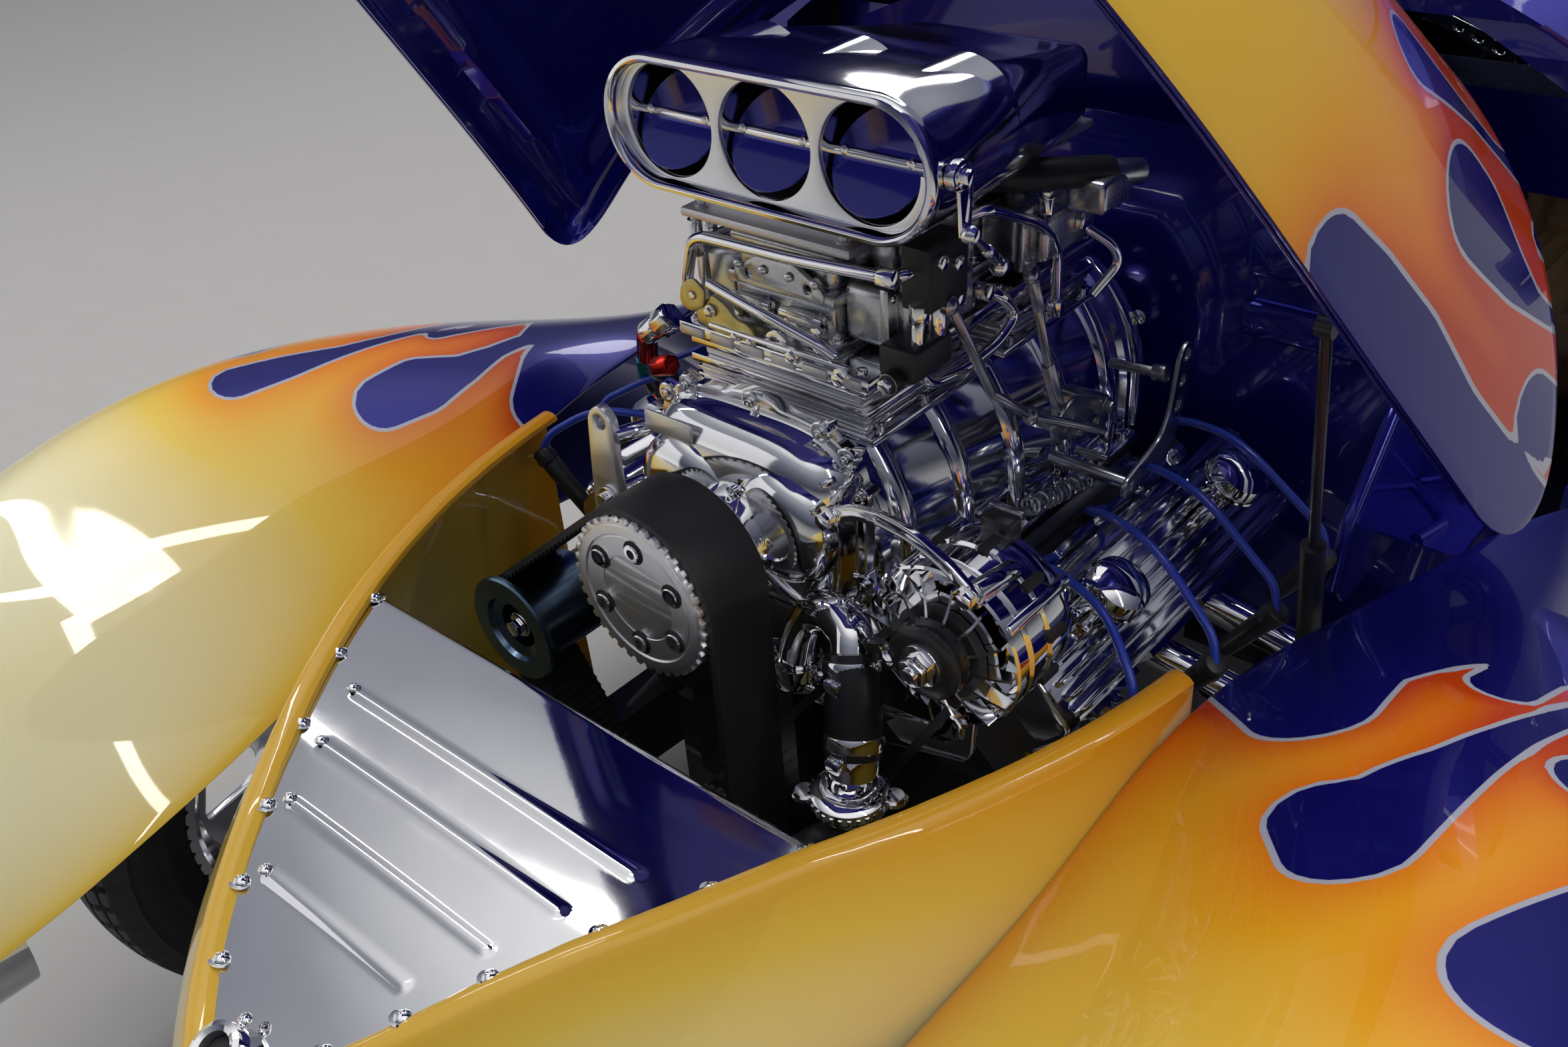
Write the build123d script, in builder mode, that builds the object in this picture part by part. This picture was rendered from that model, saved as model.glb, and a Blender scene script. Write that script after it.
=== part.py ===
from build123d import *
import os
from math import atan2, cos, hypot, radians, sin

# A fat-fendered coupe hot rod with its engine bare and its one-piece hood standing open.
# Millimetres; +X is the car's left, -Y is forward, +Z is up; the ground is z = 0.

# Wheels and axles
front_axle_y = -1470.0
rear_axle_y = 1130.0
front_tyre_r = 320.0
front_tyre_w = 165.0
rear_tyre_r = 372.0
rear_tyre_w = 280.0
front_wheel_x = 690.0
rear_wheel_x = 660.0
front_rim_r = 195.0
rear_rim_r = 205.0
rim_wall = 7.0
lug_pitch_r = 57.15
lug_hole_r = 6.5
stub_r = 16.0
running_gap = 0.05
kingpin_x = 590.0
kingpin_r = 12.0
knuckle_h = 130.0

# Body shell
wall = 32.0
panel_gap = 6.0
glass_t = 6.0
glass_inset = 12.0
sill_z = 360.0
cowl_y = -655.0
tail_y = 2045.0

# Hood: hinge axis along X, standing open by this angle
hinge_y = -690.0
hinge_z = 1240.0
hood_open = 49.0
hood_t = 12.0
hood_hinge_x = 60.0
strut_x = 434.0
strut_r = 11.0
strut_rod_r = 5.0
strut_pin_r = 5.0
strut_foot = (-1000.0, 600.0)
strut_eye_open = (-1100.0, 1075.0)

# Engine
crank_z = 470.0
upper_pulley_z = 840.0
pulley_face_y = -1440.0
pulley_r = 79.0
belt_w = 76.0
belt_t = 6.0
idler_x = -195.0
idler_z = 720.0
idler_r = 46.0
block_front_y = -1290.0
block_rear_y = -741.0
blower_front_y = -1262.0
blower_rear_y = -815.0
blower_half_w = 125.0
blower_base_z = 742.0
blower_top_z = 932.0
scoop_face_y = -1244.0
scoop_rear_y = -900.0
scoop_z = 1184.0
snout_r = 52.0
hole_r = 50.3
hole_pitch = 109.4

# Edge between hood and cowl seen from the side: y, z from the apron up to the crown
split_foot = (-573.0, 738.0)
split_top = (-676.0, 1320.0)
hood_swing_gap = 30.0
door_hinge = (622.0, -545.0)
hinge_pin_r = 5.0
hinge_barrel_r = 9.0
hood_pin_r = 4.0
hood_barrel_r = 7.0

os.makedirs("parts", exist_ok=True)


def save(built, name):
    built.part.label = name
    export_step(built.part, "parts/" + name + ".step")


def at_y(y):
    """Sketch plane across the car at y: local x is the car's X, local y is Z."""
    return Plane.XZ.offset(-y)


def at_x(x):
    """Sketch plane along the car at x: local x is the car's Y, local y is Z."""
    return Plane.YZ.offset(x)


def box(x0, x1, y0, y1, z0, z1, mode=Mode.ADD):
    with Locations(((x0 + x1) / 2, (y0 + y1) / 2, (z0 + z1) / 2)):
        Box(x1 - x0, y1 - y0, z1 - z0, mode=mode)


def rod(a, b, r, mode=Mode.ADD):
    """Round bar from point a to point b."""
    line = Vector(*b) - Vector(*a)
    with BuildSketch(Plane(origin=a, z_dir=line)) as end:
        Circle(r)
    extrude(end.sketch, amount=line.length, mode=mode)


def disc_z(x, y, z0, z1, r, mode=Mode.ADD):
    """Round disc whose axis runs along Z, from z0 up to z1."""
    rod((x, y, z0), (x, y, z1), r, mode)


def disc(x, y, z, r, depth, mode=Mode.ADD):
    """Round disc whose axis runs along Y, from y back by depth."""
    rod((x, y, z), (x, y + depth, z), r, mode)


def save_pair(left, name):
    """One node holding the left piece and its mirror image."""
    with BuildPart() as pair:
        add(left.part)
        mirror(left.part, about=Plane.YZ)
    save(pair, name)


def save_sides(left, name):
    """Two nodes: the left piece and its mirror image on the right."""
    save(left, name + "_left")
    with BuildPart() as right:
        mirror(left.part, about=Plane.YZ)
    save(right, name + "_right")


# Lower body, one row per section:
# y, sill half width, belt half width, belt z, crown z
lower_rows = (
    (cowl_y, 585, 548, 1090, 1286),
    (-300, 615, 592, 1135, 1262),
    (150, 632, 612, 1140, 1240),
    (600, 632, 606, 1120, 1205),
    (1130, 605, 545, 1050, 1160),
    (1500, 550, 462, 930, 1055),
    (1850, 455, 352, 690, 830),
    (tail_y - 10, 340, 262, 470, 560),
)
side_bulge = 14.0
low_roof_share = 1.8

# Greenhouse, one row per level:
# z, front y, pillar y, pillar half width, middle y, middle half width, rear corner y,
# rear corner half width, rear y
roof_rows = (
    (1110, -525, -450, 505, 150, 600, 1010, 470, 1345),
    (1370, -385, -322, 468, 180, 556, 850, 432, 1085),
    (1525, -280, -222, 432, 200, 512, 700, 388, 880),
    (1597, -185, -135, 376, 220, 445, 560, 325, 700),
    (1625, -10, 20, 220, 220, 262, 400, 200, 450),
)


def lower_solid(inset, drop=0.0):
    with BuildPart() as built:
        for y, ws, wb, zb, zt in lower_rows:
            a = ws - inset
            b = wb - inset
            base = sill_z - drop
            top = zb - inset * 0.6
            with BuildSketch(at_y(min(max(y, cowl_y + inset), tail_y - 10 - inset))):
                with BuildLine():
                    Line((-a, base), (a, base))
                    ThreePointArc((a, base), ((a + b) / 2 + side_bulge, (base + top) / 2), (b, top))
                    ThreePointArc((b, top), (0, zt - inset), (-b, top))
                    ThreePointArc((-b, top), (-(a + b) / 2 - side_bulge, (base + top) / 2), (-a, base))
                make_face()
        loft()
    return built.part


def roof_solid(inset):
    with BuildPart() as built:
        for z, yf, yp, wp, ym, wm, yc, wc, yr in roof_rows:
            level = z - (inset if z > 1400 else 0)
            back = inset * (1 if z > 1400 else low_roof_share)
            with BuildSketch(Plane.XY.offset(level)):
                with BuildLine():
                    p = wp - inset
                    m = wm - inset
                    c = wc - inset
                    ThreePointArc((-p, yp + inset), (0, yf + inset), (p, yp + inset))
                    ThreePointArc((p, yp + inset), (m, ym), (c, yc - inset))
                    ThreePointArc((c, yc - inset), (0, yr - back), (-c, yc - inset))
                    ThreePointArc((-c, yc - inset), (-m, ym), (-p, yp + inset))
                make_face()
        loft()
    return built.part


def body_solid(inset, drop=0.0):
    with BuildPart() as built:
        add(lower_solid(inset, drop))
        add(roof_solid(inset))
    return built.part


outer_body = body_solid(0)
inner_body = body_solid(wall, drop=60)
floor_outline = body_solid(wall + 6, drop=60)
glass_outer = body_solid(glass_inset)
glass_inner = body_solid(glass_inset + glass_t)

# Door opening and window outlines seen from the side: y, z
door_outline = ((-545, 400), (440, 400), (440, 1110), (440, 1465), (400, 1510), (-150, 1525),
                (-345, 1270), (-545, 1185))
door_window = ((-300, 1215), (375, 1215), (375, 1445), (350, 1470), (-130, 1475), (-190, 1425))
quarter_window = ((505, 1215), (800, 1215), (740, 1355), (640, 1445), (505, 1465))
# Windows seen from the front or rear: x, z
windshield_half = ((26, 1312), (400, 1305), (372, 1505), (340, 1530), (26, 1537))
rear_window = ((-268, 1274), (268, 1274), (245, 1425), (200, 1455), (-200, 1455), (-245, 1425))


def side_prism(outline, grow=0.0):
    """Prism of an outline seen from the side, on the left half only."""
    with BuildPart() as built:
        with BuildSketch(at_x(250)):
            Polygon(*outline, align=None)
            if grow:
                offset(amount=grow, kind=Kind.INTERSECTION)
        extrude(amount=500)
    return built.part


def end_prism(outline, y0, y1, grow=0.0):
    """Prism of an outline seen from the front, from y0 back to y1."""
    with BuildPart() as built:
        with BuildSketch(at_y(y1)):
            Polygon(*outline, align=None)
            if grow:
                offset(amount=grow, kind=Kind.INTERSECTION)
        extrude(amount=y1 - y0)
    return built.part


# Decklid outline seen from above: x, y
lid_outline = ((-300, 1370), (300, 1370), (320, 1500), (290, 1800), (210, 1960), (-210, 1960),
               (-290, 1800), (-320, 1500))
lid_hinge_x = (-180.0, 180.0)
lid_hinge_y = 1366.0
lid_hinge_z = 1110.0
door_hinge_z = (520.0, 1000.0)


def lid_prism(grow=0.0):
    with BuildPart() as built:
        with BuildSketch(Plane.XY.offset(600)):
            Polygon(*lid_outline, align=None)
            if grow:
                offset(amount=grow, kind=Kind.INTERSECTION)
        extrude(amount=700)
    return built.part


rear_well_r = rear_tyre_r + 38
rear_well_x = rear_wheel_x - rear_tyre_w / 2 - 22

with BuildPart() as body_shell:
    add(outer_body)
    add(inner_body, mode=Mode.SUBTRACT)
    for side in (1, -1):
        for outline, grow in ((door_outline, 0), (quarter_window, 0)):
            prism = side_prism(outline, grow)
            add(prism if side == 1 else mirror(prism, about=Plane.YZ, mode=Mode.PRIVATE), mode=Mode.SUBTRACT)
        pane = end_prism(windshield_half, -700, 0)
        add(pane if side == 1 else mirror(pane, about=Plane.YZ, mode=Mode.PRIVATE), mode=Mode.SUBTRACT)
        with BuildSketch(at_x(side * rear_well_x)):
            with Locations((rear_axle_y, rear_tyre_r)):
                Circle(rear_well_r)
        extrude(amount=side * 400, mode=Mode.SUBTRACT)
    add(end_prism(rear_window, 500, 1500), mode=Mode.SUBTRACT)
    add(lid_prism(), mode=Mode.SUBTRACT)
    box(-540, 540, cowl_y - 5, cowl_y + wall, 300, 1180, mode=Mode.SUBTRACT)
    with BuildSketch(at_x(-700)):
        Polygon((-800, split_foot[1]), (split_foot[0] + panel_gap, split_foot[1]),
                (split_top[0] + hood_swing_gap, split_top[1]), (-800, split_top[1]), align=None)
    extrude(amount=1400, mode=Mode.SUBTRACT)
    for side in (1, -1):
        for z in door_hinge_z:
            disc_z(side * door_hinge[0], door_hinge[1], z - 24, z - 8.3, hinge_barrel_r)
            disc_z(side * door_hinge[0], door_hinge[1], z + 8.3, z + 24, hinge_barrel_r)
            disc_z(side * door_hinge[0], door_hinge[1], z - 24, z + 24, hinge_pin_r)
            for z0 in (z - 24, z + 8.3):
                box(side * 591 - 31, side * 591 + 31, door_hinge[1] - 34, door_hinge[1] - 4, z0, z0 + 15.7)
    for x in lid_hinge_x:
        for x0 in (x - 24, x + 8.3):
            rod((x0, lid_hinge_y, lid_hinge_z), (x0 + 15.7, lid_hinge_y, lid_hinge_z), hinge_barrel_r)
            box(x0, x0 + 15.7, lid_hinge_y - 40, lid_hinge_y - 4, lid_hinge_z - 38, lid_hinge_z + 4)
        rod((x - 24, lid_hinge_y, lid_hinge_z), (x + 24, lid_hinge_y, lid_hinge_z), hinge_pin_r)
save(body_shell, "body_shell")

with BuildPart() as decklid:
    add(outer_body)
    add(inner_body, mode=Mode.SUBTRACT)
    add(lid_prism(-panel_gap), mode=Mode.INTERSECT)
    for x in lid_hinge_x:
        box(x - 8, x + 8, lid_hinge_y, lid_hinge_y + 38, lid_hinge_z - 9, lid_hinge_z - 1)
        box(x - 8, x + 8, lid_hinge_y + 18, lid_hinge_y + 38, lid_hinge_z - 45, lid_hinge_z - 2)
        rod((x - 8, lid_hinge_y, lid_hinge_z), (x + 8, lid_hinge_y, lid_hinge_z), hinge_barrel_r)
        rod((x - 9, lid_hinge_y, lid_hinge_z), (x + 9, lid_hinge_y, lid_hinge_z),
            hinge_pin_r + running_gap, mode=Mode.SUBTRACT)
save(decklid, "decklid")

with BuildPart() as door:
    add(outer_body)
    add(inner_body, mode=Mode.SUBTRACT)
    add(side_prism(door_outline, -panel_gap), mode=Mode.INTERSECT)
    add(side_prism(door_window), mode=Mode.SUBTRACT)
    for z in door_hinge_z:
        box(door_hinge[0] - 50, door_hinge[0] - 2, door_hinge[1] + 7, door_hinge[1] + 40, z - 8, z + 8)
        box(door_hinge[0] - 8, door_hinge[0], door_hinge[1], door_hinge[1] + 20, z - 8, z + 8)
        disc_z(door_hinge[0], door_hinge[1], z - 8, z + 8, hinge_barrel_r)
        disc_z(door_hinge[0], door_hinge[1], z - 9, z + 9, hinge_pin_r + running_gap, mode=Mode.SUBTRACT)
save_sides(door, "door")

with BuildPart() as door_glass:
    add(glass_outer)
    add(glass_inner, mode=Mode.SUBTRACT)
    add(side_prism(door_window), mode=Mode.INTERSECT)
save_sides(door_glass, "door_glass")

with BuildPart() as fixed_glass:
    for window in (side_prism(quarter_window), end_prism(windshield_half, -700, 0)):
        with BuildPart(mode=Mode.PRIVATE) as pane:
            add(glass_outer)
            add(glass_inner, mode=Mode.SUBTRACT)
            add(window, mode=Mode.INTERSECT)
        add(pane.part)
        mirror(pane.part, about=Plane.YZ)
    with BuildPart(mode=Mode.PRIVATE) as pane:
        add(glass_outer)
        add(glass_inner, mode=Mode.SUBTRACT)
        add(end_prism(rear_window, 500, 1500), mode=Mode.INTERSECT)
    add(pane.part)
save(fixed_glass, "fixed_glass")

# Front fender, one row per section on the left side:
# y, seam x, seam z, crown x, crown z, outer x, outer z, bottom z
fender_rows = (
    (-2035, 410, 500, 480, 590, 550, 500, 450),
    (-1985, 372, 560, 505, 700, 690, 560, 390),
    (-1850, 352, 600, 600, 800, 805, 640, 345),
    (-1650, 362, 640, 680, 848, 862, 690, 340),
    (-1445, 386, 690, 700, 862, 872, 690, 340),
    (-1200, 415, 765, 685, 818, 868, 640, 340),
    (-950, 478, 760, 670, 728, 850, 520, 335),
    (-750, 535, 750, 662, 600, 838, 430, 325),
    (-570, 588, 700, 690, 430, 830, 372, 322),
)
rear_fender_rows = (
    (600, 560, 640, 690, 430, 830, 380, 322),
    (760, 560, 760, 700, 640, 852, 480, 330),
    (950, 540, 850, 700, 800, 862, 620, 340),
    (1130, 520, 870, 695, 850, 865, 660, 345),
    (1400, 480, 820, 665, 800, 852, 600, 350),
    (1650, 420, 700, 600, 680, 800, 500, 350),
    (1850, 370, 560, 530, 540, 680, 430, 350),
)
fender_t = 14.0
front_well_r = front_tyre_r + 58
# Fender foot cut clear of the body side: outer x, front y, rear y
foot_relief = (604.0, -592.0, -560.0)


def fender_loft(rows, inset, drop):
    with BuildPart() as built:
        for y, sx, sz, cx, cz, ox, oz, bz in rows:
            level = min(max(y, rows[0][0] + inset), rows[-1][0] + inset)
            a = sx + inset
            o = ox - inset
            base = bz - drop
            with BuildSketch(at_y(level)):
                with BuildLine():
                    Line((a, base), (a, sz - inset))
                    ThreePointArc((a, sz - inset), ((a + cx) / 2, (sz + cz) / 2 + (cx - a) * 0.10 - inset),
                                  (cx, cz - inset))
                    ThreePointArc((cx, cz - inset), (cx + (o - cx) * 0.72, oz + (cz - oz) * 0.66 - inset * 0.6),
                                  (o, oz - inset * 0.5))
                    Line((o, oz - inset * 0.5), (o, base))
                    Line((o, base), (a, base))
                make_face()
        loft()
    return built.part


# Nose plan, one row per level: z, half width at the rear, half width midway, midway y, tip y
nose_rows = (
    (800, 408, 297, -1528, -1862),
    (630, 408, 374, -1540, -1955),
    (390, 400, 330, -1680, -2020),
)
nose_back_y = -1205.0
nose_t = 12.0
lip_w = 26.0
# Lip of the nose opening seen from the side: y, z
lip_rows = ((-1100, 788), (-1214, 787), (-1540, 790), (-1682, 770), (-1750, 753), (-1804, 733), (-1880, 700), (-2100, 690))


def nose_loft(inset, drop=0.0):
    with BuildPart() as built:
        for z, w, m, my, tip in nose_rows:
            with BuildSketch(Plane.XY.offset(z + (drop if z > 700 else 0) - (drop if z < 500 else 0))):
                with BuildLine():
                    b = w - inset
                    c = m - inset
                    Line((-b, nose_back_y), (b, nose_back_y))
                    ThreePointArc((b, nose_back_y), (c, my), (0, tip + inset * 1.3))
                    ThreePointArc((0, tip + inset * 1.3), (-c, my), (-b, nose_back_y))
                make_face()
        loft()
    return built.part


def under_lip(offset_z):
    """Everything below the lip line moved by offset_z."""
    with BuildPart() as built:
        with BuildSketch(at_x(-600)):
            Polygon(*[(y, z + offset_z) for y, z in lip_rows], (-2100, 100), (-1100, 100), align=None)
        extrude(amount=1200)
    return built.part


nose_outer = nose_loft(0)
grille_outline = ((-250, 440), (250, 440), (215, 590), (120, 640), (-120, 640), (-215, 590))

with BuildPart() as nose_shell:
    add(nose_outer)
    add(under_lip(0), mode=Mode.INTERSECT)
    add(nose_loft(nose_t, 40), mode=Mode.SUBTRACT)
    add(end_prism(grille_outline, -2200, -1700), mode=Mode.SUBTRACT)
save(nose_shell, "nose_shell")

bar_count = 11
bar_h = 9.0
with BuildPart() as grille_bars:
    for i in range(bar_count):
        z = 452 + i * 19.5
        box(-250, 250, -2200, -1700, z, z + bar_h)
    box(-7, 7, -2200, -1700, 442, 638)
    add(end_prism(grille_outline, -2200, -1700, -0.5), mode=Mode.INTERSECT)
with BuildPart() as grille_ring:
    add(end_prism(grille_outline, -2200, -1700, 14))
    add(end_prism(grille_outline, -2200, -1700, -6), mode=Mode.SUBTRACT)
    add(nose_loft(nose_t + 2.0, 40), mode=Mode.INTERSECT)
with BuildPart() as grille:
    add(grille_bars.part)
    add(grille_ring.part)
    add(nose_loft(nose_t * 0.2), mode=Mode.INTERSECT)
    add(nose_loft(nose_t * 2.2, 40), mode=Mode.SUBTRACT)
save(grille, "grille")

with BuildPart() as radiator_cover:
    add(nose_loft(nose_t + 0.8, 40))
    add(under_lip(-6), mode=Mode.INTERSECT)
    add(under_lip(-10), mode=Mode.SUBTRACT)
    box(-500, 500, -1530, -1000, 100, 1000, mode=Mode.SUBTRACT)
save(radiator_cover, "radiator_cover")

with BuildPart() as radiator:
    box(-255, 255, -1600, -1545, 372, 700)
    box(-265, 265, -1610, -1535, 700, 758)
    box(-265, 265, -1610, -1535, 330, 372)
save(radiator, "radiator")

lamp_x = 470.0
lamp_z = 560.0
lamp_r = 92.0
lamp_y = -2030.0
with BuildPart() as front_fender:
    add(fender_loft(fender_rows, 0, 0))
    add(fender_loft(fender_rows, fender_t, 40), mode=Mode.SUBTRACT)
    add(nose_outer, mode=Mode.SUBTRACT)
    add(outer_body, mode=Mode.SUBTRACT)
    with BuildSketch(at_x(620)):
        with Locations((front_axle_y, front_tyre_r - 15)):
            Circle(front_well_r)
    extrude(amount=400, mode=Mode.SUBTRACT)
    with BuildSketch(at_y(-1800)):
        with Locations((lamp_x, lamp_z)):
            Circle(lamp_r + 0.3)
    extrude(amount=300, mode=Mode.SUBTRACT)
    box(560, foot_relief[0], foot_relief[1], foot_relief[2], 300, 760, mode=Mode.SUBTRACT)
with BuildPart() as front_fenders:
    add(front_fender.part)
    mirror(front_fender.part, about=Plane.YZ)
    rod((strut_x - 8, *strut_foot), (474, *strut_foot), strut_pin_r)
save(front_fenders, "front_fenders")

with BuildPart() as rear_fender:
    add(fender_loft(rear_fender_rows, 0, 0))
    add(fender_loft(rear_fender_rows, fender_t, 40), mode=Mode.SUBTRACT)
    add(outer_body, mode=Mode.SUBTRACT)
    box(300, 616, 500, 1950, 200, sill_z + 2, mode=Mode.SUBTRACT)
    with BuildSketch(at_x(560)):
        with Locations((rear_axle_y, rear_tyre_r - 40)):
            Circle(rear_well_r + 4)
    extrude(amount=400, mode=Mode.SUBTRACT)
save_pair(rear_fender, "rear_fenders")

with BuildPart() as running_board:
    box(604, 832, -568, 598, 322, sill_z)
    fillet(running_board.edges().filter_by(Axis.Y).group_by(Axis.X)[-1], radius=15)
save_pair(running_board, "running_boards")

# Hood, closed, one row per section: y, edge half width, edge z, crown z
hood_rows = (
    (-1872, 12, 710, 726),
    (-1804, 128, 741, 838),
    (-1682, 218, 780, 940),
    (-1528, 300, 801, 1016),
    (-1214, 411, 796, 1114),
    (-860, 505, 776, 1224),
    (-560, 590, 752, 1306),
)


def hood_loft(inset, drop):
    with BuildPart() as built:
        for y, w, ze, zc in hood_rows:
            level = min(max(y, hood_rows[0][0] + inset), hood_rows[-1][0] + inset)
            a = max(w - inset, 4)
            base = ze - drop
            top = max(zc - inset * 1.15, ze + 4)
            h = top - ze
            with BuildSketch(at_y(level)):
                with BuildLine():
                    Line((-a, base), (a, base))
                    Line((a, base), (a, ze + 1))
                    ThreePointArc((a, ze + 1), (a * 0.80, ze + h * 0.62), (0, top))
                    ThreePointArc((0, top), (-a * 0.80, ze + h * 0.62), (-a, ze + 1))
                    Line((-a, ze + 1), (-a, base))
                make_face()
        loft()
    return built.part


hood_pivot = Axis((0, hinge_y, hinge_z), (1, 0, 0))


def opened(y, z, turn=-hood_open):
    a = atan2(z - hinge_z, y - hinge_y) + radians(turn)
    r = hypot(z - hinge_z, y - hinge_y)
    return hinge_y + r * cos(a), hinge_z + r * sin(a)


strut_eye_closed = opened(*strut_eye_open, turn=hood_open)

with BuildPart() as hood_closed:
    add(hood_loft(0, 0))
    add(hood_loft(hood_t, 60), mode=Mode.SUBTRACT)
    with BuildSketch(Plane.XY.offset(950)):
        with Locations((0, (-1285 - 850) / 2)):
            RectangleRounded(410, 435, 45)
    extrude(amount=400, mode=Mode.SUBTRACT)
    with BuildSketch(at_x(-700)):
        Polygon((-500, 600), (split_foot[0], 600), split_foot, split_top, (-500, split_top[1]), align=None)
    extrude(amount=1400, mode=Mode.SUBTRACT)
    for side in (1, -1):
        x = side * hood_hinge_x
        box(x - 8, x + 8, hinge_y - 46, hinge_y, hinge_z - 6, hinge_z + 6)
        box(x - 8, x + 8, hinge_y - 70, hinge_y - 30, hinge_z - 6, hinge_z + 36)
        rod((x - 8, hinge_y, hinge_z), (x + 8, hinge_y, hinge_z), hood_barrel_r)
        rod((x - 9, hinge_y, hinge_z), (x + 9, hinge_y, hinge_z), hood_pin_r + running_gap, mode=Mode.SUBTRACT)
    rod((strut_x + 7.3, *strut_eye_closed), (512, *strut_eye_closed), 7)
with BuildPart() as hood:
    add(hood_closed.part.rotate(hood_pivot, -hood_open))
save(hood, "hood")

strut_len = hypot(strut_eye_open[0] - strut_foot[0], strut_eye_open[1] - strut_foot[1])
strut_closed_len = hypot(strut_eye_closed[0] - strut_foot[0], strut_eye_closed[1] - strut_foot[1])


# Gas strut on the left: its tube stands on the inner apron, its rod reaches for the hood's pin
strut_dir = Vector(0, strut_eye_open[0] - strut_foot[0], strut_eye_open[1] - strut_foot[1]).normalized()
tube_len = strut_closed_len - 22
bore_end = 22.0
eye_r = 9.0


def along_strut(d):
    return (strut_x, strut_foot[0] + strut_dir.Y * d, strut_foot[1] + strut_dir.Z * d)


with BuildPart() as strut_tube:
    rod(along_strut(14), along_strut(tube_len), strut_r)
    rod(along_strut(0), along_strut(16), 6)
    rod((strut_x - 7, *strut_foot), (strut_x + 7, *strut_foot), eye_r)
    rod((strut_x - 8, *strut_foot), (strut_x + 8, *strut_foot), strut_pin_r + running_gap, mode=Mode.SUBTRACT)
    rod(along_strut(bore_end), along_strut(tube_len + 1), strut_rod_r + running_gap, mode=Mode.SUBTRACT)
save(strut_tube, "strut_tube")

with BuildPart() as strut_rod:
    rod(along_strut(bore_end + 2 + strut_len - strut_closed_len), along_strut(strut_len - 8), strut_rod_r)
    rod((strut_x - 7, *strut_eye_open), (strut_x + 7, *strut_eye_open), eye_r)
save(strut_rod, "strut_rod")

# Engine bay panels: firewall and the inner aprons' upper ledges
firewall_y = -735.0
panel_t = 4.0
side_panel_x = 415.0
hinge_panel_y = -677.0
with BuildPart() as bay_panels:
    with BuildSketch(at_y(firewall_y + panel_t)):
        with BuildLine():
            Polyline((-500, 470), (500, 470), (500, 740), (440, 985), (300, 1062))
            ThreePointArc((300, 1062), (0, 1072), (-300, 1062))
            Polyline((-300, 1062), (-440, 985), (-500, 740), (-500, 470))
        make_face()
    extrude(amount=panel_t)
    box(-156, 156, firewall_y - 10, firewall_y + 10, 300, 645, mode=Mode.SUBTRACT)
    for side in (1, -1):
        with BuildSketch(at_x(side * side_panel_x)):
            Polygon((firewall_y, 690), (firewall_y, 900), (-821, 866), (-897, 781), (-917, 710), (-900, 690), align=None)
        extrude(amount=side * panel_t)
        box(side * 458 - 42, side * 458 + 42, -840, firewall_y, 738, 742)
    box(-300, 300, firewall_y, hinge_panel_y, 1030, 1034)
    with BuildSketch(at_y(hinge_panel_y + panel_t)):
        Polygon((-420, 1000), (420, 1000), (330, 1120), (180, 1180), (90, 1208), (-90, 1208), (-180, 1180),
                (-330, 1120), align=None)
    extrude(amount=panel_t)
    for side in (1, -1):
        x = side * hood_hinge_x
        for x0 in (x - 16, x + 8.3):
            box(x0, x0 + 7.7, hinge_y - 4, hinge_panel_y, hinge_z - 50, hinge_z - 2)
            rod((x0, hinge_y, hinge_z), (x0 + 7.7, hinge_y, hinge_z), hood_barrel_r)
        rod((x - 16, hinge_y, hinge_z), (x + 16, hinge_y, hinge_z), hood_pin_r)
save(bay_panels, "bay_panels")

# Frame rails and the cross members between them
rail_x = 300.0
rail_w = 50.0
rail_h = 95.0
rail_z = 335.0
with BuildPart() as frame:
    for side in (1, -1):
        with BuildSketch(at_x(side * rail_x - rail_w / 2)):
            Polygon((-1650, rail_z + 36), (-1150, rail_z), (780, rail_z), (930, rail_z + 170),
                    (1330, rail_z + 170), (1560, rail_z + 60), (1900, rail_z + 60),
                    (1900, rail_z + 60 + 60), (1540, rail_z + 130), (1350, rail_z + 170 + 80), (910, rail_z + 170 + 80),
                    (740, rail_z + rail_h), (-1150, rail_z + rail_h), (-1650, rail_z + 100),
                    align=None)
        extrude(amount=rail_w)
save(frame, "frame")

with BuildPart() as cross_members:
    inner = rail_x - rail_w / 2
    box(-inner, inner, -1650, -1615, rail_z + 40, rail_z + 95)
    box(-inner, inner, front_axle_y - 45, front_axle_y + 45, rail_z + 5, rail_z + 25)
    box(-inner, inner, -480, -420, rail_z - 5, rail_z + 15)
    box(-inner, inner, 640, 690, rail_z + 2, rail_z + 16)
    box(-inner, inner, 1830, 1890, rail_z + 62, rail_z + 118)
save(cross_members, "cross_members")

# Front beam axle with a cross spring and radius rods
with BuildPart() as front_axle:
    ax_z = front_tyre_r
    rod((-kingpin_x + 80, front_axle_y, ax_z - 60), (kingpin_x - 80, front_axle_y, ax_z - 60), 25)
    for side in (1, -1):
        rod((side * (kingpin_x - 88), front_axle_y, ax_z - 60), (side * (kingpin_x - 18), front_axle_y, ax_z), 20)
        rod((side * kingpin_x, front_axle_y, ax_z - 38), (side * kingpin_x, front_axle_y, ax_z + 38), 18)
        rod((side * 470, front_axle_y + 20, ax_z - 60), (side * 345, -900, rail_z + 20), 13)
        rod((side * 325.3, -900, rail_z + 20), (side * 345, -900, rail_z + 20), 9)
        box(side * 480 - 16, side * 480 + 16, front_axle_y - 30, front_axle_y + 30, ax_z - 90, ax_z - 28)
    box(-470, 470, front_axle_y - 28, front_axle_y + 28, ax_z - 33, ax_z - 28)
    box(-250, 250, front_axle_y - 28, front_axle_y + 28, ax_z - 28, rail_z + 5)
    for side in (1, -1):
        rod((side * kingpin_x, front_axle_y, ax_z - 60), (side * kingpin_x, front_axle_y, ax_z + 60),
            kingpin_r + running_gap, mode=Mode.SUBTRACT)
save(front_axle, "front_axle")

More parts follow.
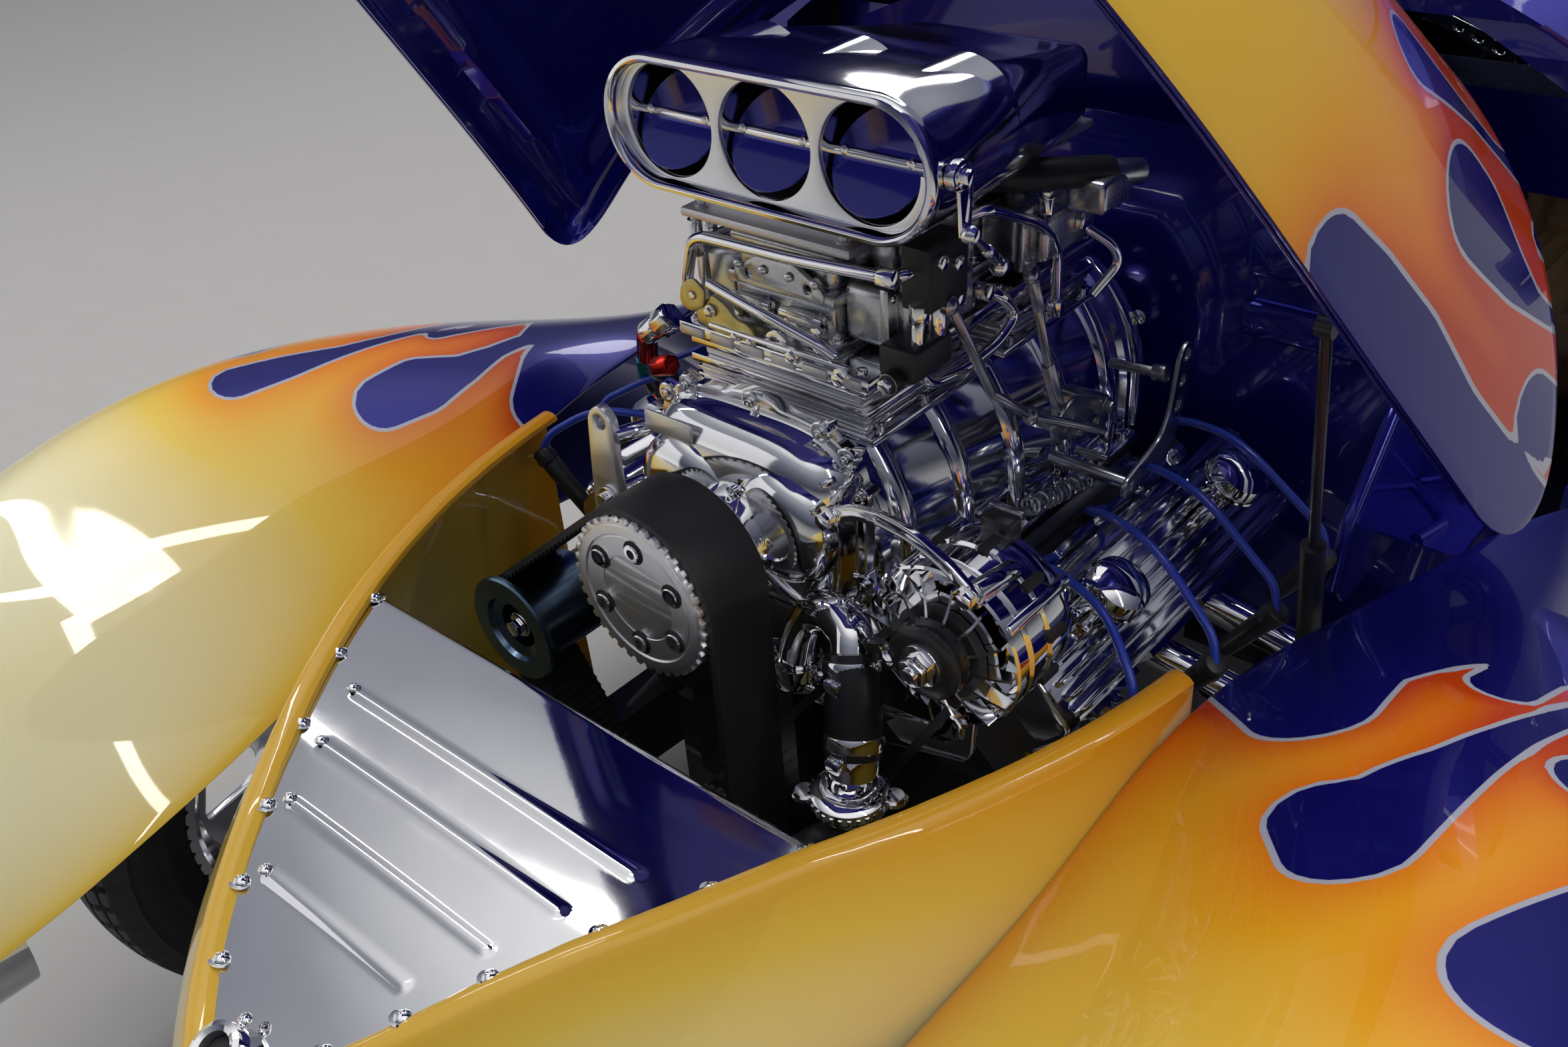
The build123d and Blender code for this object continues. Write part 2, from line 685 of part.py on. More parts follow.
# Steering knuckle with its kingpin, stub and brake disc
hub_face_x = 632.0
with BuildPart() as knuckle:
    ax_z = front_tyre_r
    rod((kingpin_x, front_axle_y, ax_z - knuckle_h / 2), (kingpin_x, front_axle_y, ax_z + knuckle_h / 2), kingpin_r)
    for z in (ax_z - knuckle_h / 2, ax_z + 44):
        rod((kingpin_x, front_axle_y, z), (kingpin_x, front_axle_y, z + 21), 25)
        box(kingpin_x, hub_face_x - 8, front_axle_y - 22, front_axle_y + 22, z, z + 21)
    box(hub_face_x - 18, hub_face_x - 8, front_axle_y - 22, front_axle_y + 22, ax_z - knuckle_h / 2, ax_z + 65)
    rod((hub_face_x - 10, front_axle_y, ax_z), (front_wheel_x + 18, front_axle_y, ax_z), stub_r)
    rod((hub_face_x - 8, front_axle_y, ax_z), (hub_face_x - 2, front_axle_y, ax_z), 60)
    box(kingpin_x - 12, kingpin_x + 12, front_axle_y, front_axle_y + 150, ax_z - knuckle_h / 2, ax_z - knuckle_h / 2 + 18)
save_sides(knuckle, "knuckle")

# Rear axle, differential, springs, gearbox and shaft
with BuildPart() as rear_axle:
    az = rear_tyre_r
    rod((-540, rear_axle_y, az), (540, rear_axle_y, az), 40)
    rod((0, rear_axle_y - 120, az), (0, rear_axle_y + 110, az), 105)
    for side in (1, -1):
        rod((side * 540, rear_axle_y, az), (side * (rear_wheel_x + 18), rear_axle_y, az), stub_r)
        box(side * rail_x - 28, side * rail_x + 28, rear_axle_y - 45, rear_axle_y + 45, az - 72, az - 20)
        rod((side * 400, rear_axle_y, az), (side * 400, rear_axle_y - 520, rail_z + 20), 16)
        rod((side * 400, rear_axle_y - 520, rail_z + 20), (side * (rail_x + rail_w / 2), rear_axle_y - 520, rail_z + 20), 14)
    rod((0, -180, 440), (0, rear_axle_y - 120, az), 38)
    rod((0, -650, 465), (0, -180, 440), 80)
    disc(0, block_rear_y, crank_z, 148, 110)
save(rear_axle, "driveline")


def tyre_ring(x, y, r, w, rim_r):
    with BuildPart() as built:
        with BuildSketch(Plane.XZ):
            with BuildLine():
                h = w / 2
                Polyline((-h * 0.62, rim_r), (h * 0.62, rim_r))
                ThreePointArc((h * 0.62, rim_r), (h, (rim_r + r) / 2), (h * 0.80, r - 10))
                ThreePointArc((h * 0.80, r - 10), (0, r), (-h * 0.80, r - 10))
                ThreePointArc((-h * 0.80, r - 10), (-h, (rim_r + r) / 2), (-h * 0.62, rim_r))
            make_face()
        revolve(axis=Axis.X)
    return built.part.moved(Location((x, y, r)))


def rim_disc(x, y, r, w, rim_r, bore):
    """Drop-centre rim with a spider, hub and lug holes; the outer side faces +X."""
    with BuildPart() as built:
        with BuildSketch(Plane.XZ):
            with BuildLine():
                h = w / 2 * 0.62
                Polyline((-h, rim_r), (h, rim_r), (h, rim_r - rim_wall - 8), (h * 0.5, rim_r - 26), (-h * 0.5, rim_r - 26),
                         (-h, rim_r - rim_wall - 8), (-h, rim_r))
            make_face()
        revolve(axis=Axis.X)
        with BuildSketch(Plane.YZ.offset(-8)):
            Circle(rim_r - 20)
            with PolarLocations((rim_r - 20 + 88) / 2 + 12, 5):
                SlotCenterToCenter(44, 36, mode=Mode.SUBTRACT, rotation=90)
        extrude(amount=14)
        with BuildSketch(Plane.YZ.offset(-30)):
            Circle(78)
        extrude(amount=36)
        with BuildSketch(Plane.YZ.offset(6)):
            Circle(36)
        extrude(amount=32)
        with BuildSketch(Plane.YZ.offset(-60)):
            Circle(bore)
        extrude(amount=80, mode=Mode.SUBTRACT)
        with BuildSketch(Plane.YZ.offset(-60)):
            with PolarLocations(lug_pitch_r, 5, start_angle=90):
                Circle(lug_hole_r)
        extrude(amount=100, mode=Mode.SUBTRACT)
    return built.part.moved(Location((x, y, r)))


wheels = (
    ("front", front_wheel_x, front_axle_y, front_tyre_r, front_tyre_w, front_rim_r),
    ("rear", rear_wheel_x, rear_axle_y, rear_tyre_r, rear_tyre_w, rear_rim_r),
)
for name, x, y, r, w, rim_r in wheels:
    with BuildPart() as tyre:
        add(tyre_ring(x, y, r, w, rim_r))
    save_sides(tyre, "tyre_" + name)
    with BuildPart() as rim:
        add(rim_disc(x, y, r, w, rim_r, stub_r + running_gap))
    save_sides(rim, "rim_" + name)

# Cabin floor with a tunnel, seats, dashboard, steering column
with BuildPart() as floor:
    box(-620, 620, -700, 708, rail_z + rail_h, 440)
    box(-620, 620, 700, 708, 440, 660)
    box(-500, 500, 708, 1900, 652, 660)
    box(-190, 190, -700, 700, rail_z + rail_h, 640)
    for side in (1, -1):
        with BuildSketch(at_x(side * (rear_well_x - 4))):
            with Locations((rear_axle_y, rear_tyre_r)):
                Circle(rear_well_r + 4)
        extrude(amount=side * 200)
        with BuildSketch(at_x(side * rear_well_x)):
            with Locations((rear_axle_y, rear_tyre_r)):
                Circle(rear_well_r)
        extrude(amount=side * 250, mode=Mode.SUBTRACT)
    add(floor_outline, mode=Mode.INTERSECT)
    box(-500, 500, firewall_y + panel_t, -610, rail_z + rail_h, 440)
    box(-190, 190, firewall_y + panel_t, -610, 440, 640)
    box(-182, 182, -800, 692, 420, 632, mode=Mode.SUBTRACT)
    box(-700, 700, 708, 2000, 300, 434, mode=Mode.SUBTRACT)
save(floor, "floor")

seat_x = 330.0
seat_w = 270.0
with BuildPart() as seats:
    for side in (1, -1):
        with BuildSketch(at_x(side * seat_x - seat_w / 2)):
            with Locations((160, 560)):
                RectangleRounded(440, 130, 40)
            with Locations(Location((398, 780), -12)):
                RectangleRounded(110, 440, 45)
        extrude(amount=seat_w)
        box(side * seat_x - 110, side * seat_x + 110, 0, 330, 440, 500)
save(seats, "seats")

with BuildPart() as dashboard:
    box(-500, 500, -520, -400, 985, 1085)
    fillet(dashboard.edges().filter_by(Axis.X).group_by(Axis.Y)[-1], radius=30)
    box(-330, 330, hinge_panel_y + panel_t, -500, 1060, 1068)
save(dashboard, "dashboard")

column_dir = Vector(0, -0.86, -0.52).normalized()
with BuildPart() as steering_column:
    centre = Vector(330, -190, 1010)
    end = centre + column_dir * 660
    rod(centre, end, 19)
    box(200, 460, firewall_y - 60, firewall_y + panel_t + 0.2, 500, 900, mode=Mode.SUBTRACT)
    with Locations(Plane(origin=centre, x_dir=(1, 0, 0), z_dir=column_dir).location):
        Torus(178, 13)
    for angle in (90, 210, 330):
        spoke = Vector(1, 0, 0) * cos(radians(angle)) + Vector(1, 0, 0).cross(column_dir) * sin(radians(angle))
        rod(centre, centre + spoke * 176, 7)
save(steering_column, "steering_column")

# Fuel tank
with BuildPart() as fuel_tank:
    box(-260, 260, 1600, 1820, 440, 651.7)
    fillet(fuel_tank.edges().filter_by(Axis.X), radius=40)
save(fuel_tank, "fuel_tank")

# Engine: one closed block with banks, heads and pan
bank_angle = 45.0
deck = 232.0
head_top = 318.0
cover_top = 415.0
head_half_w = 74.0


def bank_box(u0, u1, v0, v1, y0, y1, mode=Mode.ADD):
    """Box on the left bank: u runs out from the crank along the bank, v across it."""
    plane = Plane(origin=(0, y0, crank_z), x_dir=(cos(radians(bank_angle)), 0, sin(radians(bank_angle))), z_dir=(0, 1, 0))
    with BuildSketch(plane) as sketch:
        with Locations(((u0 + u1) / 2, (v0 + v1) / 2)):
            Rectangle(u1 - u0, v1 - v0)
    extrude(sketch.sketch, amount=y1 - y0, mode=mode)


with BuildPart() as engine_block:
    box(-140, 140, block_front_y, block_rear_y, 400, 560)
    box(-110, 110, block_front_y + 20, block_rear_y - 60, 262, 400)
    box(-60, 60, -815, block_rear_y, 400, 640)
    bank_box(60, head_top, -head_half_w, head_half_w, block_front_y + 15, -790)
    mirror(engine_block.part, about=Plane.YZ)
    box(-70, 70, block_front_y - 40, block_front_y, 520, 690)
    disc(0, -1364 + 12, crank_z, 60, 74)
save(engine_block, "engine_block")

port_u = 256.0
pipe_r = 20.0
flange_t = 16.0


def bank_point(u, v, y):
    return (u * cos(radians(bank_angle)) + v * sin(radians(bank_angle)), y,
            crank_z + u * sin(radians(bank_angle)) - v * cos(radians(bank_angle)))


with BuildPart() as exhaust:
    for i in range(4):
        y = -1180 + i * 112
        bank_box(port_u - 38, port_u + 38, head_half_w, head_half_w + flange_t, y - 42, y + 42)
        rod(bank_point(port_u, head_half_w + flange_t - 4, y), (385, y + 20, 548), pipe_r)
        rod((385, y + 20, 548), (400, -825 + i * 4, 470), pipe_r)
    rod((400, -860, 468), (404, -735, 360), 36)
    rod((404, -735, 360), (404, -480, 330), 32)
    rod((404, -480, 330), (404, 560, 290), 30)
    rod((404, -300, 312), (404, 250, 300), 68)
save_pair(exhaust, "exhaust")

with BuildPart() as valve_cover:
    y0 = -1243
    y1 = -800
    bank_box(head_top, cover_top - 16, -62, 62, y0, y1)
    for i in range(9):
        v = -56 + i * 14
        bank_box(cover_top - 17, cover_top, v - 2, v + 2, y0 + 6, y1 - 6)
    for y in (-1124, -887):
        rod((258, y, 740), (306, y, 805), 20)
save_pair(valve_cover, "valve_covers")

with BuildPart() as intake_manifold:
    with BuildSketch(at_y(blower_rear_y)):
        Polygon((-60, 572), (60, 572), (200, 700), (150, blower_base_z - 22), (-150, blower_base_z - 22), (-200, 700), align=None)
    extrude(amount=blower_rear_y - blower_front_y - 10)
    box(-135, 135, blower_front_y + 4, blower_rear_y - 4, blower_base_z - 22, blower_base_z)
    add(engine_block.part, mode=Mode.SUBTRACT)
    add(valve_cover.part, mode=Mode.SUBTRACT)
    mirror(valve_cover.part, about=Plane.YZ, mode=Mode.SUBTRACT)
save(intake_manifold, "intake_manifold")

rib_count = 5
with BuildPart() as blower_case:
    with BuildSketch(at_y(blower_rear_y)):
        with BuildLine():
            w = blower_half_w
            Line((-w, blower_base_z), (w, blower_base_z))
            Line((w, blower_base_z), (w, blower_base_z + 70))
            ThreePointArc((w, blower_base_z + 70), (w * 0.84, blower_base_z + 140), (w * 0.52, blower_top_z))
            Line((w * 0.52, blower_top_z), (-w * 0.52, blower_top_z))
            ThreePointArc((-w * 0.52, blower_top_z), (-w * 0.84, blower_base_z + 140), (-w, blower_base_z + 70))
            Line((-w, blower_base_z + 70), (-w, blower_base_z))
        make_face()
    extrude(amount=blower_rear_y - blower_front_y)
    for i in range(rib_count):
        y = blower_front_y + 45 + i * 88
        for side in (1, -1):
            box(side * (blower_half_w + 5) - 6, side * (blower_half_w + 5) + 6, y, y + 12, blower_base_z, blower_base_z + 120)
    box(-blower_half_w - 8, blower_half_w + 8, blower_rear_y, blower_rear_y + 22, blower_base_z + 12, blower_top_z - 30)
save(blower_case, "blower_case")

snout_r = 52.0
with BuildPart() as blower_cover:
    box(-128, 128, blower_front_y - 24, blower_front_y, blower_base_z + 4, blower_top_z - 6)
    fillet(blower_cover.edges().filter_by(Axis.Y), radius=42)
    box(-100, 100, blower_front_y - 52, blower_front_y - 24, blower_base_z + 26, blower_top_z - 26)
    fillet(blower_cover.faces().sort_by(Axis.Y)[0].edges(), radius=14)
    disc(0, pulley_face_y + belt_w + 6, upper_pulley_z, snout_r, blower_front_y - 50 - pulley_face_y - belt_w - 6)
save(blower_cover, "blower_cover")

crank_pulley_r = 76.0
with BuildPart() as drive_pulleys:
    disc(0, pulley_face_y, upper_pulley_z, pulley_r, belt_w + 6)
    disc(0, pulley_face_y - 1, upper_pulley_z, 40, 17, mode=Mode.SUBTRACT)
    disc(0, pulley_face_y, crank_z, crank_pulley_r, belt_w + 12)
    disc(0, pulley_face_y - 1, crank_z, 38, 17, mode=Mode.SUBTRACT)
    disc(idler_x, pulley_face_y, idler_z, idler_r, belt_w + 6)
    disc(idler_x, pulley_face_y - 5, idler_z, idler_r + 12, 5)
save(drive_pulleys, "drive_pulleys")


def belt_loop(circles, y, depth, t, gap):
    """Belt round a set of pulleys, each row x, z, r."""
    with BuildPart() as built:
        for grow, mode in ((t + gap, Mode.ADD), (gap, Mode.SUBTRACT)):
            with BuildSketch(at_y(y)) as hull:
                with BuildLine():
                    for x, z, r in circles:
                        CenterArc((x, z), r + grow, 0, 360)
                make_hull()
            extrude(hull.sketch, amount=-depth, mode=mode)
    return built.part


alternator = (252.0, -1332.0, 840.0)
alternator_r = 74.0
with BuildPart() as belts:
    add(belt_loop(((0, upper_pulley_z, pulley_r), (0, crank_z, crank_pulley_r), (idler_x, idler_z, idler_r)),
                  pulley_face_y + 4, belt_w - 4, belt_t, 0.2))
    add(belt_loop(((alternator[0], alternator[2], 34), (0, crank_z, 60)), pulley_face_y + belt_w + 14, 10, 8, 0.2))
save(belts, "belts")

with BuildPart() as alternator_unit:
    ax, ay, az = alternator
    disc(ax, pulley_face_y + belt_w + 8, az, 34, 20)
    disc(ax, pulley_face_y + belt_w + 20, az, 12, 14)
    disc(ax, ay, az, alternator_r, 82)
    disc(ax, pulley_face_y + belt_w - 6, az, 15, 14)
    fillet(alternator_unit.edges().filter_by(GeomType.CIRCLE).group_by(SortBy.RADIUS)[-1], radius=12)
save(alternator_unit, "alternator")

with BuildPart() as accessory_brackets:
    box(ax - 14, ax + 14, ay + 26, ay + 50, az - alternator_r - 60, az - alternator_r + 6)
    box(120, ax + 14, ay + 30, block_front_y + 15, az - alternator_r - 60, az - alternator_r - 34)
    disc(idler_x, pulley_face_y + belt_w + 6, idler_z, 14, block_front_y - 15 - pulley_face_y - belt_w)
    box(idler_x - 16, -120, block_front_y - 14, block_front_y + 14, idler_z - 45, idler_z + 16)
    add(alternator_unit.part, mode=Mode.SUBTRACT)
    add(engine_block.part, mode=Mode.SUBTRACT)
save(accessory_brackets, "accessory_brackets")

adapter_rows = ((112, 2), (96, 4), (112, 3))
adapter_top = 1000.0
with BuildPart() as carb_adapters:
    for y in (-1165, -955):
        z = blower_top_z
        for half, layers in adapter_rows:
            box(-half, half, y - 84, y + 84, z, z + layers * 5)
            z += layers * 5
    box(-112, 112, -1250, -870, z, adapter_top)
save(carb_adapters, "carb_adapters")

with BuildPart() as carburettors:
    for y in (-1160, -955):
        box(-62, 62, y - 76, y + 76, adapter_top, adapter_top + 88)
        for side in (1, -1):
            box(side * 100 - 40, side * 100 + 40, y - 52, y + 52, adapter_top + 12, adapter_top + 72)
        for dx in (-28, 28):
            rod((dx, y, adapter_top + 86), (dx, y, adapter_top + 108), 26)
save(carburettors, "carburettors")

scoop_half = 178.0
scoop_wall = 6.0
scoop_plate_t = 14.0
butterfly_tilt = 38.0
# Scoop sections from the mouth back: y, half width, underside z, top z
scoop_rows = ((scoop_face_y, scoop_half, 1124, 1241), (-1120, 160, 1119, 1228), (scoop_rear_y, 98, 1113, 1188))


def scoop_loft(inset, front):
    with BuildPart() as built:
        for y, half, z0, z1 in scoop_rows:
            h = z1 - z0 - 2 * inset
            level = min(max(y, scoop_face_y + front), scoop_rear_y - (inset if inset else 0))
            with BuildSketch(at_y(level)):
                with Locations((0, (z0 + z1) / 2)):
                    RectangleRounded(2 * (half - inset), h, h / 2 * (0.96 if y < -1000 else 0.6))
        loft()
    return built.part


with BuildPart() as scoop:
    add(scoop_loft(0, 0))
    box(-86, 86, -1236, -904, adapter_top + 108, 1135)
    add(scoop_loft(scoop_wall, scoop_plate_t), mode=Mode.SUBTRACT)
    rod((-170, scoop_face_y + 22, scoop_z), (170, scoop_face_y + 22, scoop_z), 4.5 + running_gap, mode=Mode.SUBTRACT)
    for k in (-1, 0, 1):
        disc(k * hole_pitch, scoop_face_y - 2, scoop_z, hole_r, scoop_plate_t + 4, mode=Mode.SUBTRACT)
    for y in (-1160, -955):
        box(-56, 56, y - 44, y + 44, adapter_top + 107, 1150, mode=Mode.SUBTRACT)
save(scoop, "scoop")

with BuildPart() as butterflies:
    for k in (-1, 0, 1):
        tilt = radians(butterfly_tilt)
        normal = Vector(0, -cos(tilt), sin(tilt))
        centre = Vector(k * hole_pitch, scoop_face_y + 22, scoop_z)
        rod(centre - normal * 1.2, centre + normal * 1.2, hole_r - 3)
    rod((-170, scoop_face_y + 22, scoop_z), (170, scoop_face_y + 22, scoop_z), 4.5)
save(butterflies, "butterflies")

with BuildPart() as fuel_lines:
    rod((-73, -1240, 1081), (136, -1240, 1103), 4)
    rod((136, -1240, 1103), (136, -1216, 1060), 4)
    rod((-73, -1240, 1081), (-73, -1236, 1060), 4)
save(fuel_lines, "fuel_lines")

with BuildPart() as throttle_linkage:
    rod((-150, -1180, 1040), (-150, -930, 1040), 4)
    rod((-150, -1180, 1040), (-140, -1180, 1040), 5)
    rod((-150, -930, 1040), (-140, -930, 1040), 5)
save(throttle_linkage, "throttle_linkage")

with BuildPart() as filler_neck:
    rod((205, -1412, 650), (205, -1412, 700), 24)
    rod((205, -1412, 699), (205, -1412, 716), 34)
    rod((205, -1412, 684), (110, -1364, 762), 19)
    rod((110, -1364, 762), (84, -1336, 774), 19)
    rod((84, -1336, 774), (56, -1318, 712), 19)
    rod((56, -1318, 690), (56, -1318, 716), 24)
    rod((205, -1412, 672), (205, -1535.3, 700), 19)
    add(blower_cover.part, mode=Mode.SUBTRACT)
    add(radiator.part, mode=Mode.SUBTRACT)
save(filler_neck, "filler_neck")

with BuildPart() as ignition:
    rod((0, -767, 662), (0, -767, 790), 25)
    rod((0, -767, 640), (0, -767, 664), 14)
save(ignition, "ignition")

with BuildPart() as lamp_bowl:
    disc(lamp_x, lamp_y + 12, lamp_z, lamp_r, 110)
    disc(lamp_x, lamp_y + 11, lamp_z, lamp_r - 6, 60, mode=Mode.SUBTRACT)
save_pair(lamp_bowl, "headlamp_bowls")
with BuildPart() as lamp_lens:
    disc(lamp_x, lamp_y + 14, lamp_z, lamp_r - 6.2, 8)
save_pair(lamp_lens, "headlamp_lenses")

with BuildPart() as tail_lamp:
    rod((400, 1900, 560), (400, 1985, 560), 38)
    add(outer_body, mode=Mode.SUBTRACT)
save_pair(tail_lamp, "tail_lamps")
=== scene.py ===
from functools import lru_cache
from math import atan2, cos, exp, floor, hypot, pi, radians, sin, sqrt, tau

import bmesh
import bpy
from mathutils import Matrix, Vector
from mathutils.bvhtree import BVHTree


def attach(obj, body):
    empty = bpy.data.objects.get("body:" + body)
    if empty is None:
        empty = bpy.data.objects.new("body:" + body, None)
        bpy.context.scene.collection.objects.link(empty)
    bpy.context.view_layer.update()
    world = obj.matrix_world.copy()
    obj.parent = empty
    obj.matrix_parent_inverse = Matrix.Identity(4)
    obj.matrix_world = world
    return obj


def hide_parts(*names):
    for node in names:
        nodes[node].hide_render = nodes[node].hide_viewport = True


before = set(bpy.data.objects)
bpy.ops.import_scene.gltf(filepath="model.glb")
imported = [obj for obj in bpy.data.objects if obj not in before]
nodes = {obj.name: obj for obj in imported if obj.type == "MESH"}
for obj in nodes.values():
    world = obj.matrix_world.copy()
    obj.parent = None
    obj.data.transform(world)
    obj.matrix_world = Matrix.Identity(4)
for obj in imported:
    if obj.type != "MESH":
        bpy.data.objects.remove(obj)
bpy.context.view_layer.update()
print("frame loaded:", len(nodes), "nodes")

# Camera, solved from mirrored points of the nose, hood and engine
cameraFacts = dict(place=(0.7908, -2.0881, 1.5730), yaw=43.265, pitch=33.366, roll=-4.635, lens=33.07,
    sensor=36.0)


def makeCamera(facts):
    yaw, pitch, roll = (radians(facts[k]) for k in ("yaw", "pitch", "roll"))
    ahead = Vector((-sin(yaw) * cos(pitch), cos(yaw) * cos(pitch), -sin(pitch)))
    side = Vector((cos(yaw), sin(yaw), 0))
    up = side.cross(ahead)
    right = cos(roll) * side + sin(roll) * up
    top = -sin(roll) * side + cos(roll) * up
    data = bpy.data.cameras.new("photoCamera")
    data.lens, data.sensor_width = facts["lens"], facts["sensor"]
    data.clip_start, data.clip_end = 0.02, 60
    camera = bpy.data.objects.new("photoCamera", data)
    bpy.context.scene.collection.objects.link(camera)
    camera.matrix_world = Matrix.Translation(facts["place"]) @ Matrix((right, top,
        -ahead)).transposed().to_4x4()
    bpy.context.scene.camera = camera


makeCamera(cameraFacts)


# Shader helpers
def addNode(tree, kind, **settings):
    node = tree.nodes.new(kind)
    for key, value in settings.items():
        if key.startswith("in_"):
            name = key[3:].replace("_", " ")
            node.inputs[int(name) if name.isdigit() else name].default_value = value
        else:
            setattr(node, key, value)
    return node


def newGroup(name, inputs, outputs):
    group = bpy.data.node_groups.new(name, "ShaderNodeTree")
    for label, kind, value in inputs:
        socket = group.interface.new_socket(label, in_out="INPUT", socket_type="NodeSocket" + kind)
        socket.default_value = value
    for label, kind in outputs:
        group.interface.new_socket(label, in_out="OUTPUT", socket_type="NodeSocket" + kind)
    return group, group.nodes.new("NodeGroupInput"), group.nodes.new("NodeGroupOutput")


def mathNode(tree, operation, a, b=None, clamp=False):
    node = addNode(tree, "ShaderNodeMath", operation=operation, use_clamp=clamp)
    for i, value in enumerate((a, b)):
        if value is None:
            continue
        if isinstance(value, (int, float)):
            node.inputs[i].default_value = value
        else:
            tree.links.new(value, node.inputs[i])
    return node.outputs[0]


def mixColor(tree, factor, a, b):
    node = addNode(tree, "ShaderNodeMix", data_type="RGBA")
    for i, value in ((0, factor), (6, a), (7, b)):
        if isinstance(value, (int, float, tuple)):
            node.inputs[i].default_value = value
        else:
            tree.links.new(value, node.inputs[i])
    return node.outputs[2]


def colorRamp(tree, factor, stops):
    node = addNode(tree, "ShaderNodeValToRGB")
    while len(node.color_ramp.elements) < len(stops):
        node.color_ramp.elements.new(0.5)
    for element, (place, color) in zip(node.color_ramp.elements, stops):
        element.position = place
        element.color = color if len(color) == 4 else (*color, 1)
    tree.links.new(factor, node.inputs[0])
    return node.outputs[0]


# Shared effect: grain that varies colour and roughness and raises a fine bump
def surfaceGrainGroup():
    group, given, out = newGroup(
        "surfaceGrain",
        [("Tone", "Color", (0.5, 0.5, 0.5, 1)), ("Rough", "Float", 0.3), ("Scale", "Float", 80.0),
            ("Spread", "Float", 0.1), ("Depth", "Float", 0.0002), ("Stretch", "Vector", (1, 1, 1))],
        [("Tone", "Color"), ("Rough", "Float"), ("Normal", "Vector")])
    coords = addNode(group, "ShaderNodeTexCoord").outputs["Object"]
    mapping = addNode(group, "ShaderNodeMapping")
    group.links.new(coords, mapping.inputs[0])
    group.links.new(given.outputs["Stretch"], mapping.inputs["Scale"])
    noise = addNode(group, "ShaderNodeTexNoise", in_Detail=6.0, in_Roughness=0.6)
    group.links.new(mapping.outputs[0], noise.inputs["Vector"])
    group.links.new(given.outputs["Scale"], noise.inputs["Scale"])
    blotch = addNode(group, "ShaderNodeTexNoise", in_Scale=9.0, in_Detail=3.0)
    group.links.new(coords, blotch.inputs["Vector"])
    spread = mathNode(group, "MULTIPLY", mathNode(group, "SUBTRACT", noise.outputs[0], 0.5),
        given.outputs["Spread"])
    wide = mathNode(group, "MULTIPLY", mathNode(group, "SUBTRACT", blotch.outputs[0], 0.5),
        given.outputs["Spread"])
    both = mathNode(group, "ADD", spread, wide)
    bright = mathNode(group, "ADD", both, 1.0)
    tone = addNode(group, "ShaderNodeVectorMath", operation="SCALE")
    group.links.new(given.outputs["Tone"], tone.inputs[0])
    group.links.new(bright, tone.inputs["Scale"])
    group.links.new(tone.outputs[0], out.inputs["Tone"])
    group.links.new(mathNode(group, "ADD", given.outputs["Rough"], mathNode(group, "MULTIPLY", both, 0.5),
        True), out.inputs["Rough"])
    bump = addNode(group, "ShaderNodeBump", in_Strength=1.0)
    group.links.new(noise.outputs[0], bump.inputs["Height"])
    group.links.new(given.outputs["Depth"], bump.inputs["Distance"])
    group.links.new(bump.outputs[0], out.inputs["Normal"])
    return group


surfaceGrain = surfaceGrainGroup()


def newMaterial(name, tone, rough, metallic=0.0, coat=0.0, scale=80.0, spread=0.1, depth=0.0002,
        stretch=(1, 1, 1), **sockets):
    material = bpy.data.materials.new(name)
    material.use_nodes = True
    tree = material.node_tree
    shader = tree.nodes["Principled BSDF"]
    shader.inputs["Metallic"].default_value = metallic
    shader.inputs["Coat Weight"].default_value = coat
    for key, value in sockets.items():
        shader.inputs[key.replace("_", " ")].default_value = value
    grain = addNode(tree, "ShaderNodeGroup", node_tree=surfaceGrain)
    for key, value in (("Tone", (*tone, 1)), ("Rough", rough), ("Scale", scale), ("Spread", spread),
            ("Depth", depth), ("Stretch", stretch)):
        grain.inputs[key].default_value = value
    tree.links.new(grain.outputs["Tone"], shader.inputs["Base Color"])
    tree.links.new(grain.outputs["Rough"], shader.inputs["Roughness"])
    tree.links.new(grain.outputs["Normal"], shader.inputs["Normal"])
    return material


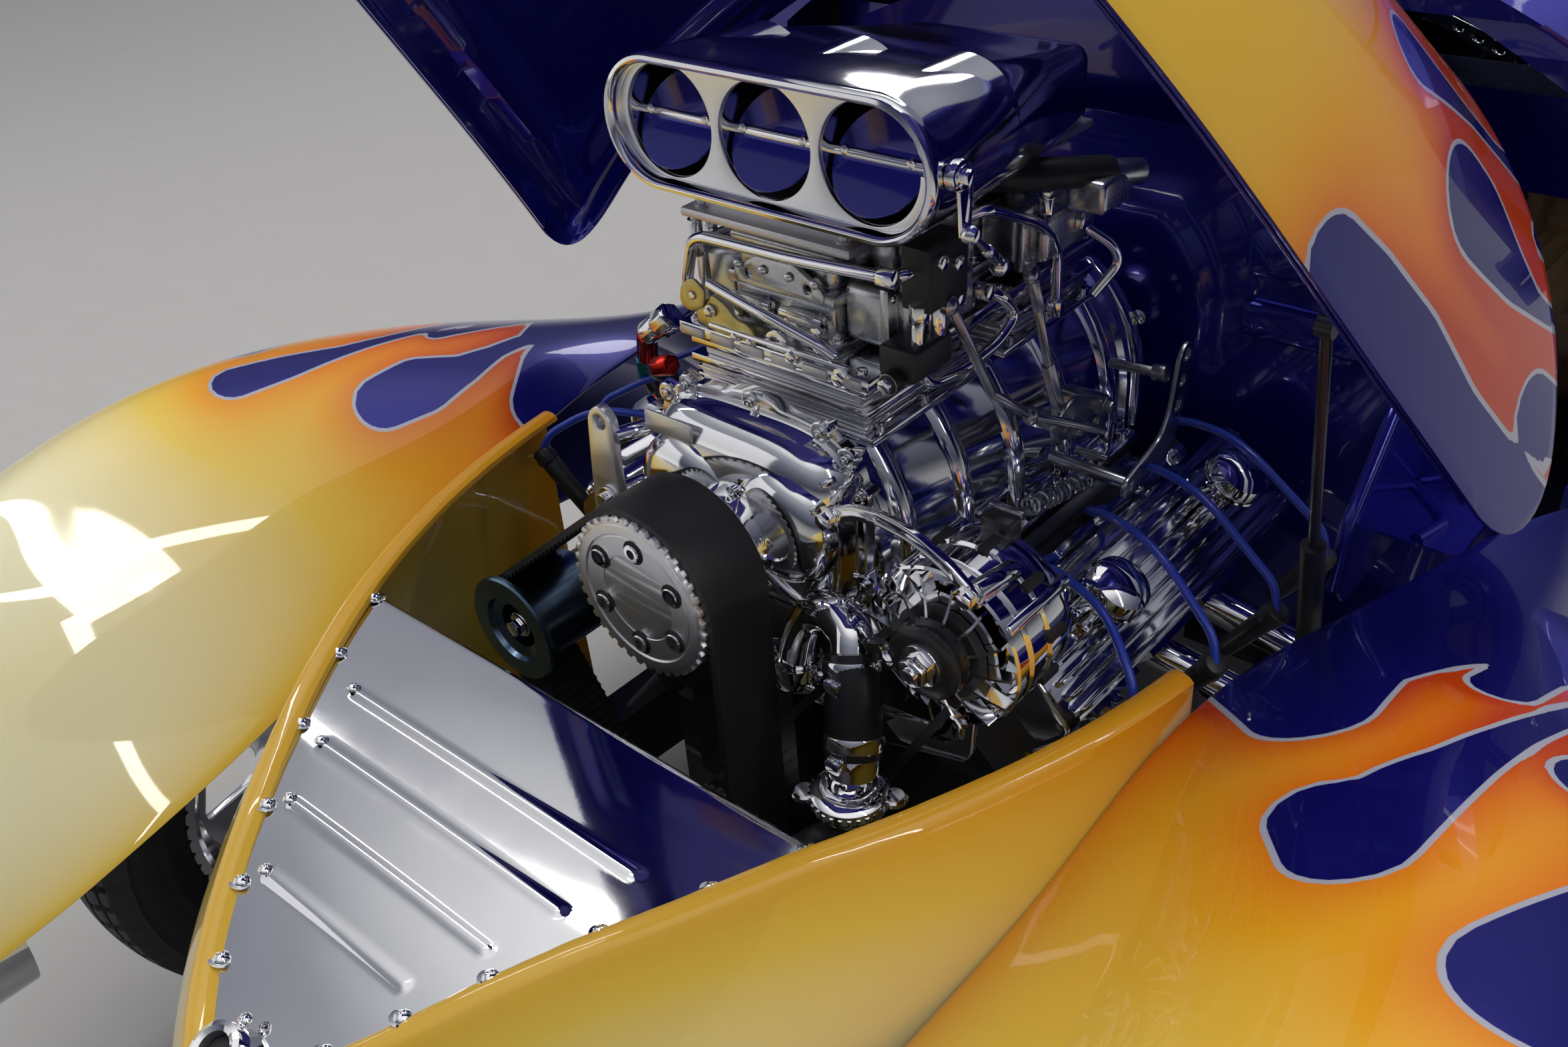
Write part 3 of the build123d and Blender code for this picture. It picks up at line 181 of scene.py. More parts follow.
materials = dict(
    deepBlue=newMaterial("deepBlue", (0.012, 0.012, 0.26), 0.28, 0.55, 1.0, 900.0, 0.12, 0.00001,
        Coat_Roughness=0.03),
    bayBlue=newMaterial("bayBlue", (0.018, 0.016, 0.33), 0.24, 0.6, 1.0, 900.0, 0.12, 0.00001,
        Coat_Roughness=0.04),
    chrome=newMaterial("chrome", (0.88, 0.88, 0.90), 0.04, 1.0, 0.0, 40.0, 0.05, 0.00001),
    polished=newMaterial("polishedAluminium", (0.86, 0.86, 0.88), 0.09, 1.0, 0.0, 60.0, 0.08, 0.00004),
    mirror=newMaterial("mirrorSheet", (0.80, 0.80, 0.82), 0.055, 1.0, 0.0, 14.0, 0.10, 0.00006),
    satin=newMaterial("satinAluminium", (0.86, 0.87, 0.90), 0.36, 1.0, 0.0, 220.0, 0.10, 0.00001),
    castAluminium=newMaterial("castAluminium", (0.62, 0.62, 0.65), 0.38, 1.0, 0.0, 420.0, 0.20, 0.0003),
    carbSilver=newMaterial("carbSilver", (0.60, 0.61, 0.63), 0.27, 1.0, 0.0, 300.0, 0.15, 0.00015),
    zincYellow=newMaterial("zincYellow", (0.62, 0.52, 0.22), 0.34, 1.0, 0.0, 160.0, 0.25, 0.00005),
    steel=newMaterial("brushedSteel", (0.46, 0.47, 0.50), 0.26, 1.0, 0.0, 160.0, 0.15, 0.00004, (1, 6, 6)),
    blackSteel=newMaterial("blackSteel", (0.03, 0.03, 0.035), 0.32, 0.4, 0.2, 200.0, 0.3, 0.0001),
    castIron=newMaterial("paintedIron", (0.02, 0.02, 0.024), 0.42, 0.2, 0.3, 260.0, 0.3, 0.0004),
    blueSteel=newMaterial("bluedSteel", (0.16, 0.24, 0.34), 0.24, 1.0, 0.0, 120.0, 0.3, 0.00003),
    beltRubber=newMaterial("beltRubber", (0.016, 0.016, 0.018), 0.46, 0.0, 0.0, 500.0, 0.3, 0.0002),
    hoseRubber=newMaterial("hoseRubber", (0.010, 0.010, 0.012), 0.30, 0.0, 0.0, 300.0, 0.3, 0.0002),
    tyreRubber=newMaterial("tyreRubber", (0.014, 0.014, 0.015), 0.62, 0.0, 0.0, 260.0, 0.35, 0.0004),
    framePaint=newMaterial("framePaint", (0.010, 0.010, 0.014), 0.30, 0.1, 0.6, 300.0, 0.2, 0.00005),
    blackPlastic=newMaterial("blackPlastic", (0.014, 0.014, 0.016), 0.42, 0.0, 0.0, 400.0, 0.2, 0.0002),
    blueWire=newMaterial("blueWire", (0.02, 0.05, 0.42), 0.35, 0.0, 0.2, 300.0, 0.15, 0.0001),
    blueAnodised=newMaterial("blueAnodised", (0.015, 0.02, 0.42), 0.22, 1.0, 0.0, 200.0, 0.1, 0.00003),
    redAnodised=newMaterial("redAnodised", (0.55, 0.03, 0.02), 0.22, 1.0, 0.0, 200.0, 0.1, 0.00003),
    tealAnodised=newMaterial("tealAnodised", (0.02, 0.34, 0.42), 0.22, 1.0, 0.0, 200.0, 0.1, 0.00003),
    whitePlastic=newMaterial("whitePlastic", (0.62, 0.62, 0.60), 0.38, 0.0, 0.0, 200.0, 0.08, 0.0001),
    leather=newMaterial("tanLeather", (0.34, 0.20, 0.10), 0.48, 0.0, 0.0, 420.0, 0.30, 0.0006),
    carpet=newMaterial("blueCarpet", (0.018, 0.020, 0.075), 0.95, 0.0, 0.0, 900.0, 0.9, 0.0025),
    lampRed=newMaterial("lampRed", (0.45, 0.008, 0.006), 0.12, 0.0, 0.6, 60.0, 0.1, 0.0001),
    # Painted shade: a near-black rough finish put in bores, counterbores, holes and vent slots to stand for
    # their dark depth
    inside=newMaterial("paintedShadeBlack", (0.012, 0.012, 0.014), 0.7, 0.0, 0.0, 200.0, 0.2, 0.0002),
)


def glassMaterial(name, tone, weight):
    material = newMaterial(name, tone, 0.02, 0.0, 0.0, 30.0, 0.03, 0.00001)
    shader = material.node_tree.nodes["Principled BSDF"]
    shader.inputs["Transmission Weight"].default_value = weight
    shader.inputs["IOR"].default_value = 1.45
    return material


materials["glass"] = glassMaterial("windowGlass", (0.80, 0.88, 0.88), 0.96)
materials["lens"] = glassMaterial("lampGlass", (0.95, 0.96, 0.97), 0.92)


# Flame paint: distance to the blue edge and a warmth value come with the panel's points
flamePaint = dict(
    cream=(0.80, 0.77, 0.52), yellow=(0.80, 0.56, 0.08), golden=(0.80, 0.36, 0.012),
    orange=(0.72, 0.17, 0.006), red=(0.50, 0.045, 0.003),
    blue=(0.010, 0.009, 0.20), stripe=(0.42, 0.42, 0.50), stripeWidth=0.0045, fadeReach=0.050,
    fadeWarmth=0.42)


def flameGroup(facts):
    group, given, out = newGroup(
        "flameLayers", [("Edge", "Float", -1.0), ("Warmth", "Float", 0.0)],
        [("Tone", "Color"), ("Metal", "Float"), ("Rough", "Float")])
    edge, warmth = given.outputs["Edge"], given.outputs["Warmth"]
    outside = mathNode(group, "MAXIMUM", mathNode(group, "MULTIPLY", edge, -1.0), 0.0)
    near = mathNode(group, "POWER", 2.718, mathNode(group, "DIVIDE", outside, -facts["fadeReach"]))
    heat = mathNode(group, "ADD", warmth, mathNode(group, "MULTIPLY", near, facts["fadeWarmth"]), True)
    warm = colorRamp(group, heat, [(0.0, facts["cream"]), (0.24, facts["yellow"]), (0.46, facts["golden"]),
        (0.78, facts["orange"]), (1.0, facts["red"])])
    flake = addNode(group, "ShaderNodeTexNoise", in_Scale=1400.0, in_Detail=1.0)
    coords = addNode(group, "ShaderNodeTexCoord")
    group.links.new(coords.outputs["Object"], flake.inputs["Vector"])
    blue = mixColor(group, flake.outputs[0], tuple(0.7 * c for c in facts["blue"]) + (1,),
        tuple(1.35 * c for c in facts["blue"]) + (1,))
    width = facts["stripeWidth"]
    sharp = 0.0004
    inBlue = mathNode(group, "DIVIDE", edge, sharp, True)
    pastStripe = mathNode(group, "DIVIDE", mathNode(group, "ADD", edge, width), sharp, True)
    tone = mixColor(group, pastStripe, warm, (*facts["stripe"], 1))
    tone = mixColor(group, inBlue, tone, blue)
    group.links.new(tone, out.inputs["Tone"])
    group.links.new(mathNode(group, "ADD", mathNode(group, "MULTIPLY", inBlue, 0.5),
        mathNode(group, "MULTIPLY", pastStripe, 0.1)), out.inputs["Metal"])
    group.links.new(mathNode(group, "SUBTRACT", 0.30, mathNode(group, "MULTIPLY", inBlue, 0.04)),
        out.inputs["Rough"])
    return group


def flameMaterial(name):
    material = bpy.data.materials.new(name)
    material.use_nodes = True
    tree = material.node_tree
    shader = tree.nodes["Principled BSDF"]
    shader.inputs["Coat Weight"].default_value = 0.8
    shader.inputs["Coat Roughness"].default_value = 0.025
    shader.inputs["Specular IOR Level"].default_value = 0.15
    layers = addNode(tree, "ShaderNodeGroup", node_tree=flameLayers)
    for label, attribute in (("Edge", "flameEdge"), ("Warmth", "flameWarmth")):
        source = addNode(tree, "ShaderNodeAttribute", attribute_name=attribute)
        tree.links.new(source.outputs["Fac"], layers.inputs[label])
    for label, socket in (("Tone", "Base Color"), ("Metal", "Metallic"), ("Rough", "Roughness")):
        tree.links.new(layers.outputs[label], shader.inputs[socket])
    return material


flameLayers = flameGroup(flamePaint)
materials["flames"] = flameMaterial("flamePaint")


# Stage: pale floor and soft studio light
stageFacts = dict(floor=(0.44, 0.43, 0.42), worldStrength=0.90)


def buildStage(facts):
    bm = bmesh.new()
    bmesh.ops.create_grid(bm, x_segments=1, y_segments=1, size=14)
    mesh = bpy.data.meshes.new("studioFloor")
    bm.to_mesh(mesh)
    bm.free()
    floor = bpy.data.objects.new("studioFloor", mesh)
    bpy.context.scene.collection.objects.link(floor)
    mesh.materials.append(newMaterial("floorPaint", facts["floor"], 0.75, 0.0, 0.0, 12.0, 0.05, 0.0001))
    world = bpy.data.worlds.new("studioWorld")
    bpy.context.scene.world = world
    world.use_nodes = True
    tree = world.node_tree
    background = tree.nodes["Background"]
    coords = addNode(tree, "ShaderNodeTexCoord")
    split = addNode(tree, "ShaderNodeSeparateXYZ")
    tree.links.new(coords.outputs["Generated"], split.inputs[0])
    sky = colorRamp(tree, mathNode(tree, "ADD", mathNode(tree, "MULTIPLY", split.outputs[2], 0.5), 0.5),
                    [(0.0, (0.26, 0.25, 0.24)), (0.48, (0.20, 0.20, 0.21)), (0.53, (0.05, 0.055, 0.075)),
                        (0.70, (0.17, 0.18, 0.23)),
                    (0.83, (0.36, 0.37, 0.41)), (0.93, (1.0, 1.0, 1.0))])
    path = addNode(tree, "ShaderNodeLightPath")
    tree.links.new(mixColor(tree, path.outputs["Is Camera Ray"], sky, (0.86, 0.87, 0.89, 1)),
        background.inputs["Color"])
    background.inputs["Strength"].default_value = facts["worldStrength"]
    for name, place, aim, size, power in facts["lamps"]:
        data = bpy.data.lights.new(name, "AREA")
        data.shape, data.size, data.size_y, data.energy = "RECTANGLE", size[0], size[1], power
        data.color = (1.0, 0.985, 0.96)
        lamp = bpy.data.objects.new(name, data)
        bpy.context.scene.collection.objects.link(lamp)
        lamp.location = place
        lamp.rotation_euler = (Vector(aim) - Vector(place)).to_track_quat("-Z", "Y").to_euler()


stageFacts["lamps"] = [
    ("tubeLeft", (2.6, -1.4, 4.4), (0.2, -1.0, 0.8), (0.12, 6.0), 46),
    ("tubeMiddle", (0.3, -0.6, 4.6), (0.0, -0.8, 0.8), (0.12, 6.0), 46),
    ("tubeRight", (-2.2, -1.2, 4.4), (-0.2, -1.0, 0.8), (0.12, 6.0), 46),
    ("doorLight", (-5.6, -5.0, 2.4), (0, -1.0, 0.8), (6.5, 4.4), 52),
    ("rearFill", (-3.4, 5.6, 3.6), (0, 0.8, 0.8), (3.0, 2.2), 95),
]
buildStage(stageFacts)
bpy.context.scene.view_settings.view_transform = "Standard"
print("camera, stage and finishes ready")


# Panels: each section is made of arcs, and the rows between are smooth, in millimetres
def rowAt(rows, t):
    places = [row[0] for row in rows]
    t = min(max(t, places[0]), places[-1])
    i = max(k for k in range(len(rows) - 1) if places[k] <= t)
    span = places[i + 1] - places[i]
    s = (t - places[i]) / span
    before, after = max(i - 1, 0), min(i + 2, len(rows) - 1)
    values = []
    for c in range(1, len(rows[0])):
        a, b = rows[i][c], rows[i + 1][c]
        slopeA = (b - rows[before][c]) / (places[i + 1] - places[before]) * span
        slopeB = (rows[after][c] - a) / (places[after] - places[i]) * span
        values.append((2 * s ** 3 - 3 * s * s + 1) * a + (s ** 3 - 2 * s * s + s) * slopeA
            + (3 * s * s - 2 * s ** 3) * b + (s ** 3 - s * s) * slopeB)
    return values


def arcThrough(a, m, b, count):
    (ax, ay), (mx, my), (bx, by) = a, m, b
    d = 2 * (ax * (my - by) + mx * (by - ay) + bx * (ay - my))
    if abs(d) < 1e-6:
        return [(ax + (bx - ax) * i / count, ay + (by - ay) * i / count) for i in range(count + 1)]
    ux = ((ax * ax + ay * ay) * (my - by) + (mx * mx + my * my) * (by - ay) + (bx * bx + by * by)
        * (ay - my)) / d
    uy = ((ax * ax + ay * ay) * (bx - mx) + (mx * mx + my * my) * (ax - bx) + (bx * bx + by * by)
        * (mx - ax)) / d
    r = hypot(ax - ux, ay - uy)
    start, middle, end = (atan2(y - uy, x - ux) for x, y in (a, m, b))
    turn = (end - start) % tau
    if (middle - start) % tau > turn:
        turn -= tau
    return [(ux + r * cos(start + turn * i / count), uy + r * sin(start + turn * i / count))
        for i in range(count + 1)]


def evenLine(points, count, start=0.0, end=None):
    marks = [0.0]
    for p, q in zip(points, points[1:]):
        marks.append(marks[-1] + hypot(q[0] - p[0], q[1] - p[1]))
    end = marks[-1] if end is None else end
    result, k = [], 0
    for i in range(count + 1):
        s = start + (end - start) * i / count
        while k < len(points) - 2 and marks[k + 1] < s:
            k += 1
        f = (s - marks[k]) / max(marks[k + 1] - marks[k], 1e-9)
        result.append((points[k][0] + (points[k + 1][0] - points[k][0]) * f,
            points[k][1] + (points[k + 1][1] - points[k][1]) * f, s))
    return result


def softened(points, rounds, count=110):
    line = [(x, y) for x, y, _ in evenLine(points, count)]
    for _ in range(rounds):
        line = [line[0]] + [((p[0] + 2 * q[0] + r[0]) / 4, (p[1] + 2 * q[1] + r[1]) / 4)
            for p, q, r in zip(line, line[1:], line[2:])] + [line[-1]]
    return line


def blendStep(a, b, x):
    x = min(max((x - a) / (b - a), 0.0), 1.0)
    return x * x * (3 - 2 * x)


# Flame shapes: chains of round-ended tapers, head first, in a panel's own flat measures
def taperDistance(p, a, b):
    (px, py), (ax, ay, ra), (bx, by, rb) = p, a, b
    h = hypot(bx - ax, by - ay)
    if h <= abs(ra - rb) + 1e-6:
        return min(hypot(px - ax, py - ay) - ra, hypot(px - bx, py - by) - rb)
    dx, dy = (bx - ax) / h, (by - ay) / h
    along = (px - ax) * dx + (py - ay) * dy
    across = abs((py - ay) * dx - (px - ax) * dy)
    s = (ra - rb) / h
    c = sqrt(1 - s * s)
    k = c * along - s * across
    if k < 0:
        return hypot(across, along) - ra
    if k > c * h:
        return hypot(across, along - h) - rb
    return c * across + s * along - ra


def flameDistance(lobes, u, v, soft=9.0):
    best = 1e4
    for lobe in lobes:
        near = min(taperDistance((u, v), a, b) for a, b in zip(lobe, lobe[1:]))
        h = max(soft - abs(best - near), 0.0) / soft
        best = min(best, near) - h * h * soft / 4
    return -best


def finishObject(bm, name, body, stands=(), finish=None, smooth=40):
    mesh = bpy.data.meshes.new(name)
    bm.to_mesh(mesh)
    bm.free()
    piece = bpy.data.objects.new(name, mesh)
    bpy.context.scene.collection.objects.link(piece)
    for material in (finish if isinstance(finish, (list, tuple)) else [finish]):
        mesh.materials.append(materials[material])
    mesh.shade_smooth()
    if smooth:
        mesh.set_sharp_from_angle(angle=radians(smooth))
    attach(piece, body)
    if stands:
        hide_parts(*stands)
    return piece


def panelGrid(columns, levels, rowPoints, flames, warmth):
    bm = bmesh.new()
    edge, warm = bm.verts.layers.float.new("flameEdge"), bm.verts.layers.float.new("flameWarmth")
    count = len(levels) - 1
    made = bmesh.ops.create_grid(bm, x_segments=columns, y_segments=count, size=1.0)["verts"]
    rows = [rowPoints(t) for t in levels]
    for vert in made:
        i, j = round((vert.co.x + 1) / 2 * columns), round((vert.co.y + 1) / 2 * count)
        x, y, z, u, v = rows[j][i]
        vert.co = (x / 1000, y / 1000, z / 1000)
        vert[edge] = flames(u, v) / 1000 if flames else -1.0
        vert[warm] = warmth(x, y, z, u, v)
    return bm


def faceOutwards(bm, inside):
    inside = Vector(inside)
    if sum((f.calc_center_median() - inside).dot(f.normal) * f.calc_area() for f in bm.faces) < 0:
        bmesh.ops.reverse_faces(bm, faces=bm.faces[:])


def insideOutline(outline, x, y):
    hit = False
    for (ax, ay), (bx, by) in zip(outline, outline[1:] + outline[:1]):
        if (ay > y) != (by > y) and x < (bx - ax) * (y - ay) / (by - ay) + ax:
            hit = not hit
    return hit


def roundedOutline(points, radius, steps=4):
    result = []
    for k, p in enumerate(points):
        a, b = Vector(points[k - 1]), Vector(points[(k + 1) % len(points)])
        p = Vector(p)
        r = min(radius, (a - p).length * 0.45, (b - p).length * 0.45)
        start, end = p + (a - p).normalized() * r, p + (b - p).normalized() * r
        for i in range(steps + 1):
            t = i / steps
            q = start * (1 - t) ** 2 + p * 2 * t * (1 - t) + end * t * t
            result.append((q.x, q.y))
    return result


# Cuts along an outline seen down one axis, in mm, and removes what lies inside it
def cutOutline(bm, outline, axis, allowed):
    seen = {"x": (1, 2), "y": (0, 2), "z": (0, 1)}[axis]
    lie = {"x": Vector((1, 0, 0)), "y": Vector((0, 1, 0)), "z": Vector((0, 0, 1))}[axis]
    ring = [(a / 1000, b / 1000) for a, b in outline]
    for (ax, ay), (bx, by) in zip(ring, ring[1:] + ring[:1]):
        if hypot(bx - ax, by - ay) < 1e-6:
            continue
        low = (min(ax, bx) - 0.012, min(ay, by) - 0.012)
        high = (max(ax, bx) + 0.012, max(ay, by) + 0.012)
        near = []
        for f in bm.faces:
            if not allowed(f.calc_center_median()):
                continue
            xs = [v.co[seen[0]] for v in f.verts]
            ys = [v.co[seen[1]] for v in f.verts]
            if max(xs) >= low[0] and min(xs) <= high[0] and max(ys) >= low[1] and min(ys) <= high[1]:
                near.append(f)
        point, along = Vector((0, 0, 0)), Vector((0, 0, 0))
        point[seen[0]], point[seen[1]] = ax, ay
        along[seen[0]], along[seen[1]] = bx - ax, by - ay
        edges = {e for f in near for e in f.edges}
        verts = {v for f in near for v in f.verts}
        bmesh.ops.bisect_plane(bm, geom=near + list(edges) + list(verts), dist=1e-6, plane_co=point,
            plane_no=along.cross(lie).normalized())
    gone = []
    for f in bm.faces:
        c = f.calc_center_median()
        if allowed(c) and insideOutline(ring, c[seen[0]], c[seen[1]]):
            gone.append(f)
    bmesh.ops.delete(bm, geom=gone, context="FACES")


def thicken(piece, depth, inner=0, rim=0, roundEdge=0.0012):
    solid = piece.modifiers.new("wall", "SOLIDIFY")
    solid.thickness, solid.offset, solid.use_even_offset = depth, -1, False
    solid.material_offset, solid.material_offset_rim = inner, rim
    if roundEdge:
        bevel = piece.modifiers.new("rolledEdge", "BEVEL")
        bevel.width, bevel.segments = roundEdge, 2
        bevel.limit_method, bevel.angle_limit = "ANGLE", radians(50)
        bevel.harden_normals = False


def mirrored(bm):
    bmesh.ops.scale(bm, vec=(-1, 1, 1), verts=bm.verts[:])
    bmesh.ops.reverse_faces(bm, faces=bm.faces[:])
    return bm


# Front fenders: y, seam x and z, crown x and z, outer x and z, foot z
frontFender = dict(
    rows=((-2035, 410, 500, 480, 590, 550, 500, 450), (-1985, 372, 560, 505, 700, 690, 560, 390),
        (-1850, 352, 600, 600, 800, 805, 640, 345), (-1650, 362, 640, 680, 848, 862, 690, 340),
        (-1445, 386, 690, 700, 862, 872, 690, 340), (-1200, 415, 765, 685, 818, 868, 640, 340),
        (-950, 478, 760, 670, 728, 850, 520, 335), (-750, 535, 750, 662, 600, 838, 430, 325),
        (-570, 588, 700, 690, 430, 830, 372, 322)),
    arch=(-1470.0, 305.0, 378.0), columns=(54, 12), sheet=0.004,
    fade=dict(left=(-1950, -1420), right=(-1760, -1240)))


def fenderRow(facts, y):
    sx, sz, cx, cz, ox, oz, bz = rowAt(facts["rows"], y)
    line = arcThrough((sx, sz), ((sx + cx) / 2, (sz + cz) / 2 + (cx - sx) * 0.10), (cx, cz), 24)
    line += arcThrough((cx, cz), (cx + (ox - cx) * 0.72, oz + (cz - oz) * 0.66), (ox, oz), 24)[1:]
    shoulder = sum(hypot(q[0] - p[0], q[1] - p[1]) for p, q in zip(line, line[1:]))
    line.append((ox, bz))
    line = softened(line, 60)
    total = sum(hypot(q[0] - p[0], q[1] - p[1]) for p, q in zip(line, line[1:]))
    archY, archZ, archR = facts["arch"]
    foot = total
    if abs(y - archY) < archR:
        rise = archZ + sqrt(archR ** 2 - (y - archY) ** 2)
        foot = min(total, total - (rise - bz))
    shoulder = min(shoulder, foot - 6)
    many, few = facts["columns"]
    points = evenLine(line, many, 0, shoulder) + evenLine(line, few, shoulder, foot)[1:]
    return [(x, y, z, s, y) for x, z, s in points]


def fenderLevels(facts, spread=11):
    archY, _, archR = facts["arch"]
    first, last = facts["rows"][0][0], facts["rows"][-1][0]
    start, end = max(archY - archR, first), min(archY + archR, last)
    levels = [first + (start - first) * i / max(1, int((start - first) / spread))
        for i in range(max(1, int((start - first) / spread)))]
    count = int((end - start) / spread)
    levels += [archY - archR * cos(pi * i / count) for i in range(count)]
    rest = max(1, int((last - end) / spread))
    return levels + [end + (last - end) * i / rest for i in range(rest + 1)]


# Nose: level, half width at the rear, half width midway, midway y, tip y
nose = dict(
    rows=((390, 400, 330, -1680, -2020), (630, 408, 374, -1540, -1955), (800, 408, 297, -1528, -1862)),
    backY=-1205.0,
    lip=((-1960, 672), (-1880, 700), (-1804, 733), (-1750, 753), (-1682, 770), (-1540, 788), (-1205, 787)),
    low=392.0,
    flange=((0.0, 0.0), (4.0, 3.2), (10.0, 5.0), (17.0, 4.6), (22.5, 1.8), (24.0, -3.0)),
    grille=((-250, 440), (250, 440), (215, 590), (120, 640), (-120, 640), (-215, 590)), half=90, levels=46)


@lru_cache(maxsize=None)
def noseLine(z):
    w, m, my, tip = rowAt(nose["rows"], z)
    line = arcThrough((w, nose["backY"]), (m, my), (0, tip), 60)
    return line, sum(hypot(q[0] - p[0], q[1] - p[1]) for p, q in zip(line, line[1:]))


def nosePoint(u, z):
    line, total = noseLine(round(z))
    x, y, s = evenLine(line, 1, 0, (1 - abs(u)) * total)[1]
    y += (z - round(z)) * (noseLine(round(z) + 1)[0][-1][1] - line[-1][1]) * (1 - abs(u))
    return (x if u >= 0 else -x), y, (total - s) * (1 if u >= 0 else -1)


def noseLip(u):
    z = 780.0
    for _ in range(5):
        z = rowAt(nose["lip"], nosePoint(u, z)[1])[0]
    return z


noseLips = [noseLip(i / nose["half"]) for i in range(-nose["half"], nose["half"] + 1)]


def noseRow(t):
    half = nose["half"]
    row = []
    for i in range(-half, half + 1):
        u = i / half
        top = noseLips[i + half]
        if t <= 1:
            z = nose["low"] + (top - nose["low"]) * t
            x, y, s = nosePoint(u, z)
        else:
            inward, rise = nose["flange"][round(t) - 1]
            x, y, s = nosePoint(u, top)
            xa, ya, _ = nosePoint(max(u - 0.01, -1), top)
            xb, yb, _ = nosePoint(min(u + 0.01, 1), top)
            length = hypot(xb - xa, yb - ya)
            nx, ny = -(yb - ya) / length, (xb - xa) / length
            if nx * (0 - x) + ny * (-1300 - y) < 0:
                nx, ny = -nx, -ny
            x, y, z = x + nx * inward, y + ny * inward, top + rise
        row.append((x, y, z, s, z))
    return row


# Hood: y, edge half width, edge height, crown height, while closed
hood = dict(
    rows=((-1872, 12, 710, 726), (-1804, 128, 741, 838), (-1682, 218, 780, 940), (-1528, 300, 801, 1016),
        (-1214, 411, 796, 1114), (-860, 505, 776, 1224), (-560, 590, 752, 1306)),
    splitFoot=(-573.0, 738.0), splitTop=(-676.0, 1320.0), hinge=(-690.0, 1240.0),
    opening=49.0, half=56, levels=110,
    hole=(0, -1067.5, 410, 435, 45), corner=(-575.6, 753.2), cornerReach=118.0)


@lru_cache(maxsize=None)
def hoodSection(y, inset=0.0):
    w, ze, zc = rowAt(hood["rows"], y)
    a, top = max(w - inset, 4), max(zc - inset * 1.15, ze + 4)
    arc = softened(arcThrough((a, ze), (a * 0.80, ze + (top - ze) * 0.62), (0, top), 48)[::-1], 6, 90)
    return arc, sum(hypot(q[0] - p[0], q[1] - p[1]) for p, q in zip(arc, arc[1:]))


def hoodPoint(u, y, inset):
    low = floor(y)
    ends = []
    for level in (low, low + 1):
        line, total = hoodSection(level, inset)
        ends.append(evenLine(line, 1, 0, u * total)[1])
    f = y - low
    return [a * (1 - f) + b * f for a, b in zip(*ends)]


def hoodRow(t, inset=0.0):
    first = hood["rows"][0][0] + inset * 0.6
    half = hood["half"]
    (fy, fz), (ty, tz) = hood["splitFoot"], hood["splitTop"]
    row = []
    for i in range(-half, half + 1):
        y = first + (fy - first) * t
        for _ in range(4):
            x, z, s = hoodPoint(abs(i) / half, y, inset)
            y = first + (fy + (ty - fy) * (z - fz) / (tz - fz) - first) * t
        row.append((x * (1 if i >= 0 else -1), y, z, s * (1 if i >= 0 else -1), y))
    return row


def openHood(bm):
    hy, hz = (v / 1000 for v in hood["hinge"])
    bmesh.ops.rotate(bm, cent=(0, hy, hz), matrix=Matrix.Rotation(radians(-hood["opening"]), 3, "X"),
        verts=bm.verts[:])


# Flames on the fenders
frontFender["left"] = (
    ((190, -1318, 38), (222, -1345, 40), (217, -1271, 33), (220, -1215, 21), (218, -1149, 14),
        (216, -1075, 10), (226, -980, 22), (240, -900, 60)),
    ((385, -1395, 58), (387, -1310, 46), (380, -1230, 28), (368, -1140, 15), (360, -1050, 13),
        (350, -950, 40)),
    ((168, -1075, 23), (160, -1010, 20), (178, -940, 14), (190, -860, 30)),
    ((96, -1200, 44), (45, -1130, 74), (48, -1040, 84), (60, -900, 120)),
    ((290, -1150, 37), (292, -1070, 20), (296, -1000, 14), (300, -900, 50)),
    ((480, -1290, 36), (470, -1200, 22), (455, -1100, 12), (440, -960, 50)),
    ((600, -1120, 30), (585, -1050, 16), (560, -950, 40)),
    ((0, -500, 390), (900, -500, 390)))
frontFender["right"] = (
    ((166, -1318, 38), (152, -1270, 44), (130, -1215, 24), (124, -1160, 13), (118, -1100, 11),
        (110, -1000, 60)),
    ((325, -1425, 29), (300, -1365, 24), (272, -1294, 12), (255, -1230, 9), (240, -1150, 12),
        (230, -1060, 30)),
    ((216, -1180, 13), (196, -1130, 10), (190, -1050, 30)),
    ((22, -1180, 38), (45, -1120, 48), (50, -1020, 74), (60, -900, 120)),
    ((405, -1350, 40), (400, -1270, 26), (390, -1180, 14), (360, -1050, 20)),
    ((500, -1260, 34), (485, -1170, 20), (460, -1080, 12), (440, -960, 50)),
    ((600, -1120, 30), (585, -1050, 16), (560, -950, 40)),
    ((0, -500, 430), (900, -500, 430)))


def fenderWarmthAndSeamShade(side):
    start, end = frontFender["fade"][side]

    def warmth(x, y, z, u, v):
        base = 0.02 + 0.30 * blendStep(start, end, v) + 0.50 * blendStep(-1420, -930, v)
        dip = 0.05 * exp(-abs(u - 200) / 60) * (1 - blendStep(-1700, -1300, v))
        # Painted shade: the term that falls off from the seam deepens the paint to orange along the valley
        # at the nose
        return base + 0.24 * exp(-u / 34) + dip
    return warmth


for side, sign in (("left", 1), ("right", -1)):
    bm = panelGrid(sum(frontFender["columns"]), fenderLevels(frontFender),
        lambda y: fenderRow(frontFender, y), lambda u, v: flameDistance(frontFender[side], u, v),
        fenderWarmthAndSeamShade(side))
    cap = [e for e in bm.edges if e.is_boundary and all(v.co.y < -2.0345 for v in e.verts)]
    extra = bmesh.ops.extrude_edge_only(bm, edges=cap)["geom"]
    ring = [g for g in extra if isinstance(g, bmesh.types.BMVert)]
    centre = Vector((0.480, -2.034, 0.520))
    for v in ring:
        v.co = centre + (v.co - centre) * 0.30
    faceOutwards(bm, (0.60, -1.40, 0.30))
    if sign < 0:
        mirrored(bm)
    piece = finishObject(bm, "fenderFront" + side.capitalize(), "chassis",
        ("front_fenders",) if sign > 0 else (), ["flames", "deepBlue", "flames"])
    thicken(piece, frontFender["sheet"], 1, 2)
print("front fenders")


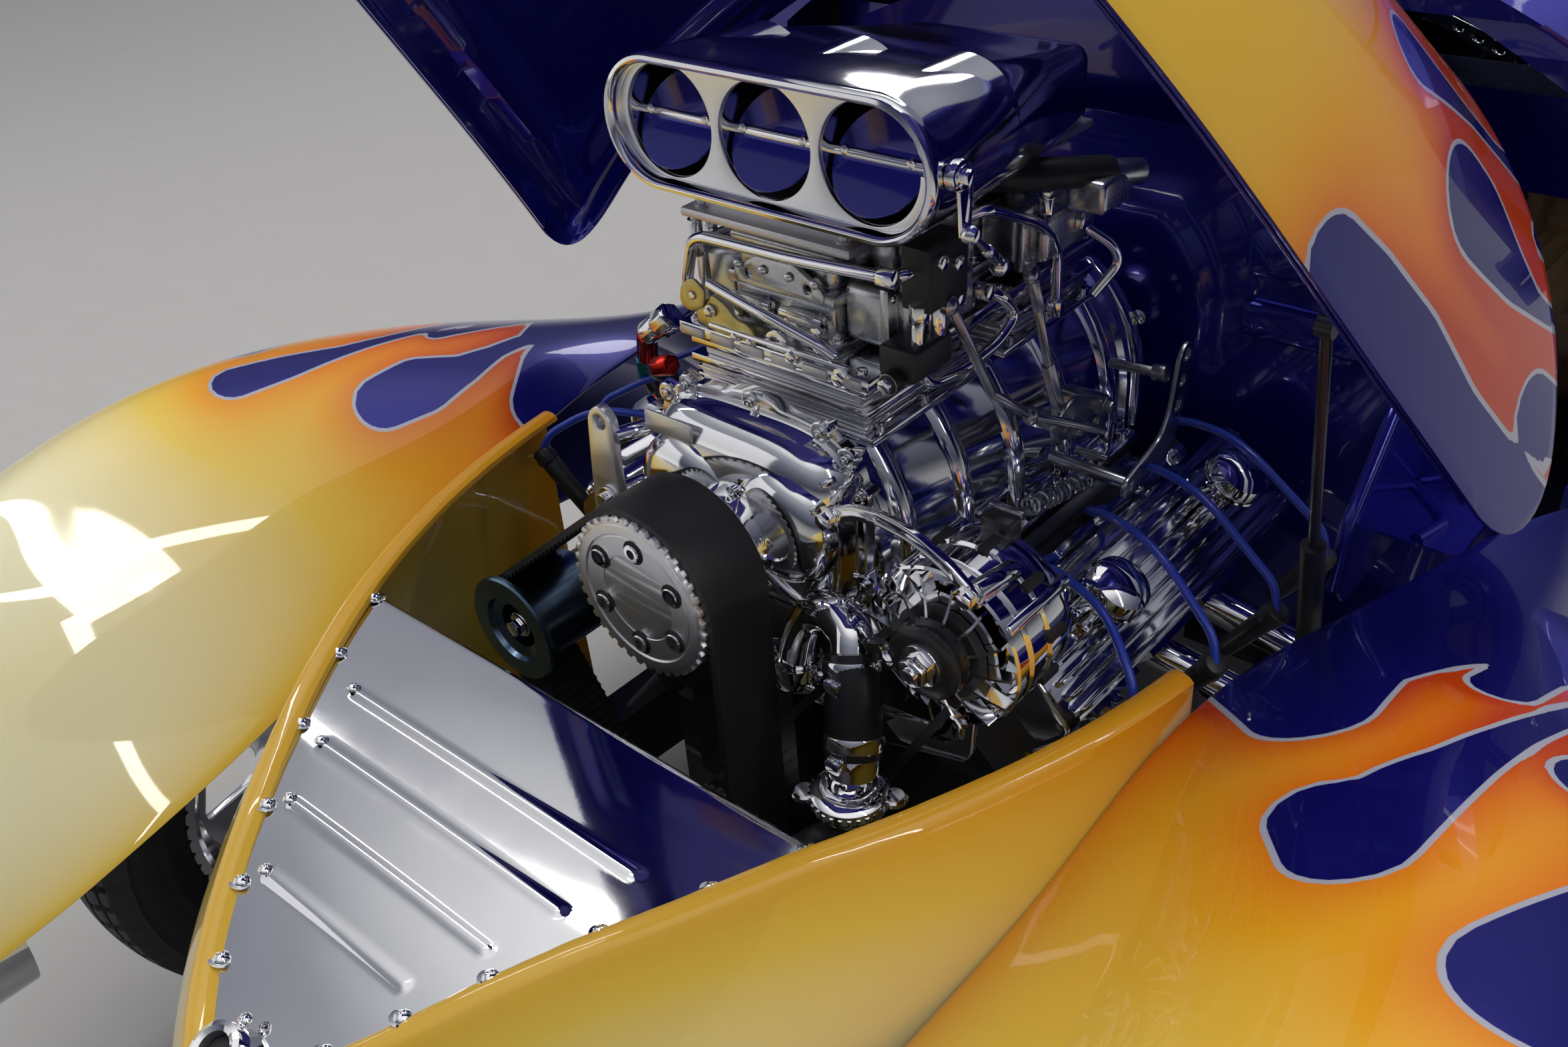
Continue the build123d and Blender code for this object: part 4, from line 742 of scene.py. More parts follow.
# Nose shell with its rolled lip, cut for the grille
def noseWarmthAndSeamShade(x, y, z, u, v):
    lip = rowAt(nose["lip"], y)[0] if y > -1960 else 672
    # Painted shade: the seam term deepens the paint to orange near the seam with the fender, for the shade
    # in the valley between the panels
    seam = 0.28 * exp(-max(860 - abs(u), 0) / 60)
    return 0.03 + 0.30 * exp(-max(lip - z, 0) / 70) + seam + 0.12 * blendStep(-1800, -1250, y)


noseLevels = [i / nose["levels"] for i in range(nose["levels"] + 1)] + [2, 3, 4, 5, 6]
bm = panelGrid(2 * nose["half"], noseLevels, noseRow, None, noseWarmthAndSeamShade)
cutOutline(bm, roundedOutline(nose["grille"], 26), "y", lambda c: c.y < -1.60)
faceOutwards(bm, (0, -1.45, 0.60))
piece = finishObject(bm, "noseShell", "chassis", ("nose_shell",), ["flames", "deepBlue", "flames"])
thicken(piece, 0.004, 0, 0)
print("nose shell")


# Hood, built closed and then turned about its hinge
hoodLobes = (
    ((668, -985, 27), (690, -930, 32), (735, -860, 46), (800, -780, 60), (850, -690, 70), (900, -600, 80)),
    ((590, -785, 52), (600, -760, 50), (633, -710, 31), (657, -655, 13), (667, -600, 8)),
    ((752, -640, 35), (760, -590, 30), (770, -540, 30)),
    ((335, -730, 48), (352, -690, 50), (380, -640, 40), (400, -580, 40)),
    ((470, -860, 34), (480, -800, 22), (492, -740, 12), (510, -670, 10), (520, -600, 20)),
    ((590, -620, 18), (600, -580, 16)),
    ((200, -800, 40), (205, -740, 26), (215, -680, 14), (220, -600, 20)),
    ((0, -820, 34), (0, -760, 26), (0, -690, 14), (0, -600, 30)),
    ((0, -520, 95), (420, -520, 95)))


def hoodFlames(u, v):
    return flameDistance(hoodLobes, abs(u), v)


def hoodWarmth(x, y, z, u, v):
    return 0.04 + 0.28 * blendStep(-1800, -1150, v) + 0.50 * blendStep(-1100, -640, v)


def cornerOutline(inward):
    corner, reach = Vector(hood["corner"]), hood["cornerReach"]
    forward, rise = Vector((-0.997, 0.080)), Vector((-0.174, 0.985))
    corner += (forward + rise) * inward
    start, end = corner + forward * reach, corner + rise * reach
    curve = [start * (1 - t) ** 2 + corner * 2 * t * (1 - t) + end * t * t
        for t in (i / 12 for i in range(13))]
    away = -(forward + rise).normalized() * 60
    return [(p.x, p.y) for p in curve + [end + away, corner + away * 2.5, start + away]]


def hoodPlate(rowFunction, name, facing, finish, stands, cut):
    levels = [j / hood["levels"] for j in range(hood["levels"] + 1)]
    bm = panelGrid(2 * hood["half"], levels, rowFunction, hoodFlames, hoodWarmth)
    cx, cy, w, d, r = cut
    box = [(cx - w / 2, cy - d / 2), (cx + w / 2, cy - d / 2), (cx + w / 2, cy + d / 2),
        (cx - w / 2, cy + d / 2)]
    cutOutline(bm, roundedOutline(box, r, 6), "z", lambda c: c.z > 0.95)
    cutOutline(bm, cornerOutline(0 if facing > 0 else 9), "x", lambda c: c.y > -0.72 and c.z < 0.90)
    faceOutwards(bm, (0, -1.15, 0.70))
    if facing < 0:
        bmesh.ops.reverse_faces(bm, faces=bm.faces[:])
    openHood(bm)
    return finishObject(bm, name, "hood", stands, finish)


def innerHoodRow(t):
    half = hood["half"]
    row = []
    for i, (x, y, z, s, v) in enumerate(hoodRow(0.012 + t * 0.976, 10.0)):
        total = hoodSection(floor(y), 10.0)[1]
        rim = min(total - abs(s), (y + 1872) * 0.8, (1 - t) * 1100)
        depth = 16 * blendStep(34, 52, rim) - 10 * blendStep(70, 96, rim)
        depth *= blendStep(40, 130, abs(y + 1350))
        shrink = 1 - depth / max(hypot(x, z - 700), 60)
        row.append((x * shrink, y, 700 + (z - 700) * shrink, s, v))
    return row


piece = hoodPlate(hoodRow, "hoodSkin", 1, ["flames", "bayBlue", "bayBlue"], ("hood",), hood["hole"])
thicken(piece, 0.004, 1, 2, 0.0016)
cx, cy, w, d, r = hood["hole"]
piece = hoodPlate(innerHoodRow, "hoodInner", -1, ["bayBlue"], (), (cx, cy, w + 4, d + 4, r))
thicken(piece, 0.003)
print("hood")


# Small forms, in millimetres: each is closed, rounded and poured into the piece
mm = 0.001
across, ahead, upward = Vector((1, 0, 0)), Vector((0, -1, 0)), Vector((0, 0, 1))


def pour(bm, part, material=0):
    for f in part.faces:
        f.material_index = material
    mesh = bpy.data.meshes.new("poured")
    part.to_mesh(mesh)
    part.free()
    bm.from_mesh(mesh)
    bpy.data.meshes.remove(mesh)


def softenEdges(part, width, segments=2, angle=32):
    edges = [e for e in part.edges if len(e.link_faces) == 2 and e.calc_face_angle(0) > radians(angle)]
    if width and edges:
        bmesh.ops.bevel(part, geom=edges, offset=width * mm, offset_type="OFFSET", segments=segments,
            profile=0.5, affect="EDGES", material=-1)


def place(part, at, axis):
    turn = Vector(axis).to_track_quat("Z", "Y").to_matrix().to_4x4()
    bmesh.ops.transform(part, matrix=Matrix.Translation(Vector(at) * mm) @ turn, verts=part.verts[:])


def slab(bm, low, high, edge=1.5, material=0, turn=0.0):
    part = bmesh.new()
    bmesh.ops.create_cube(part, size=1.0)
    bmesh.ops.scale(part, vec=(Vector(high) - Vector(low)) * mm, verts=part.verts[:])
    softenEdges(part, edge, 3 if edge > 3 else 2)
    bmesh.ops.rotate(part, cent=(0, 0, 0), matrix=Matrix.Rotation(turn, 3, "X"), verts=part.verts[:])
    bmesh.ops.translate(part, vec=(Vector(low) + Vector(high)) * 0.5 * mm, verts=part.verts[:])
    pour(bm, part, material)


def rod(bm, a, b, r, r2=None, sides=28, edge=0.8, material=0):
    a, b = Vector(a), Vector(b)
    part = bmesh.new()
    bmesh.ops.create_cone(part, cap_ends=True, cap_tris=False, segments=sides, radius1=r * mm,
        radius2=(r if r2 is None else r2) * mm, depth=(b - a).length * mm)
    softenEdges(part, edge)
    place(part, (a + b) / 2, b - a)
    pour(bm, part, material)


def lathe(bm, profile, at, axis, sides=56, material=0, closed=False):
    part = bmesh.new()
    line = [part.verts.new((r * mm, 0, h * mm)) for r, h in profile]
    edges = [part.edges.new(pair) for pair in zip(line, line[1:])]
    if closed:
        edges.append(part.edges.new((line[-1], line[0])))
    bmesh.ops.spin(part, geom=line + edges, cent=(0, 0, 0), axis=(0, 0, 1), dvec=(0, 0, 0), angle=tau,
        steps=sides, use_merge=False, use_duplicate=False)
    bmesh.ops.remove_doubles(part, verts=part.verts[:], dist=1e-6)
    bmesh.ops.recalc_face_normals(part, faces=part.faces[:])
    place(part, at, axis)
    pour(bm, part, material)


def bentPath(points, radius, steps=6):
    points = [Vector(p) for p in points]
    path = [points[0]]
    for a, p, b in zip(points, points[1:], points[2:]):
        r = min(radius, (a - p).length * 0.48, (b - p).length * 0.48)
        start, end = p + (a - p).normalized() * r, p + (b - p).normalized() * r
        path += [start * (1 - t) ** 2 + p * 2 * t * (1 - t) + end * t * t
            for t in (i / steps for i in range(steps + 1))]
    return path + [points[-1]]


def skin(part, rings, closed=True):
    rows, count = len(rings), len(rings[0])
    wide = count if closed else count - 1
    made = bmesh.ops.create_grid(part, x_segments=wide, y_segments=rows - 1, size=1.0)["verts"]
    for v in made:
        j, i = round((v.co.y + 1) / 2 * (rows - 1)), round((v.co.x + 1) / 2 * wide) % count
        v.co = Vector(rings[j][i]) * mm
    bmesh.ops.remove_doubles(part, verts=made, dist=1e-7)


def capped(part):
    bmesh.ops.holes_fill(part, edges=[e for e in part.edges if e.is_boundary], sides=0)
    bmesh.ops.recalc_face_normals(part, faces=part.faces[:])


def loft(bm, rings, material=0):
    part = bmesh.new()
    skin(part, rings)
    capped(part)
    pour(bm, part, material)


def sweep(bm, points, r, radius=20, sides=12, material=0, steps=6):
    path = bentPath(points, radius, steps)
    path = [p for k, p in enumerate(path) if k == 0 or (p - path[k - 1]).length > 0.05]
    heading = (path[1] - path[0]).normalized()
    side = heading.orthogonal().normalized()
    rings = []
    for k, p in enumerate(path):
        a, b = path[max(k - 1, 0)], path[min(k + 1, len(path) - 1)]
        turned = (b - a).normalized()
        side = (side - turned * side.dot(turned)).normalized()
        other = turned.cross(side)
        rings.append([p + side * r * cos(tau * i / sides) + other * r * sin(tau * i / sides)
            for i in range(sides)])
    loft(bm, rings, material)


def circleOutline(x, y, r, count):
    return [(x + r * cos(tau * i / count), y + r * sin(tau * i / count)) for i in range(count)]


def plate(bm, outline, at, xAxis, yAxis, depth, edge=0.8, holes=(), material=0):
    part = bmesh.new()
    xAxis, yAxis, at = Vector(xAxis).normalized(), Vector(yAxis).normalized(), Vector(at)
    edges = []
    for loop in (outline, *holes):
        ring = [part.verts.new((at + xAxis * x + yAxis * y) * mm) for x, y in loop]
        edges += [part.edges.new(pair) for pair in zip(ring, ring[1:] + ring[:1])]
    bmesh.ops.triangle_fill(part, use_beauty=True, use_dissolve=False, edges=edges)
    if not holes:
        bmesh.ops.dissolve_faces(part, faces=part.faces[:])
    made = bmesh.ops.extrude_face_region(part, geom=part.faces[:])["geom"]
    bmesh.ops.translate(part, vec=xAxis.cross(yAxis) * depth * mm,
        verts=[g for g in made if isinstance(g, bmesh.types.BMVert)])
    bmesh.ops.recalc_face_normals(part, faces=part.faces[:])
    softenEdges(part, edge, 2, 50)
    pour(bm, part, material)


def bolt(bm, at, axis, r, kind="hex", material=0):
    at, axis = Vector(at), Vector(axis).normalized()
    if kind == "hex":
        rod(bm, at, at + axis * r * 0.25, r * 1.35, sides=24, edge=0.2, material=material)
        rod(bm, at + axis * r * 0.25, at + axis * r * 1.15, r, sides=6, edge=r * 0.08, material=material)
    elif kind == "socket":
        lathe(bm, ((0, r * 0.45), (r * 0.5, r * 0.45), (r * 0.55, r * 1.3), (r * 0.9, r * 1.3),
            (r, r * 1.2), (r, 0)), at, axis, 20, material)
    else:
        lathe(bm, ((0, r * 0.35), (r * 0.3, r * 0.38), (r * 0.34, r * 0.62), (r * 0.62, r * 0.5),
            (r * 0.92, r * 0.22), (r, 0), (r, -r * 0.1)), at, axis, 24, material)


def stadium(half, rise, centre, fullness, count=60):
    corner = min(half, rise) * fullness
    outline = []
    for quarter, (sx, sz) in enumerate(((1, 1), (-1, 1), (-1, -1), (1, -1))):
        for i in range(count // 4):
            turn = pi / 2 * (quarter + i / (count // 4 - 1))
            outline.append((sx * (half - corner) + corner * cos(turn),
                centre + sz * (rise - corner) + corner * sin(turn)))
    return outline


# Scoop: rolled rim, recessed plate with three bores, body drawn in towards the rear
scoop = dict(face=-1244.0, z=1182.5, hole=50.3, pitch=109.4, shaftBack=24.0, tilt=38.0,
            rim=((-8.0, 10.0), (-7.6, 1.5), (-6.0, -2.5), (-3.0, -4.2), (0.2, -3.4), (2.0, -0.6),
                (2.2, 4.5), (0.6, 9.0), (0.0, 14.0)),
            body=((0, 178, 58.5, 1182.5, 1.0), (60, 175, 58, 1181, 0.96), (130, 165, 55, 1176, 0.90),
                (210, 143, 49, 1167, 0.72), (280, 120, 43, 1158, 0.55), (356, 98, 37.5, 1150.5, 0.42)))
bm = bmesh.new()
part = bmesh.new()
rings = [[(x, scoop["face"] + back, z) for x, z in stadium(178 + grow, 58.5 + grow, scoop["z"], 1.0)]
    for grow, back in scoop["rim"]]
for i in range(1, 24):
    back = 14 + (356 - 14) * i / 23
    half, rise, centre, fullness = rowAt(scoop["body"], back)
    rings.append([(x, scoop["face"] + back, z) for x, z in stadium(half, rise, centre, fullness)])
last = rings[-1]
rings.append([(x * 0.97, scoop["face"] + 360, centre + (z - centre) * 0.94) for x, y, z in last])
skin(part, rings)
bmesh.ops.holes_fill(part, edges=[e for e in part.edges if e.is_boundary and e.verts[0].co.y > -1.0],
    sides=0)
bmesh.ops.recalc_face_normals(part, faces=part.faces[:])
pour(bm, part, 0)
holes = [circleOutline(k * scoop["pitch"], 1184, scoop["hole"], 56) for k in (-1, 0, 1)]
plate(bm, stadium(170.3, 50.8, scoop["z"], 1.0, 80), (0, scoop["face"] + 13, 0), across, upward, 5, 0.9,
    holes, 1)
for k in (-1, 0, 1):
    lathe(bm, ((50.2, 0), (50.2, 130), (53, 130), (53, 0)),
        (k * scoop["pitch"], scoop["face"] + 12.5, 1184), -ahead, 56, 0, True)
    # The near-black disc at the back of each bore is painted shade for the bore's dark depth
    rod(bm, (k * scoop["pitch"], scoop["face"] + 128, 1184),
        (k * scoop["pitch"], scoop["face"] + 131, 1184), 51, material=2)
slab(bm, (-86, -1236, 1108), (86, -884, 1136), 4, 3)
for y in (-1160, -955):
    slab(bm, (-96, y - 88, 1104), (96, y + 88, 1113), 3, 3)
    for sx in (-1, 1):
        for sy in (-1, 1):
            bolt(bm, (sx * 80, y + sy * 74, 1113), upward, 5.5, "hex", 3)
finishObject(bm, "airScoop", "chassis", ("scoop",),
    ["polished", "satin", "inside", "castAluminium"], 40)

bm = bmesh.new()
tilt = radians(scoop["tilt"])
normal = Vector((0, -cos(tilt), sin(tilt)))
shaftY = scoop["face"] + scoop["shaftBack"]
for k in (-1, 0, 1):
    centre = Vector((k * scoop["pitch"], shaftY, 1184)) + normal * -4.2
    lathe(bm, ((0, -1.3), (46.4, -1.3), (47.2, -0.6), (47.2, 0.6), (46.4, 1.3), (0, 1.3)), centre, normal,
        64)
    for dx in (-33, 33):
        lathe(bm, ((0, 7.4), (2.6, 7.0), (4.0, 5.4), (4.2, 0), (0, 0)),
            (k * scoop["pitch"] + dx, shaftY - 1.5, 1184), normal + upward * 0.8, 16, 1)
rod(bm, (-162, shaftY, 1184), (184, shaftY, 1184), 4.6, material=1)
rod(bm, (178, shaftY, 1184), (188, shaftY, 1184), 13, edge=2, material=1)
bolt(bm, (188, shaftY, 1184), across, 7, "hex", 1)
plate(bm, ((-9, -8), (9, -8), (6, -46), (0, -51), (-6, -46)), (189, shaftY - 2, 1184), Vector((0, 1, 0)),
    upward, 4, 0.8, (), 1)
lathe(bm, ((0, 8), (5, 7), (8, 3), (8, -3), (5, -7), (0, -8)), (196, shaftY - 2, 1140), across, 20, 1)
sweep(bm, ((197, shaftY - 2, 1140), (186, -1180, 1108), (176, -1150, 1084)), 3.6, 10, material=1)
rod(bm, (188, -1186, 1112), (180, -1160, 1092), 5.6, sides=6, material=1)
lathe(bm, ((0, 8), (5, 7), (8, 3), (8, -3), (5, -7), (0, -8)), (173, -1146, 1080), across, 20, 1)
finishObject(bm, "scoopButterflies", "chassis", ("butterflies",), ["bayBlue", "chrome"], 40)
print("scoop")


# Blower case: ribbed body, flanges and rear plate
blower = dict(front=-1262.0, rear=-815.0, half=125.0, base=742.0, top=938.0, ribs=5, pitch=88.0)


def blowerOutline(grow, count=9):
    w, base, top = blower["half"] + grow, blower["base"], blower["top"] + grow * 0.8
    side = [(w, base), (w, base + 40), (w, base + 70)] + arcThrough((w, base + 70), (w * 0.86, base + 143),
        (w * 0.50, top), count)[1:]
    return side + [(-x, z) for x, z in side[::-1]]


bm = bmesh.new()
rings = []
steps = [(0, 3.0), (3, 6.0), (14, 6.0), (17, 3.0), (20, 0.0)]
for i in range(blower["ribs"]):
    y = 38 + i * blower["pitch"]
    steps += [(y - 9, 0.0), (y - 5, 1.0), (y - 2, 5.5), (y + 2, 9.0), (y + 8, 10.4), (y + 14, 9.0),
        (y + 18, 5.5), (y + 21, 1.0), (y + 25, 0.0)]
length = blower["rear"] - blower["front"]
steps = [s for s in steps if s[0] < length - 22] + [(length - 20, 0.0), (length - 17, 3.0),
    (length - 14, 6.0), (length - 2, 6.0), (length, 4.0)]
for back, grow in sorted(steps):
    rings.append([(x, blower["front"] + back, z) for x, z in blowerOutline(grow)])
loft(bm, rings)
for sx in (1, -1):
    slab(bm, (sx * 136 - 11, -1258, 742), (sx * 136 + 11, -818, 756), 3)
    for i in range(7):
        bolt(bm, (sx * 138, -1236 + i * 66, 756), upward, 6, "socket", 1)
    for i in range(blower["ribs"] - 1):
        y = blower["front"] + 38 + (i + 0.5) * blower["pitch"] + 8
        slab(bm, (sx * 128 - 4, y - 26, 770), (sx * 128 + 4, y + 26, 776))
        slab(bm, (sx * 128 - 4, y - 26, 796), (sx * 128 + 4, y + 26, 801))
rear = [(x * 1.05, z) for x, z in blowerOutline(4, 14)]
plate(bm, rear, (0, -815, 0), across, upward, -18, 3.0)
for x in (-52, 52):
    lathe(bm, ((0, 26), (26, 26), (34, 22), (38, 12), (60, 8), (62, 0)), (x, -797, 838), -ahead, 40)
for sx in (1, -1):
    for z in (760, 820, 880):
        bolt(bm, (sx * 122, -797, z), -ahead, 6, "hex", 1)
finishObject(bm, "blowerCase", "chassis", ("blower_case",), ["polished", "chrome"], 36)

# Front cover: scalloped flange with bolts, two bearing domes, gear case and snout
cover = dict(front=-1262.0, bolts=14, halfWide=124.0, halfHigh=104.0, z=856.0, square=0.52, lug=0.085)
bm = bmesh.new()


def coverOutline(grow, lobes=True):
    outline = []
    count = 168
    for i in range(count):
        turn = tau * i / count
        c, s = cos(turn), sin(turn)
        power = cover["square"]
        x = (cover["halfWide"] + grow) * (abs(c) ** power) * (1 if c >= 0 else -1)
        z = (cover["halfHigh"] + grow) * (abs(s) ** power) * (1 if s >= 0 else -1)
        swell = 1 + (cover["lug"] * max(0.0, cos(cover["bolts"] * (turn - pi / 2))) ** 4 if lobes else 0)
        outline.append((x * swell, cover["z"] + z * swell))
    return outline


rings = []
for back, grow, lobes in ((0, -2, True), (-1.5, 0, True), (-14, 0, True), (-15.5, -1.5, True),
        (-16, -7, False), (-19, -10, False), (-30, -12, False), (-40, -17, False), (-47, -25, False),
        (-52, -36, False), (-55, -50, False)):
    rings.append([(x, cover["front"] + back, z) for x, z in coverOutline(grow, lobes)])
loft(bm, rings)
for i in range(cover["bolts"]):
    turn = tau * i / cover["bolts"] + pi / 2
    c, s = cos(turn), sin(turn)
    x = (cover["halfWide"] - 1) * abs(c) ** cover["square"] * (1 if c >= 0 else -1)
    z = cover["z"] + (cover["halfHigh"] - 1) * abs(s) ** cover["square"] * (1 if s >= 0 else -1)
    lathe(bm, ((10.5, 0), (10.5, 3.5), (9.2, 4.5), (6.6, 4.5), (6.4, 2.0), (0, 2.0)),
        (x, cover["front"] - 13, z), ahead, 24)
    bolt(bm, (x, cover["front"] - 15, z), ahead, 4.6, "socket", 1)
for sx in (-1, 1):
    lathe(bm, ((58, -6), (56, 3), (51, 11), (42, 17), (30, 20.5), (24, 21), (22.5, 18.5), (20, 18),
        (0, 18)), (sx * 58, cover["front"] - 48, 866), ahead)
plate(bm, roundedOutline([(-30, -11), (30, -11), (30, 11), (-30, 11)], 5),
    (-70, cover["front"] - 53.5, 930), across, upward, 2.2, 0.8, (), 2)
lathe(bm, ((66, 0), (64, 12), (58, 22), (54, 26), (52, 96), (40, 98), (38, 98)),
    (0, cover["front"], 840), ahead)
for k in range(6):
    turn = tau * k / 6 + 0.3
    bolt(bm, (58 * cos(turn), cover["front"] - 60, 840 + 58 * sin(turn)), ahead, 5, "socket", 1)
for sx in (-1, 1):
    sweep(bm, ((sx * 96, cover["front"] - 40, 780), (sx * 60, cover["front"] - 54, 800),
        (sx * 40, cover["front"] - 58, 820)), 7, 30)
    sweep(bm, ((sx * 96, cover["front"] - 36, 900), (sx * 74, cover["front"] - 54, 886)), 7, 30)
finishObject(bm, "blowerCover", "chassis", ("blower_cover",), ["polished", "chrome", "satin"], 36)
print("blower")


# Drive: toothed pulleys, idler drum and the wide belt with its teeth
drive = dict(face=-1440.0, upper=(0.0, 840.0, 79.0), crank=(0.0, 470.0, 76.0), idler=(-195.0, 720.0, 46.0),
    teeth=39)


def gearOutline(radius, teeth, depth=4.4):
    outline = []
    for i in range(teeth):
        for part, r in ((0.06, radius), (0.50, radius), (0.62, radius - depth), (0.94, radius - depth)):
            turn = tau * (i + part) / teeth
            outline.append((r * cos(turn), r * sin(turn)))
    return outline


def toothedPulley(bm, x, z, radius, teeth):
    face = drive["face"]
    plate(bm, gearOutline(radius, teeth), (x, face + 82, z), across, upward, 82, 0.35)
    lathe(bm, ((radius - 7, 0.0), (radius - 7, 1.0), (radius - 9, 1.4), (64, 1.4), (62, -0.4), (61, 0.6),
        (42, 0.6), (39, -2), (37, -15), (22, -16), (20, -13), (0, -13)), (x, face, z), ahead, 72)


bm = bmesh.new()
x, z, r = drive["upper"]
toothedPulley(bm, x, z, r, drive["teeth"])
for k in range(6):
    turn = tau * k / 6 + 0.45
    spot = Vector((x + 50 * cos(turn), drive["face"], z + 50 * sin(turn)))
    # A near-black ring round each bolt head is a painted shadow for the counterbore
    lathe(bm, ((11.6, 0.2), (11.6, 0.9), (10.9, 1.1), (10.4, 0.8), (0, 0.8)), spot, ahead, 32, 2)
    bolt(bm, spot - ahead * 7.0, ahead, 8.6, "socket", 1)
# Two small near-black plugs are painted shade standing for holes in the pulley face
for k in (0.16, 0.30):
    turn = tau * k
    lathe(bm, ((3.4, 0.7), (3.4, -6), (0, -6)), (x + 66 * cos(turn), drive["face"], z + 66 * sin(turn)),
        ahead, 16, 2)
x, z, r = drive["crank"]
toothedPulley(bm, x, z, r, 37)
bolt(bm, (x, drive["face"] - 2, z), ahead, 16, "hex", 1)
x, z, r = drive["idler"]
lathe(bm, ((0, -70), (22, -70), (24, -4), (30, -2), (34, 0), (36, 5), (56, 5), (58, 3), (58, -1),
    (46.3, -2), (46.3, -82), (0, -82)), (x, drive["face"], z), ahead, 56, 3)
rod(bm, (x, drive["face"] + 60, z), (x, drive["face"] + 6, z), 14, sides=32, material=1)
bolt(bm, (x, drive["face"] + 6, z), ahead, 9, "hex", 1)
finishObject(bm, "drivePulleys", "chassis", ("drive_pulleys",),
    ["satin", "chrome", "inside", "blueSteel"], 36)


def loopAround(circles, grow, count):
    spots = []
    n = len(circles)
    for k in range(n):
        x, z, r = circles[k]
        px, pz, pr = circles[k - 1]
        nx, nz, nr = circles[(k + 1) % n]

        def offset(ax, az, ar, bx, bz, br):
            d = hypot(bx - ax, bz - az)
            lean = atan2(bz - az, bx - ax)
            return lean - pi / 2 + atan2(ar - br, sqrt(d * d - (ar - br) ** 2))
        start, end = offset(px, pz, pr, x, z, r), offset(x, z, r, nx, nz, nr)
        while end < start:
            end += tau
        steps = max(2, int((end - start) / 0.02))
        spots += [(x + (r + grow) * cos(start + (end - start) * i / steps),
            z + (r + grow) * sin(start + (end - start) * i / steps)) for i in range(steps + 1)]
    spots.append(spots[0])
    return [(x, z) for x, z, s in evenLine(spots, count)][:-1]


def beltPiece(bm, circles, y, width, thick, teeth=0, toothDepth=3.6, grow=0.4):
    count = teeth * 6 if teeth else 260
    inner = loopAround(circles, grow, count)
    outer = loopAround(circles, grow + thick, count)
    if teeth:
        deep = []
        for k, (p, q) in enumerate(zip(inner, outer)):
            lift = toothDepth * (0.0 if k % 6 in (0, 1) else 1.0) * 0.9
            d = hypot(q[0] - p[0], q[1] - p[1])
            deep.append((p[0] - (q[0] - p[0]) / d * (lift - toothDepth * 0.9) * -1,
                p[1] - (q[1] - p[1]) / d * (lift - toothDepth * 0.9) * -1))
        inner = deep
    part = bmesh.new()
    edge = 0.8
    rings = []
    for line, back in ((inner, 0), (outer, 0), (outer, width), (inner, width), (inner, 0)):
        rings.append([(x, y + back, z) for x, z in line])
    rings.insert(2, [(x, y + edge, z) for x, z in loopAround(circles, grow + thick + 0.3, count)])
    skin(part, rings)
    bmesh.ops.remove_doubles(part, verts=part.verts[:], dist=1e-6)
    bmesh.ops.recalc_face_normals(part, faces=part.faces[:])
    pour(bm, part)


bm = bmesh.new()
beltPiece(bm, (drive["upper"], drive["idler"], drive["crank"]), drive["face"] + 4, 72, 5.6, 150)
beltPiece(bm, ((252, 840, 34), (0, 470, 60)), drive["face"] + 90, 10, 8)
finishObject(bm, "driveBelts", "chassis", ("belts",), ["beltRubber"], 36)
print("drive")


# Alternator with its fan, case and nut, then its slotted arm and the other brackets
alternator = dict(x=252.0, y=-1332.0, z=840.0, front=-1370.0)
bm = bmesh.new()
ax, ay, az = alternator["x"], alternator["y"], alternator["z"]
lathe(bm, ((0, 0), (60, 0), (70, -3), (74, -8), (74, -26), (71, -28), (71, -32), (74, -34), (74, -56),
    (70, -70), (56, -80), (30, -84), (0, -84)), (ax, ay + 4, az), ahead, 72)
lathe(bm, ((0, 0), (50, 0), (52, 1.5), (50, 3), (0, 3)), (ax, ay - 4, az), ahead, 56, 1)
for k in range(15):
    turn = tau * k / 15
    c, s = cos(turn), sin(turn)
    radial, along = Vector((c, 0, s)), Vector((-s, 0, c))
    rows = []
    for t in (0.0, 0.33, 0.66, 1.0):
        r = 36 + 36 * t
        mid = radial * r + along * (5 * t * t) + Vector((ax, ay - 8, az))
        rise = 17 - 5 * t
        rows.append([mid + along * 1.2, mid + along * 1.2 + ahead * rise, mid - along * 1.2 + ahead * rise,
            mid - along * 1.2])
    loft(bm, rows, 1)
lathe(bm, ((74.5, 2), (74.5, -10), (72.5, -12), (72.5, 4)), (ax, ay - 6, az), ahead, 72, 0, True)
lathe(bm, ((0, 34), (22, 34), (31, 33), (34.5, 31), (34.5, 28), (29, 24), (29, 20), (34.5, 16), (34.5, 12),
    (30, 9), (0, 9)), (ax, ay - 4, az), ahead, 56, 2)
rod(bm, (ax, ay - 37, az), (ax, ay - 40, az), 19, sides=36, edge=0.5)
rod(bm, (ax, ay - 40, az), (ax, ay - 53, az), 14, sides=6, edge=1.2, material=1)
rod(bm, (ax, ay - 52, az), (ax, ay - 57, az), 7, sides=20, material=1)
for k in range(4):
    turn = tau * k / 4 + 0.6
    rod(bm, (ax + 70 * cos(turn), ay - 6, az + 70 * sin(turn)),
        (ax + 70 * cos(turn), ay + 78, az + 70 * sin(turn)), 6.5, sides=18)
# Ten near-black blocks on the case band are painted shade standing for its vent slots
for k in range(10):
    turn = tau * k / 10 + 0.2
    spot = Vector((ax + 73.6 * cos(turn), ay + 44, az + 73.6 * sin(turn)))
    slab(bm, spot - Vector((4, 12, 4)), spot + Vector((4, 12, 4)), 1.5, 3)
slab(bm, (ax - 12, ay + 60, az + 62), (ax + 18, ay + 78, az + 86), 3, 2)
finishObject(bm, "alternator", "chassis", ("alternator",),
    ["chrome", "polished", "blackSteel", "inside"], 36)

